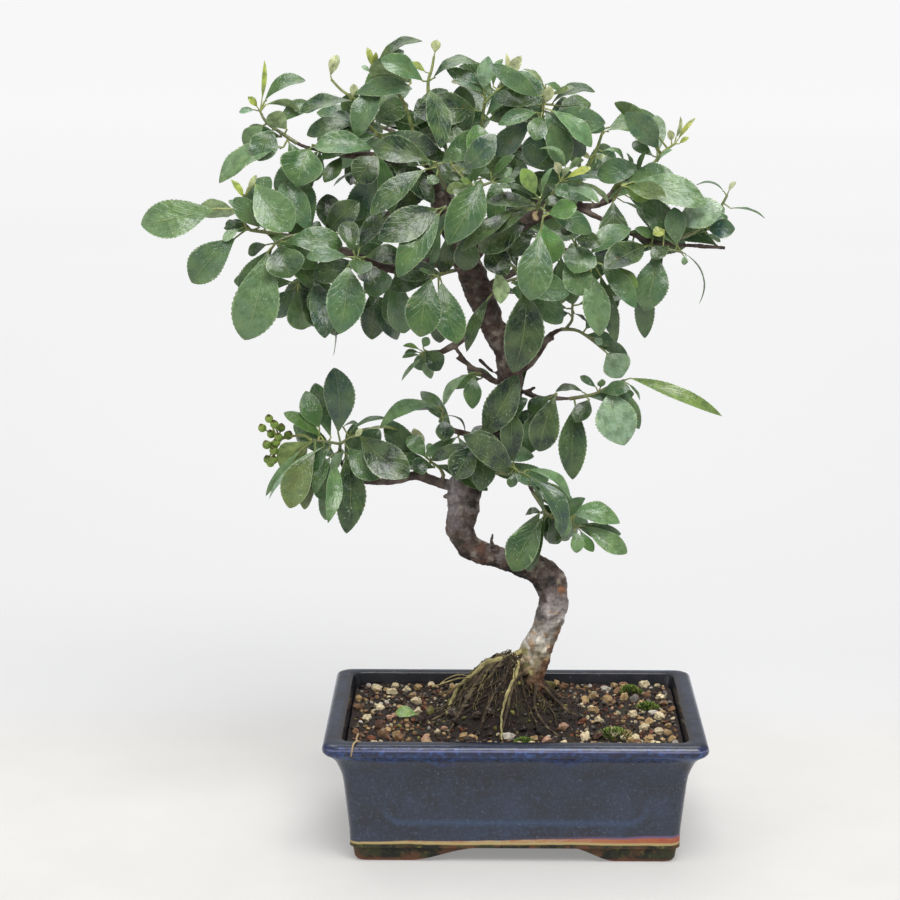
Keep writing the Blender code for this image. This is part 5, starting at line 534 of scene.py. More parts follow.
# Marks on the bark as the front shows them, and painted light among them: the grey marks on the trunk's left
# are its painted lit side, and most near-black ones, on its right and in the hollow under its bend, are
# painted shade. Each is x, z, radius and colour
BARK_MARKS_AND_PAINTED_LIGHT = (
    (-28.4, 164.0, 4.0, "#8d8688"), (-28.2, 157.0, 4.4, "#8e8789"), (-28.6, 149.5, 4.2, "#878082"),
    (-27.4, 143.0, 3.6, "#6f6768"), (-18.6, 166.0, 3.4, "#1f1612"), (-18.4, 159.0, 3.4, "#211813"),
    (-19.2, 152.5, 2.8, "#1c1410"), (-18.8, 146.0, 2.4, "#453629"), (-23.0, 147.0, 2.0, "#5a4a3f"),
    (-25.6, 134.5, 3.2, "#3a3128"), (-22.6, 128.0, 3.2, "#231b13"), (-15.4, 131.5, 3.4, "#56321f"),
    (-18.4, 128.8, 1.8, "#8f857d"), (-12.4, 135.8, 2.3, "#d6d0c4"), (-15.6, 139.8, 2.4, "#191210"),
    (-6.4, 128.4, 4.0, "#6f6462"), (-9.6, 124.6, 2.6, "#2a201b"), (1.2, 124.0, 3.6, "#382e2a"),
    (-2.0, 121.4, 3.4, "#1a1412"), (2.6, 119.2, 4.2, "#140f0d"), (6.2, 115.6, 4.4, "#120e0c"),
    (8.6, 111.4, 3.4, "#15100e"), (9.6, 107.4, 2.4, "#1e1715"), (11.6, 124.4, 2.6, "#857a6d"),
    (9.0, 119.0, 1.6, "#756a60"), (15.2, 119.4, 2.6, "#5f554c"), (16.6, 116.4, 3.2, "#0f0c0b"),
    (21.6, 112.4, 2.4, "#946443"), (20.3, 116.2, 1.5, "#a49c86"), (13.2, 108.6, 2.8, "#51413b"),
    (11.8, 100.2, 3.2, "#5d5756"), (13.2, 104.0, 1.6, "#8c8482"), (19.6, 104.6, 3.4, "#a29b98"),
    (19.6, 90.4, 2.2, "#836247"), (17.2, 84.0, 3.0, "#805b40"), (15.0, 76.6, 3.8, "#704c33"),
    (12.0, 70.0, 4.2, "#5d3d28"), (10.2, 78.4, 1.8, "#9b8d6c"), (4.8, 83.4, 2.6, "#979060"),
    (4.6, 76.6, 3.2, "#676238"), (7.6, 73.4, 1.6, "#a09868"), (9.5, 221.0, 2.6, "#6a4832"),
)

log = logging.getLogger("bonsai")


class Tone(Enum):
    """Colours of a leaf: its letter in the lists, its top, then its underside."""

    DARK = ("d", "#28472a", "#6d8562")
    MID = ("m", "#3a6135", "#7f9a6e")
    BRIGHT = ("b", "#4d7d38", "#8aa86c")
    PALE = ("p", "#6d9062", "#9db38c")
    YOUNG = ("y", "#b9c65a", "#c6d17c")
    OLIVE = ("o", "#5a6c33", "#8c965f")
    BLUISH = ("u", "#33534b", "#71897c")
    CREAM = ("c", "#d9deac", "#dce1bb")
    # Darker still: partly real leaf colour, partly painted shade for leaves deep in the crown
    DEEP = ("k", "#17301c", "#4a5f45")
    # Painted sheen: the whitish gloss of leaf tops that catch the light
    SILVER = ("s", "#9cba9a", "#a5b89e")
    FRESH = ("f", "#7fa04c", "#9bb26a")
    GREYED = ("e", "#4f7350", "#7f9779")


TONES = {tone.value[0]: tone for tone in Tone}


def linear(code: str) -> tuple[float, float, float]:
    """Turn an sRGB hex colour such as "#28472a" to linear red, green and blue."""
    parts = [int(code[place:place + 2], 16) / 255.0 for place in (1, 3, 5)]
    red, green, blue = (part / 12.92 if part <= 0.04045 else ((part + 0.055) / 1.055) ** 2.4
                        for part in parts)
    return red, green, blue


def paint(code: str) -> tuple[float, float, float, float]:
    """Return an sRGB hex colour as a socket's linear colour."""
    return (*linear(code), 1.0)


def put(tree: bpy.types.NodeTree, kind: str, settings: dict | None = None,
        inputs: dict | None = None) -> bpy.types.Node:
    """Add a node with its settings and links.

    Args:
        tree: The material's nodes.
        kind: The node's type without its "ShaderNode" prefix.
        settings: Properties of the node.
        inputs: A number, a hex colour or a mask for each socket, by the socket's name or number.

    Returns:
        The new node.
    """
    node = tree.nodes.new("ShaderNode" + kind)
    for key, value in (settings or {}).items():
        setattr(node, key, value)
    for key, value in (inputs or {}).items():
        feed(node.inputs[key], value)
    return node


def feed(socket: bpy.types.NodeSocket, value: "Mask | float | tuple | str") -> None:
    """Set a socket to a number, numbers or a hex colour, or link a mask to it."""
    if isinstance(value, Mask):
        value.tree.links.new(value.socket, socket)
    else:
        socket.default_value = paint(value) if isinstance(value, str) else value


@dataclass(frozen=True)
class Mask:
    """A number or a colour that changes over a surface: a node's output that sums can be done with."""

    tree: bpy.types.NodeTree
    socket: bpy.types.NodeSocket

    def sum(self, operation: str, *parts: "Mask | float") -> "Mask":
        """Return what a sum of numbers and masks gives."""
        node = put(self.tree, "Math", {"operation": operation}, dict(enumerate(parts)))
        return Mask(self.tree, node.outputs[0])

    def __add__(self, other: "Mask | float") -> "Mask":
        """Add a number or a mask."""
        return self.sum("ADD", self, other)

    def __sub__(self, other: "Mask | float") -> "Mask":
        """Take off a number or a mask."""
        return self.sum("SUBTRACT", self, other)

    def __rsub__(self, other: float) -> "Mask":
        """Take this off a number."""
        return self.sum("SUBTRACT", other, self)

    def __mul__(self, other: "Mask | float") -> "Mask":
        """Multiply by a number or a mask."""
        return self.sum("MULTIPLY", self, other)

    def __abs__(self) -> "Mask":
        """Drop the sign."""
        return self.sum("ABSOLUTE", self)

    def rising(self, low: float, high: float) -> "Mask":
        """Return how far this lies between two ends, from 0 to 1."""
        return Mask(self.tree, put(self.tree, "MapRange", None, {0: self, 1: low, 2: high}).outputs[0])

    def falling(self, low: float, high: float) -> "Mask":
        """Return 1 below both ends, 0 above them and a slope between."""
        return 1.0 - self.rising(low, high)

    def over(self, first: "Mask | str", second: "Mask | str") -> "Mask":
        """Lay a second colour over a first as far as this mask shows it."""
        mix = put(self.tree, "Mix", {"data_type": "RGBA"}, {0: self, 6: first, 7: second})
        return Mask(self.tree, mix.outputs[2])


class Workbench:
    """A material in the making, with the masks that its finish draws from."""

    def __init__(self, name: str) -> None:
        """Start the material."""
        self.material = bpy.data.materials.new(name)
        self.material.use_nodes = True
        self.tree = self.material.node_tree
        self.shader = self.tree.nodes["Principled BSDF"]
        self.place = put(self.tree, "TexCoord")

    def read(self, node: bpy.types.Node, output: str | int) -> Mask:
        """Return a node's output as a mask."""
        return Mask(self.tree, node.outputs[output])

    def axes(self, vector: Mask) -> list[Mask]:
        """Part a place or a direction into its three numbers."""
        parted = put(self.tree, "SeparateXYZ", None, {0: vector})
        return [self.read(parted, index) for index in range(3)]

    def tint(self, output: str = "Color") -> Mask:
        """Return the colour that the mesh holds, or its alpha, which is 1 on a leaf's underside."""
        return self.read(put(self.tree, "Attribute", {"attribute_name": "tint"}), output)

    def spots(self, size: float, low: float, high: float, detail: float = 4.0,
              stretch: tuple[float, float, float] = (1.0, 1.0, 1.0)) -> Mask:
        """Make a soft mask of random spots.

        Args:
            size: The spots' size in millimetres.
            low: The noise value where the mask starts.
            high: The noise value where the mask is full.
            detail: How much finer noise is added.
            stretch: How the pattern is scaled along each axis.

        Returns:
            The mask.
        """
        place = put(self.tree, "Mapping", None, {"Vector": self.read(self.place, "Object"), "Scale": stretch})
        cloud = put(self.tree, "TexNoise", None, {"Vector": self.read(place, 0), "Scale": 1.0 / (size * MM),
                                                  "Detail": detail, "Roughness": 0.6})
        return self.read(cloud, "Fac").rising(low, high)

    def finish(self, colour: Mask, roughness: Mask | float, relief: Mask, strength: float, depth: float,
               sockets: tuple[tuple[str, float], ...] = ()) -> bpy.types.Material:
        """Link the finish to the shader.

        Args:
            colour: The base colour.
            roughness: The roughness.
            relief: The height of a low relief.
            strength: How strong the relief is.
            depth: Its depth in millimetres.
            sockets: The shader's other sockets and their numbers.

        Returns:
            The material.
        """
        bump = put(self.tree, "Bump", None, {"Strength": strength, "Distance": depth * MM, "Height": relief})
        for name, value in (("Base Color", colour), ("Roughness", roughness), ("Normal", self.read(bump, 0)),
                            *sockets):
            feed(self.shader.inputs[name], value)
        return self.material


@dataclass(frozen=True)
class GlazedStoneware:
    """Reduction-fired stoneware under a dipped cobalt glaze: glossy, pooled brighter under the rim, bare
    clay at the feet stained by algae. Heights are in metres, as the shader reads them."""

    name: str = "glazed_stoneware"
    # Where the pooled glaze runs down: middle, half width and run in millimetres
    tongues: tuple = ((21.3, 11.0, 4.6), (-31.9, 8.0, 4.2), (-54.8, 10.0, 2.2))
    pool_edge: float = 0.0497
    panel_half_length: float = 0.050
    panel_middle: float = 0.0335
    panel_half_height: float = 0.0065
    panel_corner: float = 0.008

    def build(self) -> bpy.types.Material:
        """Return the material."""
        work = Workbench(self.name)
        place = work.read(work.place, "Object")
        x, y, height = work.axes(place)
        across = x - HOME.x
        behind = y - HOME.y
        clouds = put(work.tree, "TexNoise", None, {"Vector": place, "Scale": 60.0, "Detail": 3.0})
        wander = work.read(clouds, "Fac")
        sway = wander - 0.5
        # Thin slate glaze on the walls, bluer in clouds
        wall = work.spots(16.0, 0.38, 0.66).over("#2c2f38", "#303a4d")
        wall = (work.spots(1.3, 0.5, 0.7) * 0.5).over(wall, "#4a5670")
        wall = self.frame_line(across, height).over(wall, "#48658e")
        # It pools cobalt blue below the rim and runs down in three tongues
        edge = sway * 0.004 + self.pool_edge
        for middle, reach, run in self.tongues:
            edge = edge - abs(across - middle * MM).falling(0.0, reach * MM) * (run * MM)
        above = height - edge
        pooled = above.rising(-0.0010, 0.0018) * 0.86
        deep = above.rising(0.001, 0.0045).over("#2a4374", "#1d284c")
        deep = work.spots(3.2, 0.42, 0.62).over(deep, "#181d38")
        deep = (work.spots(2.1, 0.5, 0.66) * 0.6).over(deep, "#3d62a6")
        colour = pooled.over(wall, deep)
        # A broken lilac line along the rim's nose is a painted highlight; the rim's flat top is nearly black
        nose_highlight = height.rising(0.0548, 0.0551) * height.falling(0.0555, 0.0559)
        colour = (nose_highlight * wander.rising(0.2, 0.5) * 0.38).over(colour, "#a6a5c6")
        flat = work.spots(9.0, 0.35, 0.65).over("#171b2a", "#2b3346")
        colour = height.rising(0.0562, 0.0570).over(colour, flat)
        # The inner walls are dark
        facing = work.axes(work.read(work.place, "Normal"))
        inner = ((facing[0] * across + facing[1] * behind).falling(-0.012, -0.004)
                 * height.rising(0.020, 0.024))
        colour = inner.over(colour, work.spots(6.0, 0.35, 0.65).over("#15171f", "#25242a"))
        # Pinholes and specks
        colour = (work.spots(1.1, 0.74, 0.77, 1.0) * 0.35).over(colour, "#9aa3b4")
        # Below the glaze: cream slip at the left, terracotta that thickens to the right with a lilac seam
        foot_line = height + sway * 0.0016
        low = foot_line - across * 0.017
        right = across.rising(-0.005, 0.060)
        colour = (low.falling(0.0114, 0.0122) * right * 0.8).over(colour, "#7d5f83")
        bare = low.falling(0.0106, 0.0111)
        band = right.over("#b7a079", "#a4503f")
        band = (work.spots(3.0, 0.42, 0.6) * 0.7).over(band, "#a9683f")
        band = foot_line.falling(0.0094, 0.0099).over(band, "#b4a06c")
        colour = bare.over(colour, band)
        # Bare feet, stained by algae
        clay = work.spots(9.0, 0.46, 0.6).over("#33341b", "#5c3a22")
        clay = work.spots(7.0, 0.48, 0.58).over(clay, "#15180f")
        clay = work.spots(3.0, 0.58, 0.74).over(clay, "#6c6c30")
        clay = (foot_line.falling(0.0006, 0.0020) * 0.8).over(clay, "#7e4529")
        colour = foot_line.falling(0.0084, 0.0089).over(colour, clay)
        glossy = bare * 0.5 + work.spots(6.0, 0.3, 0.7) * 0.10
        relief = work.spots(3.5, 0.2, 0.8, 5.0) + pooled * 0.5
        return work.finish(colour, glossy + 0.15, relief, 0.3, 0.35, (("IOR", 1.5),))

    def frame_line(self, across: Mask, height: Mask) -> Mask:
        """Draw a paler line along the sunk panel's foot.

        Args:
            across: The place along the pot's length.
            height: The height.

        Returns:
            The line's mask, a rounded frame that fades out upwards.
        """
        wide = abs(across) - self.panel_half_length
        tall = abs(height - self.panel_middle) - self.panel_half_height
        wide, tall = wide.sum("MAXIMUM", wide, 0.0), tall.sum("MAXIMUM", tall, 0.0)
        square = wide * wide + tall * tall
        off = abs(square.sum("SQRT", square) - self.panel_corner)
        return off.falling(0.0, 0.0022) * height.falling(0.019, 0.030) * 0.3


@dataclass(frozen=True)
class MottledFinish:
    """A plain surface, or one whose colours the mesh holds, broken up by layers of random spots.

    A layer is the spots' size in millimetres, the noise where they start and are full and its detail,
    then the layer's share and its colour. The relief is given like a layer's spots.
    """

    name: str
    base: str
    layers: tuple
    roughness: float
    relief: tuple
    strength: float
    depth: float
    stretch: tuple[float, float, float] = (1.0, 1.0, 1.0)
    sockets: tuple[tuple[str, float], ...] = ()

    def build(self) -> bpy.types.Material:
        """Return the material."""
        work = Workbench(self.name)
        colour: Mask | str = self.base or work.tint()
        for spots, share, code in self.layers:
            colour = (work.spots(*spots, stretch=self.stretch) * share).over(colour, code)
        relief = work.spots(*self.relief, stretch=self.stretch)
        return work.finish(colour, self.roughness, relief, self.strength, self.depth, self.sockets)


def pitted(name: str, grain: float, dark: str, light: str, roughness: float, depth: float,
           stretch: tuple[float, float, float] = (1.0, 1.0, 1.0), amount: float = 0.45) -> MottledFinish:
    """Describe a dull, pitted natural surface whose colour comes from the mesh.

    Args:
        name: The material's name.
        grain: The pits' size in millimetres.
        dark: The colour in the pits.
        light: The colour of the worn spots.
        roughness: Its roughness.
        depth: The pits' depth in millimetres.
        stretch: How the pits are scaled along each axis.
        amount: How much the pits show.

    Returns:
        The finish.
    """
    layers = (((grain, 0.42, 0.62, 6.0), amount, dark), ((grain * 1.7, 0.55, 0.7, 6.0), amount * 0.6, light))
    return MottledFinish(name, "", layers, roughness, (grain, 0.25, 0.75, 8.0), 0.7, depth, stretch)


# Moulded black polypropylene mesh: dull, with a faint grain
SCREEN_MESH = MottledFinish("moulded_polypropylene", "#1c1d1d", (((1.0, 0.4, 0.7), 1.0, "#2c2d2c"),), 0.55,
                            (0.6, 0.3, 0.7), 0.3, 0.1)
# Damp composted bark and loam: near black-brown with rusty and mossy patches, quite matt
POTTING_MIX = MottledFinish(
    "damp_potting_mix", "#100b08",
    (((3.0, 0.35, 0.65, 8.0), 1.0, "#241710"), ((1.2, 0.56, 0.7), 1.0, "#4c2a19"),
     ((14.0, 0.56, 0.64), 0.4, "#333a1b")),
    0.85, (1.3, 0.2, 0.8, 8.0), 0.9, 1.2)
# Crushed pumice and fired clay: dull and pitted
PUMICE = pitted("crushed_pumice", 1.1, "#2e221a", "#dcd0bb", 0.85, 0.3)
# Weathered cork bark, its pits drawn out upwards
BARK = pitted("weathered_bark", 1.4, "#2a211c", "#b0a498", 0.75, 0.35, (0.6, 0.6, 1.5), 0.26)
# Barked root wood: dry and matt
ROOT_BARK = pitted("root_bark", 1.2, "#3f2f1f", "#c9bb93", 0.85, 0.25)
# Soft green stem: thin smooth skin, faintly ribbed, with a low shine
SHOOT_SKIN = MottledFinish("young_shoot_skin", "", (((2.5, 0.45, 0.65), 0.45, "#6b5a38"),), 0.5,
                           (0.8, 0.3, 0.7), 0.3, 0.15)
# Unripe pome skin: firm, waxy green with a faint bloom
BERRY_SKIN = MottledFinish("unripe_berry_skin", "", (((1.6, 0.4, 0.65), 0.5, "#a3ad58"),), 0.42,
                           (0.5, 0.3, 0.7), 0.2, 0.08, sockets=(("IOR", 1.42),))
# Living cushion moss: soft and matt, with darker spots
MOSS_GREEN = MottledFinish("cushion_moss", "", (((1.2, 0.4, 0.7), 0.6, "#31401a"),), 0.9,
                           (0.5, 0.3, 0.7), 0.4, 0.2)


@dataclass(frozen=True)
class LeafSkin:
    """Waxy evergreen leaf: satin top with sunken paler veins, duller grey-green underside."""

    name: str = "waxy_leaf"
    veins: float = 8.5
    vein_slant: float = 4.6

    def build(self) -> bpy.types.Material:
        """Return the material."""
        work = Workbench(self.name)
        chart = put(work.tree, "UVMap", {"uv_map": "UVMap"})
        along, side, _ = work.axes(work.read(chart, 0))
        away = abs(side - 0.5)
        under = work.tint("Alpha")
        midrib = away.falling(0.004, 0.02)
        # Eight pairs of side veins, curving to the tip
        run = along * self.veins - away.sum("POWER", away, 0.75) * self.vein_slant
        vein = run.sum("PINGPONG", run, 0.5).falling(0.01, 0.10)
        colour = (work.spots(7.0, 0.36, 0.64, 3.0) * 0.34).over(work.tint(), "#88a557")
        colour = (work.spots(3.5, 0.44, 0.62, 3.0) * 0.46).over(colour, "#20402a")
        colour = (vein * 0.06).over(colour, "#b3c294")
        colour = (midrib * 0.34).over(colour, "#a9b878")
        # A paler margin all round: painted rim light along the leaf's toothed edge
        colour = (away.rising(0.462, 0.5) * 0.4).over(colour, "#b2c49c")
        # Dried hard-water splashes on the tops, here and there a brown blemish
        dusty = work.spots(0.8, 0.62, 0.70, 2.0) * work.spots(11.0, 0.46, 0.60, 2.0)
        colour = (dusty * (1.0 - under) * 0.5).over(colour, "#c3cdb6")
        colour = (work.spots(2.6, 0.765, 0.79, 1.0) * 0.75).over(colour, "#6b4a26")
        gloss = under * 0.25 + work.spots(3.0, 0.3, 0.7) * 0.14
        raised = (midrib + vein * 0.15) * (under * 2.0 - 1.0)
        blisters = work.spots(1.8, 0.2, 0.8) * 0.5 + work.spots(6.0, 0.2, 0.8, 1.0) * 1.6
        return work.finish(colour, gloss + 0.17, raised + blisters, 0.6, 0.6,
                           (("IOR", 1.5), ("Coat Weight", 0.18), ("Coat Roughness", 0.12)))


@dataclass(frozen=True)
class PaperSweep:
    """Matt white paper under the pot, lit from behind where it is far: warm near the front, a shade greyer
    behind the table's edge."""

    name: str = "white_paper_sweep"
    glow: float = 0.25
    table_edge: tuple[float, float] = (0.13, 0.2)
    # How the glow grows from one distance behind the pot to the next, in metres
    glow_beyond: tuple = ((0.3, 0.53, 0.05), (0.53, 0.95, 0.09), (0.95, 1.62, 0.145), (1.62, 2.15, 0.093),
                          (2.15, 2.93, 0.074), (2.93, 4.8, 0.06))

    def build(self) -> bpy.types.Material:
        """Return the material."""
        work = Workbench(self.name)
        far = work.axes(work.read(work.place, "Object"))[1]
        mottled = work.spots(60.0, 0.3, 0.7).over("#b0aeab", "#b5b3b0")
        behind = far.rising(*(HOME.y + edge for edge in self.table_edge))
        glow: Mask | float = self.glow
        for start, end, more in self.glow_beyond:
            glow = far.rising(HOME.y + start, HOME.y + end) * more + glow
        for socket, value in (("Base Color", behind.over(mottled, "#b2b2b3")), ("Emission Color", "#ffffff"),
                              ("Emission Strength", glow), ("Roughness", 0.9), ("Specular IOR Level", 0.2)):
            feed(work.shader.inputs[socket], value)
        return work.material


def seen(x: float, z: float, y: float) -> Vector:
    """Place a point that the front view shows at a given spot.

    Args:
        x: The spot's place across the trunk's plane.
        z: The spot's height in the trunk's plane.
        y: The depth to which it slides along the line of sight.

    Returns:
        The point in millimetres.
    """
    return EYE + (Vector((x, 0.0, z)) - EYE) * (1.0 - y / EYE.y)


def soil_height(x: float, y: float) -> float:
    """Return the height of the soil's surface, a low mound round the trunk."""
    reach = math.hypot(x - MOUND[0], y - MOUND[1]) / MOUND[3]
    return POT_HEIGHT - SOIL_DROP + MOUND[2] * math.exp(-reach * reach * 1.4)


def heap_height(x: float, y: float) -> float:
    """Return the height of the growing mix, heaped among the roots at the trunk's foot."""
    top = float(np.interp(x, *zip(*HEAP)))
    away = min(1.0, (y - HEAP_LINE) / (HEAP_BACK if y > HEAP_LINE else HEAP_FRONT))
    ground = soil_height(x, y)
    share = (0.5 + 0.5 * math.cos(math.pi * away)) ** 0.9
    lumps = 4.0 * share * (1.0 - share) * noise.noise(Vector((x, y, 1.0)) / 5.5) * (top > ground)
    return ground + max(0.0, top - ground) * share + lumps


def on_heap(x: float, z: float, depth: float, rise: float) -> Vector:
    """Find where the line of sight through a seen point meets the heap.

    Args:
        x: Its place along the pot as the front shows it.
        z: Its height as the front shows it.
        depth: Where it lies away from the front if it passes above the heap.
        rise: How far above the heap the point stays.

    Returns:
        The point in millimetres.
    """
    for step in range(300):
        point = seen(x, z, -60.0 + 0.25 * step)
        if point.z < heap_height(point.x, point.y) + rise:
            return point
    return seen(x, z, depth)


def deselect() -> None:
    """Deselect every object."""
    bpy.ops.object.select_all(action="DESELECT")


def take(piece: bpy.types.Object) -> bpy.types.Object:
    """Select one object alone and make it active."""
    deselect()
    piece.select_set(True)
    bpy.context.view_layer.objects.active = piece
    return piece


def settle(piece: bpy.types.Object, name: str) -> bpy.types.Object:
    """Name an object and write its place, turn and scale into its mesh."""
    take(piece)
    piece.name = name
    piece.data.name = name
    bpy.ops.object.transform_apply(location=True, rotation=True, scale=True)
    return piece


@contextmanager
def editing() -> Iterator[None]:
    """Work in edit mode on the active object, all of it selected at first."""
    bpy.ops.object.mode_set(mode="EDIT")
    bpy.ops.mesh.select_all(action="SELECT")
    yield
    bpy.ops.object.mode_set(mode="OBJECT")


def primitive(add: Callable[..., set], name: str, scale: tuple[float, float, float] = (1.0, 1.0, 1.0),
              **sizes: float | tuple) -> bpy.types.Object:
    """Add a primitive at its size and place.

    Args:
        add: The operator that adds it.
        name: The object's name.
        scale: How it is stretched along each axis.
        sizes: The operator's own settings.

    Returns:
        The object, its place and scale written into its mesh.
    """
    deselect()
    add(**sizes)
    piece = bpy.context.active_object
    piece.scale = scale
    return settle(piece, name)


def extrude(x: float, y: float, z: float) -> None:
    """Extrude what is selected along a vector."""
    bpy.ops.mesh.extrude_region_move(TRANSFORM_OT_translate={"value": (x, y, z)})


def outwards() -> None:
    """Turn all faces of the object in edit mode outwards."""
    bpy.ops.mesh.select_all(action="SELECT")
    bpy.ops.mesh.normals_make_consistent(inside=False)


def modified(piece: bpy.types.Object, kind: str, **settings: object) -> bpy.types.Object:
    """Add a modifier and apply it.

    Args:
        piece: The object.
        kind: The modifier's type.
        settings: The modifier's own settings.

    Returns:
        The object.
    """
    change = piece.modifiers.new("change", kind)
    for name, setting in settings.items():
        setattr(change, name, setting)
    take(piece)
    bpy.ops.object.modifier_apply(modifier="change")
    return piece


def pick(piece: bpy.types.Object, kind: str, wanted: Callable[[object], bool]) -> None:
    """Select vertices, edges or faces in edit mode by a test.

    Args:
        piece: The object in edit mode.
        kind: "VERT", "EDGE" or "FACE".
        wanted: Tells of one element whether it is taken.
    """
    bpy.ops.mesh.select_mode(type=kind)
    bpy.ops.mesh.select_all(action="DESELECT")
    edit = bmesh.from_edit_mesh(piece.data)
    group = {"VERT": edit.verts, "EDGE": edit.edges, "FACE": edit.faces}[kind]
    for element in group:
        if wanted(element):
            element.select_set(True)
    edit.select_flush_mode()
    bmesh.update_edit_mesh(piece.data)


def smooth(piece: bpy.types.Object, angle: float) -> None:
    """Shade an object smooth up to an angle in degrees."""
    take(piece)
    bpy.ops.object.shade_smooth_by_angle(angle=math.radians(angle))


def joined_objects(base: bpy.types.Object, others: list[bpy.types.Object]) -> bpy.types.Object:
    """Join objects into the first one."""
    deselect()
    for piece in [base, *others]:
        piece.select_set(True)
    bpy.context.view_layer.objects.active = base
    bpy.ops.object.join()
    return base


def to_row(points: np.ndarray) -> np.ndarray:
    """Turn millimetres from the pot's centre to metres in the row's frame."""
    return points * MM + np.array(HOME)


def stand(piece: bpy.types.Object) -> bpy.types.Object:
    """Turn an object's mesh from millimetres to metres in the row's frame."""
    piece.data.transform(Matrix.Translation(HOME) @ Matrix.Scale(MM, 4))
    return piece


def dress(piece: bpy.types.Object, materials: list[bpy.types.Material], nodes: list[str]) -> None:
    """Give a piece its materials, its body and the nodes it stands for.

    Args:
        piece: The finished object.
        materials: Its materials in slot order.
        nodes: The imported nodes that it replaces.
    """
    piece.data.materials.clear()
    for material in materials:
        piece.data.materials.append(material)
    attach(piece, "root")
    for node in nodes:
        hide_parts(node)
    triangles = sum(len(face.vertices) - 2 for face in piece.data.polygons)
    log.info("%s: %d triangles", piece.name, triangles)


@dataclass
class Pattern:
    """A modelled shape kept as numbers, so that each copy gets its own mesh."""

    points: np.ndarray
    corners: np.ndarray
    sizes: np.ndarray
    chart: np.ndarray
    under: np.ndarray

    @classmethod
    def of(cls, piece: bpy.types.Object) -> "Pattern":
        """Read a modelled object and remove it.

        Args:
            piece: The object.

        Returns:
            Its pattern.
        """
        mesh = piece.data
        points = np.zeros(len(mesh.vertices) * 3)
        mesh.vertices.foreach_get("co", points)
        corners = np.zeros(len(mesh.loops), np.int32)
        mesh.loops.foreach_get("vertex_index", corners)
        sizes = np.zeros(len(mesh.polygons), np.int32)
        mesh.polygons.foreach_get("loop_total", sizes)
        chart = np.zeros(len(mesh.loops) * 2)
        if mesh.uv_layers:
            mesh.uv_layers[0].data.foreach_get("uv", chart)
        under = np.repeat([1.0 if face.normal.z < 0 else 0.0 for face in mesh.polygons], sizes)
        pattern = cls(points.reshape(-1, 3), corners, sizes, chart.reshape(-1, 2), under)
        bpy.data.objects.remove(piece)
        return pattern


@dataclass
class Gathering:
    """Copies of patterns, collected for one object."""

    points: list[np.ndarray] = field(default_factory=list)
    corners: list[np.ndarray] = field(default_factory=list)
    sizes: list[np.ndarray] = field(default_factory=list)
    chart: list[np.ndarray] = field(default_factory=list)
    tints: list[np.ndarray] = field(default_factory=list)
    slots: list[np.ndarray] = field(default_factory=list)
    count: int = 0

    def add(self, pattern: Pattern, points: np.ndarray, tints: np.ndarray, slot: int = 0) -> None:
        """Add one copy.

        Args:
            pattern: The shape whose faces are copied.
            points: Where its vertices go, in millimetres.
            tints: One colour with its underside share, or one for each corner.
            slot: Its material's place in the object's list.
        """
        self.points.append(points)
        self.corners.append(pattern.corners + self.count)
        self.sizes.append(pattern.sizes)
        self.chart.append(pattern.chart)
        full = np.broadcast_to(np.asarray(tints, float), (len(pattern.corners), 4))
        self.tints.append(full)
        self.slots.append(np.full(len(pattern.sizes), slot, np.int32))
        self.count += len(points)

    def build(self, name: str) -> bpy.types.Object:
        """Make the object.

        Args:
            name: The object's name.

        Returns:
            The object, in the row's frame.
        """
        mesh = bpy.data.meshes.new(name)
        corners = np.concatenate(self.corners)
        sizes = np.concatenate(self.sizes)
        mesh.vertices.add(self.count)
        mesh.vertices.foreach_set("co", to_row(np.concatenate(self.points)).ravel())
        mesh.loops.add(len(corners))
        mesh.loops.foreach_set("vertex_index", corners)
        mesh.polygons.add(len(sizes))
        mesh.polygons.foreach_set("loop_start", np.concatenate(([0], np.cumsum(sizes)[:-1])).astype(np.int32))
        mesh.polygons.foreach_set("material_index", np.concatenate(self.slots))
        mesh.update(calc_edges=True)
        mesh.uv_layers.new(name="UVMap").data.foreach_set("uv", np.concatenate(self.chart).ravel())
        tint = mesh.color_attributes.new(name="tint", type="FLOAT_COLOR", domain="CORNER")
        tint.data.foreach_set("color", np.concatenate(self.tints).ravel())
        piece = bpy.data.objects.new(name, mesh)
        bpy.context.scene.collection.objects.link(piece)
        smooth(piece, 62.0)
        return piece


def smoothed(points: list[Vector], radii: list[float], step: float) -> tuple[list[Vector], list[float]]:
    """Draw a smooth line through points.

    Args:
        points: The points in millimetres.
        radii: The radius at each point.
        step: The wanted distance between the new points.

    Returns:
        The new points and their radii.
    """
    ends = [points[0] * 2 - points[1], *points, points[-1] * 2 - points[-2]]
    line = [points[0]]
    sizes = [radii[0]]
    for index in range(len(points) - 1):
        a, b, c, d = ends[index:index + 4]
        count = max(1, round((c - b).length / step))
        for part in range(1, count + 1):
            t = part / count
            line.append(0.5 * ((2 * b) + (c - a) * t + (2 * a - 5 * b + 4 * c - d) * t * t
                               + (3 * b - 3 * c + d - a) * t * t * t))
            sizes.append(radii[index] + (radii[index + 1] - radii[index]) * t)
    return line, sizes


def spread(first: float, last: float, count: int) -> list[float]:
    """Return count numbers in even steps."""
    return [first + (last - first) * index / (count - 1) for index in range(count)]


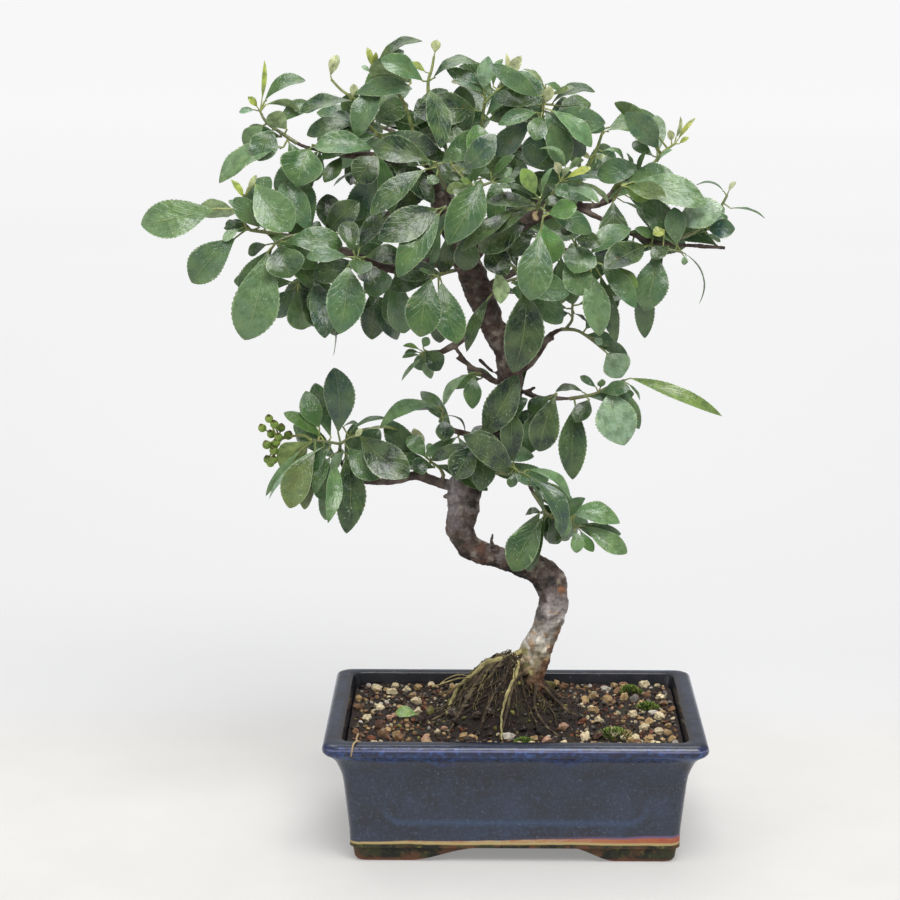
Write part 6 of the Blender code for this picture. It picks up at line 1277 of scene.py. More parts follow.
def rod(points: list[Vector], radii: list[float], sides: int) -> Pattern:
    """Make a closed rod along a line.

    Args:
        points: The line's points.
        radii: The rod's radius at each.
        sides: How many sides it has.

    Returns:
        The rod's pattern, its chart running along and round it.
    """
    middles = np.array([tuple(point) for point in points])
    along = np.gradient(middles, axis=0)
    along /= np.linalg.norm(along, axis=1)[:, None] + 1e-9
    side = np.cross(along[0], (0.31, 0.2, 0.93))
    rings = []
    for index, direction in enumerate(along):
        side = side - direction * side.dot(direction)
        side /= np.linalg.norm(side) + 1e-9
        up = np.cross(direction, side)
        for turn in range(sides):
            angle = math.tau * turn / sides
            rings.append(middles[index] + (side * math.cos(angle) + up * math.sin(angle)) * radii[index])
    corners, sizes, chart = [], [], []
    last = len(points) - 1
    for level in range(last):
        for turn in range(sides):
            after = (turn + 1) % sides
            corners += [level * sides + turn, level * sides + after, (level + 1) * sides + after,
                        (level + 1) * sides + turn]
            sizes.append(4)
            chart += [(level / last, turn / sides), (level / last, (turn + 1) / sides),
                      ((level + 1) / last, (turn + 1) / sides), ((level + 1) / last, turn / sides)]
    for level, order in ((0, range(sides - 1, -1, -1)), (last, range(sides))):
        corners += [level * sides + turn for turn in order]
        sizes.append(sides)
        chart += [(level / last, 0.0)] * sides
    return Pattern(np.array(rings), np.array(corners, np.int32), np.array(sizes, np.int32), np.array(chart),
                   np.zeros(len(corners)))


@dataclass
class Pot:
    """The glazed pot: turned-out rim, slanted walls with a sunk panel, bracket feet and drainage holes."""

    length: float = 170.0
    depth: float = 126.0
    corner: float = 5.0
    # The wall's outline: distance in from the rim and height
    wall: tuple = (
        (11.5, 7.0), (11.5, 10.6), (11.2, 16.0), (9.0, 37.0), (8.3, 41.0), (7.2, 44.2), (5.6, 47.8),
        (3.6, 50.2), (1.2, 51.9), (0.25, 53.2), (0.0, 54.5), (0.25, 55.6), (0.9, 56.6), (2.1, 57.3),
        (3.4, 57.5), (7.2, 57.5), (8.3, 57.1), (8.7, 56.2), (9.6, 50.0), (11.0, 40.0), (15.5, 17.0),
        (18.0, 13.4), (22.0, 13.0))
    foot_inset: float = 13.5
    drain_radius: float = 6.0
    drain_x: float = 36.0
    panel: tuple = (16.0, 41.0)
    panel_frame: float = 3.0
    panel_slope: float = 2.2
    panel_depth: float = 0.4
    foot_width: float = 13.0
    front_arch: tuple = ((-50.0, -0.5), (-46.0, 0.05), (-40.0, 1.2), (-33.0, 3.2), (-26.0, 5.3), (-19.0, 6.6),
                         (-13.0, 7.0), (24.0, 7.0), (29.0, 6.3), (35.0, 3.6), (40.0, 1.2), (44.0, 0.05),
                         (48.0, -0.5))
    side_arch: tuple = ((-30.0, -0.5), (-26.0, 0.05), (-20.0, 2.4), (-14.0, 5.6), (-9.0, 6.8), (9.0, 6.8),
                        (14.0, 5.6), (20.0, 2.4), (26.0, 0.05), (30.0, -0.5))

    def shell(self, name: str, levels: tuple, corner: float) -> bpy.types.Object:
        """Raise a rounded rectangle through levels.

        Args:
            name: The object's name.
            levels: The inset from the rim and the height of each level, in millimetres.
            corner: The corner's radius at the first level.

        Returns:
            The closed object.
        """
        inset, height = levels[0]
        size = (self.length - 2 * inset, self.depth - 2 * inset)
        piece = primitive(bpy.ops.mesh.primitive_plane_add, name, (*size, 1.0), size=1.0,
                          location=(0.0, 0.0, height))
        with editing():
            bpy.ops.mesh.bevel(offset=corner, segments=8, affect="VERTICES")
            bpy.ops.mesh.select_mode(type="FACE")
            bpy.ops.mesh.select_all(action="SELECT")
            for (old, low), (new, high) in zip(levels, levels[1:]):
                extrude(0.0, 0.0, high - low)
                factor = ((self.length - 2 * new) / (self.length - 2 * old),
                          (self.depth - 2 * new) / (self.depth - 2 * old), 1.0)
                bpy.ops.transform.resize(value=factor, center_override=(0.0, 0.0, high))
            outwards()
        return piece

    def sink_panels(self, piece: bpy.types.Object) -> None:
        """Sink a framed panel in each of the four walls.

        Args:
            piece: The pot's shell.
        """
        take(piece)
        with editing():
            for axis, half in ((0, self.length / 2.0), (1, self.depth / 2.0)):
                for side in (-1, 1):
                    pick(piece, "FACE", lambda face: face.normal[axis] * side > 0.8
                         and abs(face.calc_center_median()[1 - axis]) < 1.0
                         and face.calc_center_median()[axis] * side > half * 0.8
                         and self.panel[0] < face.calc_center_median().z < self.panel[1])
                    bpy.ops.mesh.inset(thickness=self.panel_frame, depth=0.0)
                    bpy.ops.mesh.inset(thickness=self.panel_slope, depth=-self.panel_depth)
            bpy.ops.mesh.select_all(action="DESELECT")

    def feet(self) -> bpy.types.Object:
        """Return the foot ring with its arches cut out."""
        low = self.foot_inset
        profile = ((low + 1.6, 0.0), (low + 0.9, 0.35), (low, 1.8), (low - 1.0, 8.6))
        ring = self.shell("foot_ring", profile, 4.0)
        reach = (self.length - 2 * low, self.depth - 2 * low)
        room = (reach[0] - 2 * self.foot_width, reach[1] - 2 * self.foot_width, 14.0)
        hollow = primitive(bpy.ops.mesh.primitive_cube_add, "hollow", room, size=1.0,
                           location=(0.0, 0.0, 0.0))
        with editing():
            bpy.ops.mesh.bevel(offset=3.0, segments=5, affect="EDGES")
        for cutter in (hollow, self.arch(self.front_arch, reach[1] + 40.0, 0.0),
                       self.arch(self.side_arch, reach[0] + 40.0, 90.0)):
            self.combine(ring, cutter, "DIFFERENCE")
        return ring

    def arch(self, profile: tuple, depth: float, turn: float) -> bpy.types.Object:
        """Model the block that cuts a low arch through the foot ring.

        Args:
            profile: Along the arch, places and their heights.
            depth: The block's depth.
            turn: How far it is turned about the upright axis, in degrees.

        Returns:
            The block.
        """
        first, last = profile[0][0], profile[-1][0]
        block = primitive(bpy.ops.mesh.primitive_grid_add, "arch", (last - first, depth, 1.0),
                          x_subdivisions=30, y_subdivisions=1, size=1.0)
        with editing():
            extrude(0.0, 0.0, 1.0)
            outwards()
        for vert in block.data.vertices:
            vert.co.x += (first + last) / 2.0
            top = float(np.interp(vert.co.x, *zip(*profile)))
            vert.co.z = top if vert.co.z > 0.5 else -5.0
        block.rotation_euler.z = math.radians(turn)
        return settle(block, "arch")

    def combine(self, base: bpy.types.Object, other: bpy.types.Object, operation: str) -> None:
        """Cut or unite with another object and remove it.

        Args:
            base: The object that is kept.
            other: The object that is used up.
            operation: "DIFFERENCE" or "UNION".
        """
        modified(base, "BOOLEAN", operation=operation, object=other, solver="EXACT")
        bpy.data.objects.remove(other)

    def build(self) -> bpy.types.Object:
        """Model the pot.

        Returns:
            The pot in the row's frame.
        """
        pot = self.shell("pot_body", self.wall, self.corner)
        self.sink_panels(pot)
        self.combine(pot, self.feet(), "UNION")
        for side in (-1, 1):
            drain = primitive(bpy.ops.mesh.primitive_cylinder_add, "drain", vertices=40,
                              radius=self.drain_radius, depth=30.0,
                              location=(side * self.drain_x, 0.0, 10.0))
            self.combine(pot, drain, "DIFFERENCE")
        take(pot)
        with editing():
            bpy.ops.mesh.remove_doubles(threshold=0.01)
        smooth(pot, 38.0)
        return stand(pot)


@dataclass
class DrainScreen:
    """A square of moulded mesh over a drainage hole."""

    name: str
    node: str
    cells: int = 9
    strand: float = 0.85

    def build(self) -> bpy.types.Object:
        """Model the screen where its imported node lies.

        Returns:
            The screen in the row's frame.
        """
        low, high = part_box(self.node)
        middle = (low + high) / 2.0
        scale = (high.x - low.x - self.strand * MM, high.y - low.y - self.strand * MM, 1.0)
        piece = primitive(bpy.ops.mesh.primitive_grid_add, self.name, scale, x_subdivisions=self.cells,
                          y_subdivisions=self.cells, size=1.0, location=middle)
        modified(piece, "WIREFRAME", thickness=self.strand * MM, use_even_offset=True)
        smooth(piece, 30.0)
        return piece


@dataclass
class SoilBed:
    """The damp growing mix that fills the pot to just below its rim."""

    half_length: float = 75.0
    half_depth: float = 53.0
    corner: float = 8.0
    bottom: float = 15.0
    columns: int = 110
    rows: int = 78
    roughness: float = 0.75
    under_grit: float = 0.9
    blank_top: float = 50.0
    skirt: float = 8.0
    taper: tuple[float, float, float] = (0.955, 0.94, 1.0)

    def rounded(self, x: float, y: float) -> tuple[float, float]:
        """Pull a point of the rectangle into its rounded corners."""
        edge = (self.half_length - self.corner, self.half_depth - self.corner)
        over = (max(0.0, abs(x) - edge[0]), max(0.0, abs(y) - edge[1]))
        reach = math.hypot(*over)
        if over[0] <= 0.0 or over[1] <= 0.0:
            return x, y
        pull = max(over) / reach
        return (math.copysign(edge[0] + over[0] * pull, x), math.copysign(edge[1] + over[1] * pull, y))

    def build(self) -> bpy.types.Object:
        """Model the bed.

        Returns:
            The soil in the row's frame.
        """
        piece = primitive(bpy.ops.mesh.primitive_grid_add, "soil_bed",
                          (self.half_length, self.half_depth, 1.0), x_subdivisions=self.columns,
                          y_subdivisions=self.rows, size=2.0, location=(0.0, 0.0, self.blank_top))
        with editing():
            pick(piece, "EDGE", lambda edge: edge.is_boundary)
            for drop in (-self.skirt, self.bottom + self.skirt - self.blank_top):
                bpy.ops.mesh.extrude_edges_move(TRANSFORM_OT_translate={"value": (0.0, 0.0, drop)})
            bpy.ops.transform.resize(value=self.taper, center_override=(0.0, 0.0, self.bottom))
            bpy.ops.mesh.edge_face_add()
            outwards()
        for vert in piece.data.vertices:
            x, y = self.rounded(vert.co.x, vert.co.y)
            if vert.co.z > self.blank_top - 1.0:
                lumps = noise.fractal(Vector((x, y, 3.0)) / 4.0, 0.8, 2.2, 4)
                vert.co.z = heap_height(x, y) - self.under_grit + self.roughness * lumps
            vert.co.x, vert.co.y = x, y
        smooth(piece, 45.0)
        return stand(piece)


class Stone(Enum):
    """Kinds of grit: colour, share and how much more of it lies to the right."""

    UMBER = ("#2b1d15", 26, 0.8)
    CHESTNUT = ("#452a1c", 22, 0.9)
    RUST = ("#743e22", 10, 1.0)
    TAN = ("#866345", 9, 1.0)
    SAND = ("#b99a6a", 7, 1.1)
    CREAM = ("#d9c8a2", 6, 1.2)
    PINK = ("#b58e74", 3, 0.9)
    GREY = ("#6f6a64", 5, 1.1)
    ASH = ("#bdb5a8", 3, 1.1)
    COAL = ("#1a1614", 8, 1.0)
    MOSSY = ("#7c7838", 2, 1.0)


@dataclass
class Grit:
    """Crushed pumice and fired clay spread over the soil."""

    small: int = 1500
    large: int = 150
    half_length: float = 73.0
    half_depth: float = 51.0
    front_stones: tuple = (-62.0, -39.0, -20.0, -14.5, -9.0, 2.0, 7.5, 15.5, 21.5, 32.0, 37.5, 46.0, 55.0,
                           60.5, 67.0)

    def stone(self, fine: int, seed: int) -> Pattern:
        """Model one stone of unit radius.

        Args:
            fine: How often the ball is divided.
            seed: What its dents are drawn from.

        Returns:
            The stone's pattern.
        """
        piece = primitive(bpy.ops.mesh.primitive_ico_sphere_add, "stone", subdivisions=fine, radius=1.0)
        with editing():
            bpy.ops.transform.vertex_random(offset=0.24, uniform=0.5, normal=0.5, seed=seed)
        return Pattern.of(piece)

    def front_row(self, draw: random.Random, taken: list) -> list:
        """Lay larger stones along the front wall.

        Args:
            draw: The source of chance.
            taken: The places used so far, which grow.

        Returns:
            The new places: x, y and radius.
        """
        found = []
        for x in self.front_stones:
            place = (x, -self.half_depth + draw.uniform(0.8, 3.5), draw.uniform(1.9, 2.7))
            found.append(place)
            taken.append(place)
        return found

    def spots(self, draw: random.Random, count: int, low: float, high: float, taken: list) -> list:
        """Find free places for stones.

        Args:
            draw: The source of chance.
            count: How many stones are wanted.
            low: The smallest radius.
            high: The largest radius.
            taken: The places used so far, which grow.

        Returns:
            The new places: x, y and radius.
        """
        found = []
        for _ in range(count * 14):
            if len(found) == count:
                break
            x = draw.uniform(-self.half_length, self.half_length)
            y = draw.uniform(-self.half_depth, self.half_depth)
            radius = low + (high - low) * draw.random() ** 1.4
            free = 9.0 if high < 1.5 else 26.0 + draw.uniform(0, 8)
            if math.hypot(x - 4.0, (y + 6.0) * 1.15) < free or any(
                    math.hypot(x - a, y - b) < (radius + c) * 0.86 for a, b, c in taken):
                continue
            found.append((x, y, radius))
            taken.append((x, y, radius))
        return found

    def build(self) -> bpy.types.Object:
        """Spread the stones.

        Returns:
            The grit in the row's frame.
        """
        draw = random.Random(SEED)
        coarse = [self.stone(2, seed) for seed in range(3)]
        plain = [self.stone(1, seed) for seed in range(5)]
        gathered = Gathering()
        taken: list = []
        row = self.front_row(draw, taken)
        big = row + self.spots(draw, self.large, 1.5, 2.8, taken)
        little = self.spots(draw, self.small, 0.6, 1.4, taken)
        for places, patterns in ((big, coarse), (little, plain)):
            for x, y, radius in places:
                kinds = list(Stone)
                right = 0.5 + x / 150.0
                weights = [kind.value[1] * (kind.value[2] ** (4.0 * (right - 0.4))) for kind in kinds]
                if radius > 1.5:
                    weights = [weight * (7.0 if kind in (Stone.CREAM, Stone.SAND, Stone.PINK)
                                         else 2.0 if kind in (Stone.TAN, Stone.ASH) else 0.5)
                               for weight, kind in zip(weights, kinds)]
                if math.hypot((x + 4.0) / 1.2, y + 6.0) < 30.0:
                    weights = [weight * (14.0 if kind is Stone.MOSSY
                                         else 6.0 if kind in (Stone.UMBER, Stone.COAL) else 0.12)
                               for weight, kind in zip(weights, kinds)]
                kind = draw.choices(kinds, weights)[0]
                turn = (Matrix.Rotation(draw.uniform(0, 6.3), 3, "Z")
                        @ Matrix.Rotation(draw.uniform(0, 6.3), 3, "X"))
                squash = np.array((1.0, draw.uniform(0.7, 1.0), draw.uniform(0.6, 0.9)))
                pattern = draw.choice(patterns)
                points = (pattern.points * squash * radius) @ np.array(turn)
                points = points + (x, y, heap_height(x, y) - 0.8 + radius * draw.uniform(0.1, 0.6))
                tint = np.array(linear(kind.value[0])) * draw.uniform(0.65, 1.12)
                gathered.add(pattern, points, (*tint, 0.0))
        piece = gathered.build("grit")
        smooth(piece, 40.0)
        return piece


def along_ramp(stops: tuple, place: float) -> np.ndarray:
    """Read a colour between hex stops.

    Args:
        stops: Places and hex colours, lowest first.
        place: Where to read.

    Returns:
        The linear colour.
    """
    if place <= stops[0][0]:
        return np.array(linear(stops[0][1]))
    for (low, first), (high, second) in zip(stops, stops[1:]):
        if place <= high:
            share = (place - low) / (high - low)
            return np.array(linear(first)) * (1 - share) + np.array(linear(second)) * share
    return np.array(linear(stops[-1][1]))


@dataclass
class Wood:
    """Trunk, surface roots, limbs, twigs and stubs, grown as one piece."""

    voxel: float = 0.62
    sink: float = -0.5

    def paths(self) -> list[tuple[list[Vector], list[float], float]]:
        """Return each branch's line, its radii and its step."""
        found = [([Vector(point[:3]) for point in TRUNK], [point[3] / 2.0 for point in TRUNK], 2.5)]
        for line, first, last in ROOTS:
            radii = spread(first / 2.0 * 0.5, last / 2.0 * 0.45, len(line))
            points = []
            for index, (x, y) in enumerate(line):
                lift = 6.0 if index == 0 and x > 0 else 0.0
                points.append(Vector((x, y, heap_height(x, y) + radii[index] * self.sink + lift)))
            found.append((points, radii, 2.5))
        for line, first, last in LIMBS + STUBS:
            points = [seen(*point) for point in line]
            found.append((points, spread(first / 2.0, last / 2.0, len(points)), 2.5))
        for _, _, _, twig, stems, _ in SPRAYS:
            start = seen(*stems[0][0])
            along = (seen(*stems[0][1]) - start).normalized()
            points = [seen(*twig[0]), seen(*twig[1]), start - along * 0.1]
            if (points[1] - points[2]).length < 1.5:
                points = [points[0], points[2]]
            found.append((points, spread(1.15, 0.85, len(points)), 2.0))
        for _, foot, head, _ in BACK_SPRAYS:
            points = [seen(*foot), seen(*Vector(foot).lerp(Vector(head), 0.3))]
            found.append((points, [1.2, 0.9], 2.0))
        return found

    def tubes(self) -> bpy.types.Object:
        """Return all branches as round tubes in one object."""
        curve = bpy.data.curves.new("tree_wood", "CURVE")
        curve.dimensions = "3D"
        curve.bevel_depth = 1.0
        curve.bevel_resolution = 4
        curve.use_fill_caps = True
        for points, radii, step in self.paths():
            line, sizes = smoothed(points, radii, step)
            spline = curve.splines.new("POLY")
            spline.points.add(len(line) - 1)
            for place, point, radius in zip(spline.points, line, sizes):
                place.co = (*point, 1.0)
                place.radius = radius
        guide = bpy.data.objects.new("tree_wood", curve)
        bpy.context.scene.collection.objects.link(guide)
        take(guide)
        bpy.ops.object.convert(target="MESH")
        return bpy.context.active_object

    def grain(self, piece: bpy.types.Object) -> None:
        """Work creases and flakes into the surface and colour it.

        Args:
            piece: The wood, in millimetres.
        """
        mesh = piece.data
        count = len(mesh.vertices)
        places, normals = np.zeros((2, count * 3))
        mesh.vertices.foreach_get("co", places)
        mesh.vertices.foreach_get("normal", normals)
        places, normals = places.reshape(-1, 3), normals.reshape(-1, 3)
        core = np.array([point[:3] for point in TRUNK])
        radii = np.array([point[3] / 2.0 for point in TRUNK])
        nearest = np.full(count, 1e9)
        for index in range(len(core) - 1):
            run = core[index + 1] - core[index]
            share = np.clip(((places - core[index]) @ run) / run.dot(run), 0.0, 1.0)
            away = np.linalg.norm(places - core[index] - share[:, None] * run, axis=1)
            size = radii[index] + (radii[index + 1] - radii[index]) * share
            nearest = np.minimum(nearest, away / size)
        cut_end = np.array(seen(9.5, 283.2, -31.5))
        tints = np.ones((count, 4))
        for index in range(count):
            place = Vector(places[index])
            stout = nearest[index] < 1.3
            ground = soil_height(place.x, place.y)
            shift, tint = self.flake(place, stout)
            if place.z < ground + 24.0 and nearest[index] > 1.08:
                share = min(1.0, (nearest[index] - 1.08) * 3.0)
                root = along_ramp(((-0.5, "#1f160f"), (0.1, "#41331f"), (0.6, "#736643")),
                                  noise.noise(place / 3.5) + 0.1)
                tint = tint * (1 - share) + root * share
            if not stout and place.z > 150.0:
                twig = along_ramp(((-0.5, "#33241f"), (0.0, "#4c3a33"), (0.5, "#7a6e64")),
                                  noise.noise(place / 5.0))
                tint = tint * 0.3 + twig * 0.7
            # The trunk's front gets its marks, among them painted light on its left and painted shade on its
            # right and under its bend
            if normals[index][1] < 0.2 and stout:
                tint = self.marks_and_painted_light(place, tint)
            places[index] += normals[index] * shift
            if np.linalg.norm(places[index] - cut_end) < 2.5 and places[index][1] < cut_end[1] - 0.2:
                tint = np.array(linear("#d3bc90"))
            tints[index, :3] = tint
        mesh.vertices.foreach_set("co", places.ravel())
        layer = mesh.color_attributes.new(name="tint", type="FLOAT_COLOR", domain="POINT")
        layer.data.foreach_set("color", tints.ravel())
        mesh.update()

    def flake(self, place: Vector, stout: bool) -> tuple[float, np.ndarray]:
        """Work out one point of flaky bark.

        Args:
            place: The point in millimetres.
            stout: Whether it lies on the trunk.

        Returns:
            How far the point is raised, and its colour.
        """
        warp = noise.noise_vector(place / 4.5) * 2.4 + noise.noise_vector(place / 1.6) * 0.9
        cell = Vector(((place.x + warp.x) / 4.2, (place.y + warp.y) / 4.2, (place.z + warp.z) / 8.0))
        away, seeds = noise.voronoi(cell)
        crack = max(0.0, 1.0 - (away[1] - away[0]) / 0.11)
        rank = (math.sin(seeds[0].dot(Vector((12.99, 78.23, 37.72)))) * 43758.55) % 1.0
        fine = noise.fractal(Vector((place.x / 2.2, place.y / 2.2, place.z / 2.0)), 0.7, 2.1, 3)
        wrinkle = noise.noise(Vector((place.x / 5.0, place.y / 5.0, place.z / 0.9)))
        lump = noise.noise(place / 9.0) * 0.9 + noise.noise(place / 4.2) * 0.75
        streak = noise.noise(Vector((place.x / 0.9, place.y / 0.9, place.z / 5.0)) + warp * 0.4)
        shift = lump + 0.7 * (rank - 0.5) - 0.35 * crack + 0.28 * fine + 0.1 * wrinkle + 0.14 * streak
        tint = along_ramp(BARK_HEIGHTS, place.z + 7.0 * noise.noise(place / 6.0))
        chalky = 74.0 < place.z < 104.0
        patch = noise.noise(place / 3.2 + Vector((7.0, 3.0, 1.0)))
        if chalky:
            share = min(1.0, max(0.0, (patch - 0.22) * 5.0)) * 0.7
            tint = tint * (1.0 - share) + np.array(linear("#9a7850")) * share
        else:
            share = min(1.0, max(0.0, (patch - 0.2) * 4.0)) * 0.5
            tint = tint * (1.0 - share) + np.array(linear("#9b9085")) * share
            share = min(1.0, max(0.0, (-patch - 0.25) * 4.0)) * 0.6
            tint = tint * (1.0 - share) + np.array(linear("#4b2c20")) * share
        broad = noise.noise(place / 7.0 + Vector((2.0, 9.0, 4.0)))
        tint = tint * (0.78 + 0.4 * rank) * (1.0 + 0.15 * wrinkle + 0.35 * streak)
        tint = tint * (1.0 + (0.35 if chalky else 0.8) * broad)
        dark = crack * (0.15 if chalky else 0.45)
        tint = tint * (1.0 - dark) + np.array(linear("#1c1410")) * dark
        tint = tint * (0.8 + 0.5 * min(1.0, max(0.0, 0.4 + fine)))
        return shift * (1.0 if stout else 0.3), tint

    def marks_and_painted_light(self, place: Vector, tint: np.ndarray) -> np.ndarray:
        """Blend in the marks that lie near a point of the trunk's front, with the painted light and painted
        shade among them.
        """
        scale = 1.0 - place.y / EYE.y
        x = EYE.x + (place.x - EYE.x) / scale
        z = EYE.z + (place.z - EYE.z) / scale
        for mark_x, mark_z, radius, code in BARK_MARKS_AND_PAINTED_LIGHT:
            away = math.hypot(x - mark_x, z - mark_z) / radius + 0.5 * noise.noise(place / 1.5)
            if away < 1.0:
                share = min(1.0, (1.0 - away) * 2.2) * 0.92
                streak = noise.noise(Vector((place.x / 0.8, place.y / 0.8, place.z / 3.0)))
                fleck = 1.0 + 0.45 * streak + 0.35 * noise.noise(place / 1.3)
                tint = tint * (1.0 - share) + np.array(linear(code)) * share * fleck
        return tint

    def build(self) -> bpy.types.Object:
        """Model the wood.

        Returns:
            The wood in the row's frame.
        """
        piece = self.tubes()
        piece.name = piece.data.name = "trunk_and_limbs"
        modified(piece, "REMESH", mode="VOXEL", voxel_size=self.voxel)
        modified(piece, "SMOOTH", factor=0.5, iterations=2)
        self.grain(piece)
        take(piece)
        bpy.ops.object.shade_smooth()
        return stand(piece)


@dataclass
class FineRoots:
    """The fan of thin roots between the trunk's foot and the soil."""

    extra: int = 130

    def build(self) -> bpy.types.Object:
        """Model the roots.

        Returns:
            The roots in the row's frame.
        """
        draw = random.Random(SEED + 5)
        gathered = Gathering()
        for index, (line, depth, first, last) in enumerate(FAN_ROOTS):
            points = [Vector((6.0, 0.0, line[0][1] + 3.0))] if index == 0 else []
            points += [on_heap(x, z, depth, last * 0.2 + 0.4) for x, z in line]
            codes = ("#43371f", "#33281a", "#5c5030", "#271d13")
            if index in (0, 4, 5):
                codes = ("#b5ac76", "#a39966")
            elif index in (1, 2, 3):
                codes = ("#8a8052", "#746a42")
            thick = 0.36 if first > 2.3 else 0.26
            radii = spread(first * thick, last * thick, len(points))
            self.add(gathered, points, radii, 0.3, draw.choice(codes), draw)
        for _ in range(self.extra):
            x = draw.uniform(-18.0, 14.0)
            side = draw.choice((-1.0, -1.0, 1.0))
            angle = side * (math.pi / 2.0 - (x - 2.0) * 0.045) + draw.uniform(-0.7, 0.7)
            far = draw.uniform(6.0, 26.0)
            points = []
            for share in (0.0, 0.25, 0.5, 0.75, 1.0):
                at_x = x + far * share * math.cos(angle) + draw.uniform(-1.5, 1.5)
                at_y = HEAP_LINE + 2.0 * side + far * share * math.sin(angle) + draw.uniform(-1.0, 1.0)
                points.append(Vector((at_x, at_y, heap_height(at_x, at_y) + draw.uniform(-0.3, 1.0))))
            size = draw.uniform(0.1, 0.34)
            code = draw.choice(("#5d5232", "#3a2d1d", "#2a1f14", "#867b4b", "#20170f", "#463823", "#2b2014"))
            self.add(gathered, points, spread(size, size * 0.5, 5), 0.6, code, draw)
        return gathered.build("fine_roots")

    def add(self, gathered: Gathering, points: list[Vector], radii: list[float], wiggle: float, code: str,
            draw: random.Random) -> None:
        """Add one root.

        Args:
            gathered: Where it is collected.
            points: Its line.
            radii: Its radius at each point.
            wiggle: How far it strays from its line.
            code: Its colour.
            draw: The source of chance.
        """
        line, sizes = smoothed(points, radii, 2.2)
        line = [point + Vector((draw.uniform(-wiggle, wiggle), draw.uniform(-wiggle, wiggle),
                                draw.uniform(-0.5, 0.7) * wiggle)) for point in line]
        sizes = [size * draw.uniform(0.75, 1.2) for size in sizes]
        pattern = rod(line, sizes, 6)
        shade = np.array([0.62 + 1.4 * abs(noise.noise(Vector(pattern.points[corner]) / 2.2))
                          for corner in pattern.corners])
        gathered.add(pattern, pattern.points, np.hstack((np.outer(shade, np.array(linear(code))),
                                                         np.zeros((len(shade), 1)))))


def leaf_axes(start: Vector, tip: Vector, turn: float) -> tuple[Vector, Vector]:
    """Find how a leaf faces.

    Args:
        start: Where its blade starts.
        tip: Its tip.
        turn: Its turn about its midrib in degrees, 0 facing the front.

    Returns:
        Its normal and its direction across.
    """
    axis = (tip - start).normalized()
    to_eye = EYE - (start + tip) / 2.0
    facing = (to_eye - axis * to_eye.dot(axis)).normalized()
    side = axis.cross(facing)
    if side.dot(Vector((0.3, 0.0, 1.0))) < 0:
        side = -side
    angle = math.radians(turn)
    normal = facing * math.cos(angle) + side * math.sin(angle)
    return normal, axis.cross(normal).normalized()


@dataclass
class LeafPlace:
    """Where a leaf sits: its petiole's root, its blade's start and tip, and how it is held."""

    root: Vector
    start: Vector
    tip: Vector
    width: float
    turn: float
    arch: float


def root_on_stems(stems: list, x: float, z: float) -> tuple[float, float, float]:
    """Return the seen point of the stems from which a petiole reaches the blade's start (x, z)."""
    best = (1e9, (0.0, 0.0, 0.0))
    for stem in stems:
        for a, b in zip(stem, stem[1:]):
            for step in range(1, 10):
                place = tuple(Vector(a).lerp(Vector(b), step / 10.0))
                distance = math.hypot(place[0] - x, place[1] - z)
                strays = abs(distance - PETIOLE) if distance < PETIOLE else distance - PETIOLE
                if strays < best[0]:
                    best = (strays, place)
    return best[1]


def held(stems: list, leaf: tuple | list) -> LeafPlace:
    """Hold a leaf on the stem that its petiole reaches.

    Args:
        stems: The stems it may grow from, as seen.
        leaf: Its entry in a list of leaves.

    Returns:
        Where it sits.
    """
    x, z, tip_x, tip_z, width, turn, lean = leaf[:7]
    foot = root_on_stems(stems, x, z)
    petiole = math.hypot(x - foot[0], z - foot[1])
    blade = math.hypot(tip_x - x, tip_z - z)
    start = seen(x, z, foot[2] + lean * petiole / (petiole + blade))
    arch = leaf[7] if len(leaf) > 7 else ARCH
    return LeafPlace(seen(*foot), start, seen(tip_x, tip_z, foot[2] + lean), width, turn, arch)


def in_gap(leaf: tuple) -> bool:
    """Tell whether a leaf would cover a gap in the crown or stand outside the crown's limits."""
    x, z, tip_x, tip_z, width = leaf[:5]
    if not CROWN_LOW[0] < tip_x < CROWN_HIGH[0] or not CROWN_LOW[1] < tip_z < CROWN_HIGH[1]:
        return True
    run = Vector((tip_x - x, tip_z - z))
    for gap_x, gap_z, radius in CROWN_GAPS:
        share = max(0.0, min(1.0, Vector((gap_x - x, gap_z - z)).dot(run) / run.length_squared))
        away = math.hypot(x + run.x * share - gap_x, z + run.y * share - gap_z)
        if away < radius + width * 0.3:
            return True
    return False


def back_leaves(foot: tuple, head: tuple, leans: tuple, draw: random.Random) -> list[tuple | None]:
    """List the leaves of a hidden shoot, set round its stem by the golden angle.

    Args:
        foot: The stem's start as seen.
        head: Its end as seen.
        leans: How much further each leaf leans back, or None where it is left out.
        draw: The source of chance.

    Returns:
        Entries like those of a spray's list, None for a leaf that is left out.
    """
    count = len(leans)
    leaves: list[tuple] = []
    turns = 0
    while len(leaves) < count:
        share = 0.2 + 0.8 * len(leaves) / (count - 1)
        x = foot[0] + (head[0] - foot[0]) * share
        z = foot[1] + (head[1] - foot[1]) * share
        angle = turns * GOLDEN_ANGLE
        turns += 1
        length = draw.uniform(22.0, 29.0)
        side = length * 0.85 * math.cos(angle)
        back = length * (0.7 * math.sin(angle) + 0.1)
        rise = length * (0.45 * share - 0.12 + draw.uniform(-0.2, 0.2))
        leaf = (x + side * 0.16, z + rise * 0.16, x + side, z + rise, draw.uniform(10.5, 13.5),
                draw.uniform(-15, 50), back)
        if turns < count * 6 and in_gap(leaf):
            continue
        leaves.append(leaf)
    return [None if more is None else (*leaf[:6], leaf[6] + more) for leaf, more in zip(leaves, leans)]


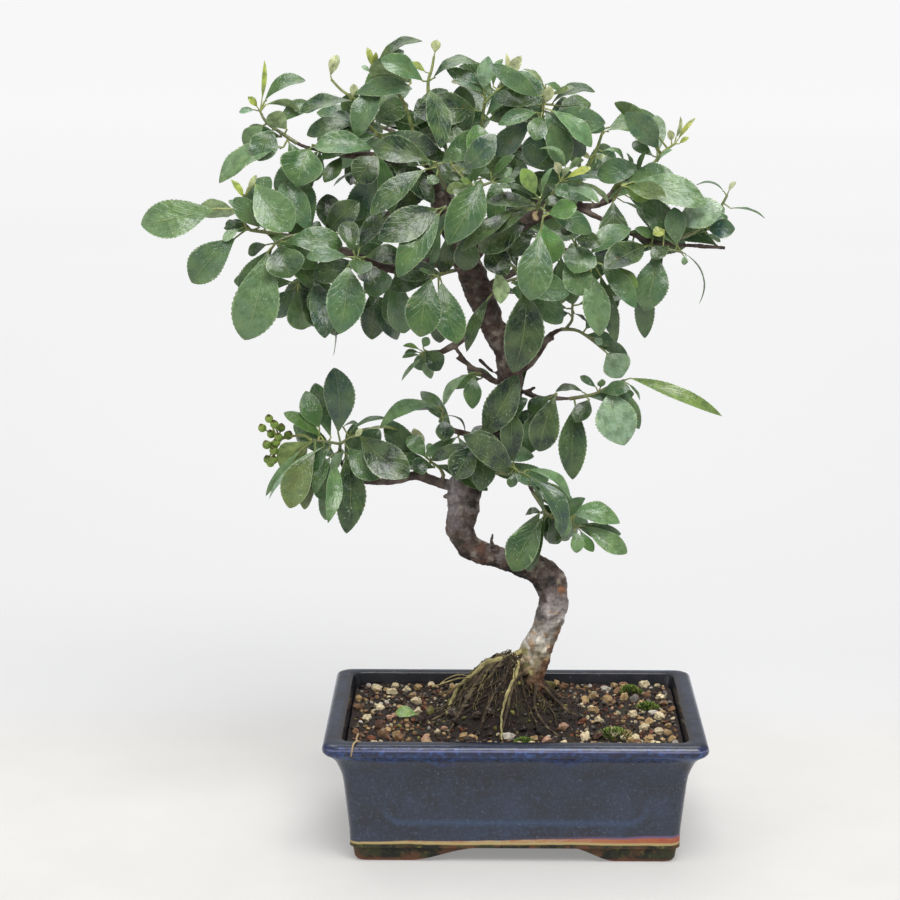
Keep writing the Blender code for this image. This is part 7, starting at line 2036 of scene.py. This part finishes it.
class Outline(Enum):
    """Outlines of a blade: its half width at even steps from its base to its tip."""

    OVAL = ((0.0, 0.0), (0.03, 0.1), (0.1, 0.29), (0.2, 0.55), (0.32, 0.81), (0.44, 0.96), (0.53, 1.0),
            (0.64, 0.95), (0.75, 0.81), (0.85, 0.6), (0.93, 0.35), (0.98, 0.14), (1.0, 0.0))
    PADDLE = ((0.0, 0.0), (0.03, 0.08), (0.1, 0.22), (0.2, 0.43), (0.32, 0.69), (0.45, 0.89), (0.57, 0.99),
              (0.67, 0.99), (0.77, 0.89), (0.86, 0.7), (0.93, 0.46), (0.98, 0.2), (1.0, 0.0))
    LANCE = ((0.0, 0.0), (0.03, 0.13), (0.12, 0.38), (0.24, 0.66), (0.38, 0.9), (0.5, 1.0), (0.62, 0.98),
             (0.74, 0.83), (0.85, 0.58), (0.94, 0.28), (1.0, 0.0))


@dataclass
class Blade:
    """One leaf blade, modelled flat at unit length and width, that every leaf is shaped from."""

    rows: int = 10
    cuts: int = 3
    tooth: float = 0.05
    belly: float = 0.5
    crowding: float = 0.35

    def sheet(self, columns: int, side: int) -> bpy.types.Object:
        """Model one face of the blade.

        Args:
            columns: How many faces it has across.
            side: 1 for the top, -1 for the underside.

        Returns:
            The sheet.
        """
        piece = primitive(bpy.ops.mesh.primitive_grid_add, "sheet", x_subdivisions=self.rows,
                          y_subdivisions=columns, size=1.0, location=(0.5, 0.0, 0.0))
        with editing():
            pick(piece, "EDGE", lambda edge: all(abs(vert.co.y) > 0.49 for vert in edge.verts))
            bpy.ops.mesh.subdivide(number_cuts=self.cuts, ngon=True)
            if side < 0:
                bpy.ops.mesh.select_all(action="SELECT")
                bpy.ops.mesh.flip_normals()
        return piece

    def model(self, outline: Outline) -> Pattern:
        """Model the blade.

        Args:
            outline: Its outline.

        Returns:
            Its pattern, x along, y across and z through it.
        """
        sheets = []
        for columns, side in ((4, 1), (2, -1)):
            piece = self.sheet(columns, side)
            for vert in piece.data.vertices:
                even = vert.co.x
                share = even + self.crowding * (0.5 - 0.5 * math.cos(math.pi * even) - even)
                across = vert.co.y * 2.0
                half = float(np.interp(share, *zip(*outline.value))) / 2.0
                edge = abs(across) > 0.99
                tooth = round(even * self.rows * (self.cuts + 1)) % 2 if edge and 0.12 < share < 0.99 else 0
                vert.co.x = share
                vert.co.y = across * half * (1.0 + self.tooth * tooth)
                if 0.001 < share < 0.999 and not edge:
                    vert.co.z = side * self.belly * (1.0 - across * across)
            sheets.append(piece)
        blade = joined_objects(sheets[0], sheets[1:])
        with editing():
            bpy.ops.mesh.remove_doubles(threshold=0.00001)
        return Pattern.of(blade)


@dataclass
class Foliage:
    """Shapes leaves, petioles and stems where the crown holds them."""

    patterns: dict[Outline, Pattern]
    thickness: float = 0.42

    def shape(self, pattern: Pattern, place: LeafPlace, draw: random.Random) -> np.ndarray:
        """Bend a blade into its place.

        Args:
            pattern: The flat blade.
            place: Where it sits.
            draw: The source of chance.

        Returns:
            Its points in millimetres.
        """
        normal, across = leaf_axes(place.start, place.tip, place.turn)
        length = (place.tip - place.start).length
        axis = (place.tip - place.start) / length
        share = pattern.points[:, 0]
        side = pattern.points[:, 1] * place.width
        away = np.abs(pattern.points[:, 1]) * 2.0
        size = min(1.0, place.width / 12.0)
        bow = place.arch * length * 4.0 * share * (1.0 - share)
        ripple = (draw.uniform(0.25, 0.75) * size
                  * np.sin(share * draw.uniform(8.0, 15.0) + draw.uniform(0, 6.3)
                           + np.sign(side) * draw.uniform(0.3, 1.5)) * away ** 2)
        twist = side * math.radians(draw.uniform(-22, 22)) * (share - 0.3)
        fold = draw.uniform(0.06, 0.44)
        curl = draw.uniform(-0.02, 0.07) * length * np.maximum(0.0, share - 0.55) ** 2 * 4.0
        sweep = draw.uniform(-0.05, 0.05) * length * np.sin(share * math.pi)
        lift = bow + fold * np.abs(side) + ripple + twist - curl + pattern.points[:, 2] * self.thickness
        return (np.array(place.start) + np.outer(share * length, axis) + np.outer(side + sweep, across)
                + np.outer(lift, normal))

    def add_leaf(self, gathered: Gathering, place: LeafPlace, tone: Tone, draw: random.Random) -> None:
        """Add a leaf with its petiole.

        Args:
            gathered: Where it is collected.
            place: Where it sits.
            tone: Its colours.
            draw: The source of chance.
        """
        length = (place.tip - place.start).length
        slim = place.width < 0.29 * length
        outline = Outline.LANCE if slim else draw.choice((Outline.OVAL, Outline.PADDLE, Outline.PADDLE))
        pattern = self.patterns[outline]
        points = self.shape(pattern, place, draw)
        shade = draw.uniform(0.8, 1.15)
        warm = np.array((draw.uniform(0.92, 1.1), 1.0, draw.uniform(0.88, 1.08)))
        top = np.array(linear(tone.value[1])) * shade * warm * 0.8
        below = np.array(linear(tone.value[2])) * shade * (1.0, 1.0, 0.85)
        foot = np.array(linear("#8b9a52"))
        under = pattern.under[:, None]
        tints = top * (1.0 - under) + below * under
        share = np.clip(1.0 - pattern.chart[:, :1] / 0.13, 0.0, 1.0) * 0.5
        tints = tints * (1.0 - share) + foot * share
        gathered.add(pattern, points, np.hstack((tints, under)))
        axis = (place.tip - place.start).normalized()
        reach = (place.start - place.root).length
        away = (place.start - place.root) / max(reach, 0.01)
        joint = place.start + axis * 0.06 * length
        line, sizes = smoothed([place.root - away * 0.3, place.root.lerp(place.start, 0.5) + axis * 0.02,
                                place.start - axis * 0.05, joint], [0.55, 0.45, 0.42, 0.3], 1.6)
        stalk = rod(line, [size * min(1.0, 0.55 + place.width / 20.0) for size in sizes], 6)
        colour = "#a3a65a" if tone in (Tone.YOUNG, Tone.CREAM, Tone.BRIGHT, Tone.PALE) else "#7f8a45"
        gathered.add(stalk, stalk.points, (*np.array(linear(colour)) * draw.uniform(0.85, 1.15), 0.0), 1)

    def add_stem(self, gathered: Gathering, stem: list, first: float, last: float, code: str) -> None:
        """Add a stem.

        Args:
            gathered: Where it is collected.
            stem: Its points as seen.
            first: Its radius at its start.
            last: Its radius at its end.
            code: Its colour.
        """
        points = [seen(*point) for point in stem]
        points[0] = points[0] - (points[1] - points[0]).normalized() * 0.5
        line, sizes = smoothed(points, spread(first, last, len(points)), 2.2)
        stalk = rod(line, sizes, 7)
        gathered.add(stalk, stalk.points, (*linear(code), 0.0), 1)

    def spray(self, name: str, stems: list, leaves: list[tuple | None], letters: str,
              draw: random.Random) -> bpy.types.Object:
        """Model one leafy shoot.

        Args:
            name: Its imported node.
            stems: Its stems as seen.
            leaves: Its leaves' entries, None for a leaf that has no room.
            letters: Each leaf's tone.
            draw: The source of chance.

        Returns:
            The shoot in the row's frame.
        """
        gathered = Gathering()
        young = sum(letter in "yc" for letter in letters) > len(letters) / 4
        code = "#8a9150" if young else "#6d6a3f"
        for index, stem in enumerate(stems):
            self.add_stem(gathered, stem, 0.95 if index == 0 else 0.75, 0.55, code)
        for leaf, letter in zip(leaves, letters):
            if leaf is not None:
                self.add_leaf(gathered, held(stems, leaf), TONES[letter], draw)
        return gathered.build(name.replace("spray", "leaves"))

    def spurs(self, draw: random.Random) -> bpy.types.Object:
        """Model the leaves that sit on short spurs inside the crown.

        Args:
            draw: The source of chance.

        Returns:
            The leaves in the row's frame.
        """
        stems_of = {name: stems for name, _, _, _, stems, _ in SPRAYS}
        gathered = Gathering()
        for owner, leaves in SPUR_LEAVES.items():
            stems = stems_of[owner] if owner in stems_of else [LIMBS[owner][0]]
            for *leaf, letter in leaves:
                self.add_leaf(gathered, held(stems, leaf), TONES[letter], draw)
        return gathered.build("spur_leaves")


@dataclass
class BerryBunch:
    """Unripe pomes on short stalklets, each with a dark five-lobed end."""

    radius: float = 2.05

    def berry(self) -> Pattern:
        """Model one berry of unit radius, its open end up."""
        piece = primitive(bpy.ops.mesh.primitive_uv_sphere_add, "berry", segments=12, ring_count=8,
                          radius=1.0)
        with editing():
            pick(piece, "FACE", lambda face: face.calc_center_median().z > 0.9)
            extrude(0.0, 0.0, 0.12)
            bpy.ops.mesh.inset(thickness=0.1, depth=-0.22)
        return Pattern.of(piece)

    def build(self) -> bpy.types.Object:
        """Model the bunch.

        Returns:
            The bunch in the row's frame.
        """
        draw = random.Random(SEED + 9)
        ball = self.berry()
        gathered = Gathering()
        stalk_points = [seen(*point) for point in BERRY_STALK]
        line, sizes = smoothed(stalk_points, [0.6, 0.6, 0.6, 0.55, 0.5, 0.45], 1.8)
        stalk = rod(line, sizes, 6)
        gathered.add(stalk, stalk.points, (*linear("#7d8449"), 0.0))
        dark = np.array((*linear("#3a2c18"), 0.0))
        for index, (x, z) in enumerate(BERRIES):
            centre = seen(x, z, BERRY_DEPTH + (3.0 if index % 2 else -1.5))
            root = stalk_points[-1].lerp(stalk_points[-2], 0.12 * (index % 5))
            outward = (centre - root).normalized()
            axis = Vector((outward.x * 0.5, -0.45, 1.0)).normalized()
            bend = root.lerp(centre, 0.5) + Vector((0, 0, 0.4))
            line, sizes = smoothed([root, bend, centre], [0.45, 0.4, 0.4], 1.5)
            stalk = rod(line, sizes, 6)
            gathered.add(stalk, stalk.points, (*linear("#869052"), 0.0))
            turn = np.array(axis.to_track_quat("Z", "Y").to_matrix())
            size = self.radius * draw.uniform(0.92, 1.04)
            points = (ball.points * size) @ turn.T + np.array(centre)
            green = np.array((*linear(draw.choice(("#6d8a38", "#7a9a40", "#5d7a30"))), 0.0))
            tips = ball.points[ball.corners][:, 2] > 0.8
            gathered.add(ball, points, np.where(tips[:, None], dark, green))
        return gathered.build("berries")


@dataclass
class MossTuft:
    """A cushion of moss: short leafy shoots standing close together."""

    node: str
    shoots: int = 280
    spread: float = 1.6
    forward: float = -5.0
    shoot_foot: float = 0.34
    shoot_tip: float = 0.06

    def build(self, seed: int) -> bpy.types.Object:
        """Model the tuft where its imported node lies.

        Args:
            seed: What it is drawn from.

        Returns:
            The tuft in the row's frame.
        """
        low, high = ((corner - HOME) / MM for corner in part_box(self.node))
        draw = random.Random(SEED + seed)
        shoot = primitive(bpy.ops.mesh.primitive_cone_add, "shoot", vertices=4, radius1=self.shoot_foot,
                          radius2=self.shoot_tip, depth=1.0, location=(0, 0, 0.5))
        blade = Pattern.of(shoot)
        middle = (low + high) / 2.0 + Vector((0.0, self.forward, 0.0))
        half = (high - low) / 2.0 * self.spread
        gathered = Gathering()
        for _ in range(self.shoots):
            angle = draw.uniform(0, math.tau)
            reach = math.sqrt(draw.random())
            x = middle.x + half.x * reach * math.cos(angle)
            y = middle.y + half.y * reach * math.sin(angle)
            rise = (high.z - low.z) * (1.0 - reach ** 2) * 0.75
            axis = Vector((math.cos(angle) * reach, math.sin(angle) * reach, 0.9)) + Vector(
                (draw.uniform(-0.4, 0.4), draw.uniform(-0.4, 0.4), 0.0))
            turn = np.array(axis.normalized().to_track_quat("Z", "Y").to_matrix())
            size = np.array((draw.uniform(0.8, 1.5), draw.uniform(0.5, 0.9), draw.uniform(0.9, 1.7)))
            points = (blade.points * size) @ turn.T + (x, y, soil_height(x, y) - 0.3 + rise)
            code = draw.choice(("#4c6622", "#758f35", "#33481a", "#94a848"))
            gathered.add(blade, points, (*linear(code), 0.0))
        return gathered.build(self.node.replace("moss", "green_moss"))


@dataclass
class LooseBits:
    """The fallen leaf on the soil and the dried root over the front rim."""

    foliage: Foliage

    def leaf(self) -> bpy.types.Object:
        """Return the fallen leaf in the row's frame."""
        x, y = -48.0, -3.0
        height = soil_height(x, y) + GAP + 1.6
        place = LeafPlace(Vector((x + 7.0, y - 8.4, height - 1.0)), Vector((x + 3.4, y - 5.0, height)),
                          Vector((x - 6.4, y - 2.6, height + 0.8)), 7.2, 38.0, 0.1)
        gathered = Gathering()
        self.foliage.add_leaf(gathered, place, Tone.FRESH, random.Random(SEED))
        return gathered.build("dropped_leaf")

    def dry_root(self) -> bpy.types.Object:
        """Return the dried root in the row's frame."""
        front = -63.0
        top = POT_HEIGHT + GAP + 0.45
        points = [Vector(point) for point in (
            (-69.4, front + 14.5, top + 0.4), (-69.9, front + 8.0, top), (-69.4, front + 5.0, top + 0.1),
            (-70.6, front + 2.4, top), (-71.2, front - 0.8, top - 1.8), (-71.8, front - 1.0, top - 5.0))]
        line, sizes = smoothed(points, [0.5, 0.42, 0.5, 0.4, 0.45, 0.25], 1.2)
        pattern = rod(line, sizes, 6)
        gathered = Gathering()
        gathered.add(pattern, pattern.points, (*linear("#b39a72"), 0.0))
        return gathered.build("dry_surface_root")


@dataclass
class Studio:
    """The pale table, soft light all round, a large soft lamp and the camera."""

    focal: float = 104.36
    sensor: float = 36.0
    camera_turn: tuple[float, float, float] = (78.89, 0.0, 0.87)
    sweep: float = 200.0
    lamp_aim: tuple[float, float, float] = (0.0, 0.0, 0.2)
    sky: float = 0.38
    # Soft lamps: name, place in metres, side in metres and power in watts
    lamps: tuple = (("key_lamp", (0.35, -0.95, 1.75), 1.15, 35.0), ("fill_lamp", (-1.5, -0.9, 1.0), 1.5, 7.0),
                    ("top_lamp", (-0.1, 0.7, 1.8), 1.5, 18.0))

    def build(self) -> None:
        """Set up the studio."""
        table = primitive(bpy.ops.mesh.primitive_plane_add, "paper_sweep", size=self.sweep,
                          location=(0.0, 0.0, 0.0))
        table.data.materials.append(PaperSweep().build())
        world = bpy.data.worlds.new("soft_room")
        bpy.context.scene.world = world
        world.use_nodes = True
        back = world.node_tree.nodes["Background"]
        back.inputs["Color"].default_value = paint("#fbfbfc")
        back.inputs["Strength"].default_value = self.sky
        for lamp in self.lamps:
            self.lamp(*lamp)
        data = bpy.data.cameras.new("front_camera")
        data.lens = self.focal
        data.sensor_width = self.sensor
        camera = bpy.data.objects.new("front_camera", data)
        bpy.context.scene.collection.objects.link(camera)
        camera.location = EYE * MM + HOME
        camera.rotation_euler = [math.radians(angle) for angle in self.camera_turn]
        bpy.context.scene.camera = camera
        bpy.context.scene.view_settings.view_transform = "Standard"

    def lamp(self, name: str, place: tuple[float, float, float], size: float, power: float) -> None:
        """Add a soft lamp that faces the tree.

        Args:
            name: Its name.
            place: Where it stands, in metres.
            size: Its side.
            power: Its power in watts.
        """
        data = bpy.data.lights.new(name, "AREA")
        data.size = size
        data.energy = power
        lamp = bpy.data.objects.new(name, data)
        bpy.context.scene.collection.objects.link(lamp)
        lamp.location = place
        aim = Vector(self.lamp_aim) - Vector(place)
        lamp.rotation_euler = aim.to_track_quat("-Z", "Y").to_euler()


def main() -> None:
    """Build every piece, dress it and set up the studio."""
    logging.basicConfig(level=logging.INFO, format="%(message)s")
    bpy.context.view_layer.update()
    dress(Pot().build(), [GlazedStoneware().build()], ["pot"])
    mesh_plastic = SCREEN_MESH.build()
    for side in ("left", "right"):
        screen = DrainScreen("screen_" + side, "drain_screen_" + side)
        dress(screen.build(), [mesh_plastic], [screen.node])
    dress(SoilBed().build(), [POTTING_MIX.build()], ["soil"])
    dress(Grit().build(), [PUMICE.build()], [])
    dress(Wood().build(), [BARK.build()], ["wood"])
    root_material = ROOT_BARK.build()
    dress(FineRoots().build(), [root_material], [])
    blade = Blade()
    foliage = Foliage({outline: blade.model(outline) for outline in Outline})
    skins = [LeafSkin().build(), SHOOT_SKIN.build()]
    draw = random.Random(SEED)
    for name, tone, letters, _, stems, leaves in SPRAYS:
        piece = foliage.spray(name, stems, leaves, letters, draw)
        dress(piece, skins, [name])
    chance = random.Random(SEED)
    for name, foot, head, leans in BACK_SPRAYS:
        inner = Vector(foot).lerp(Vector(head), 0.3)
        stem = [tuple(inner), tuple(inner.lerp(Vector(head), 0.5)), head]
        leaves = back_leaves(tuple(inner), head, leans, chance)
        piece = foliage.spray(name, [stem], leaves, BACK_LETTERS, draw)
        dress(piece, skins, [name])
    dress(foliage.spurs(draw), skins, [])
    dress(BerryBunch().build(), [BERRY_SKIN.build()], ["berry_bunch"])
    moss = MOSS_GREEN.build()
    for index in range(1, 5):
        tuft = MossTuft("moss_tuft_%d" % index)
        dress(tuft.build(index), [moss], [tuft.node])
    bits = LooseBits(foliage)
    dress(bits.leaf(), skins, ["fallen_leaf"])
    dress(bits.dry_root(), [root_material], ["dried_root"])
    Studio().build()


if __name__ == "__main__":
    main()
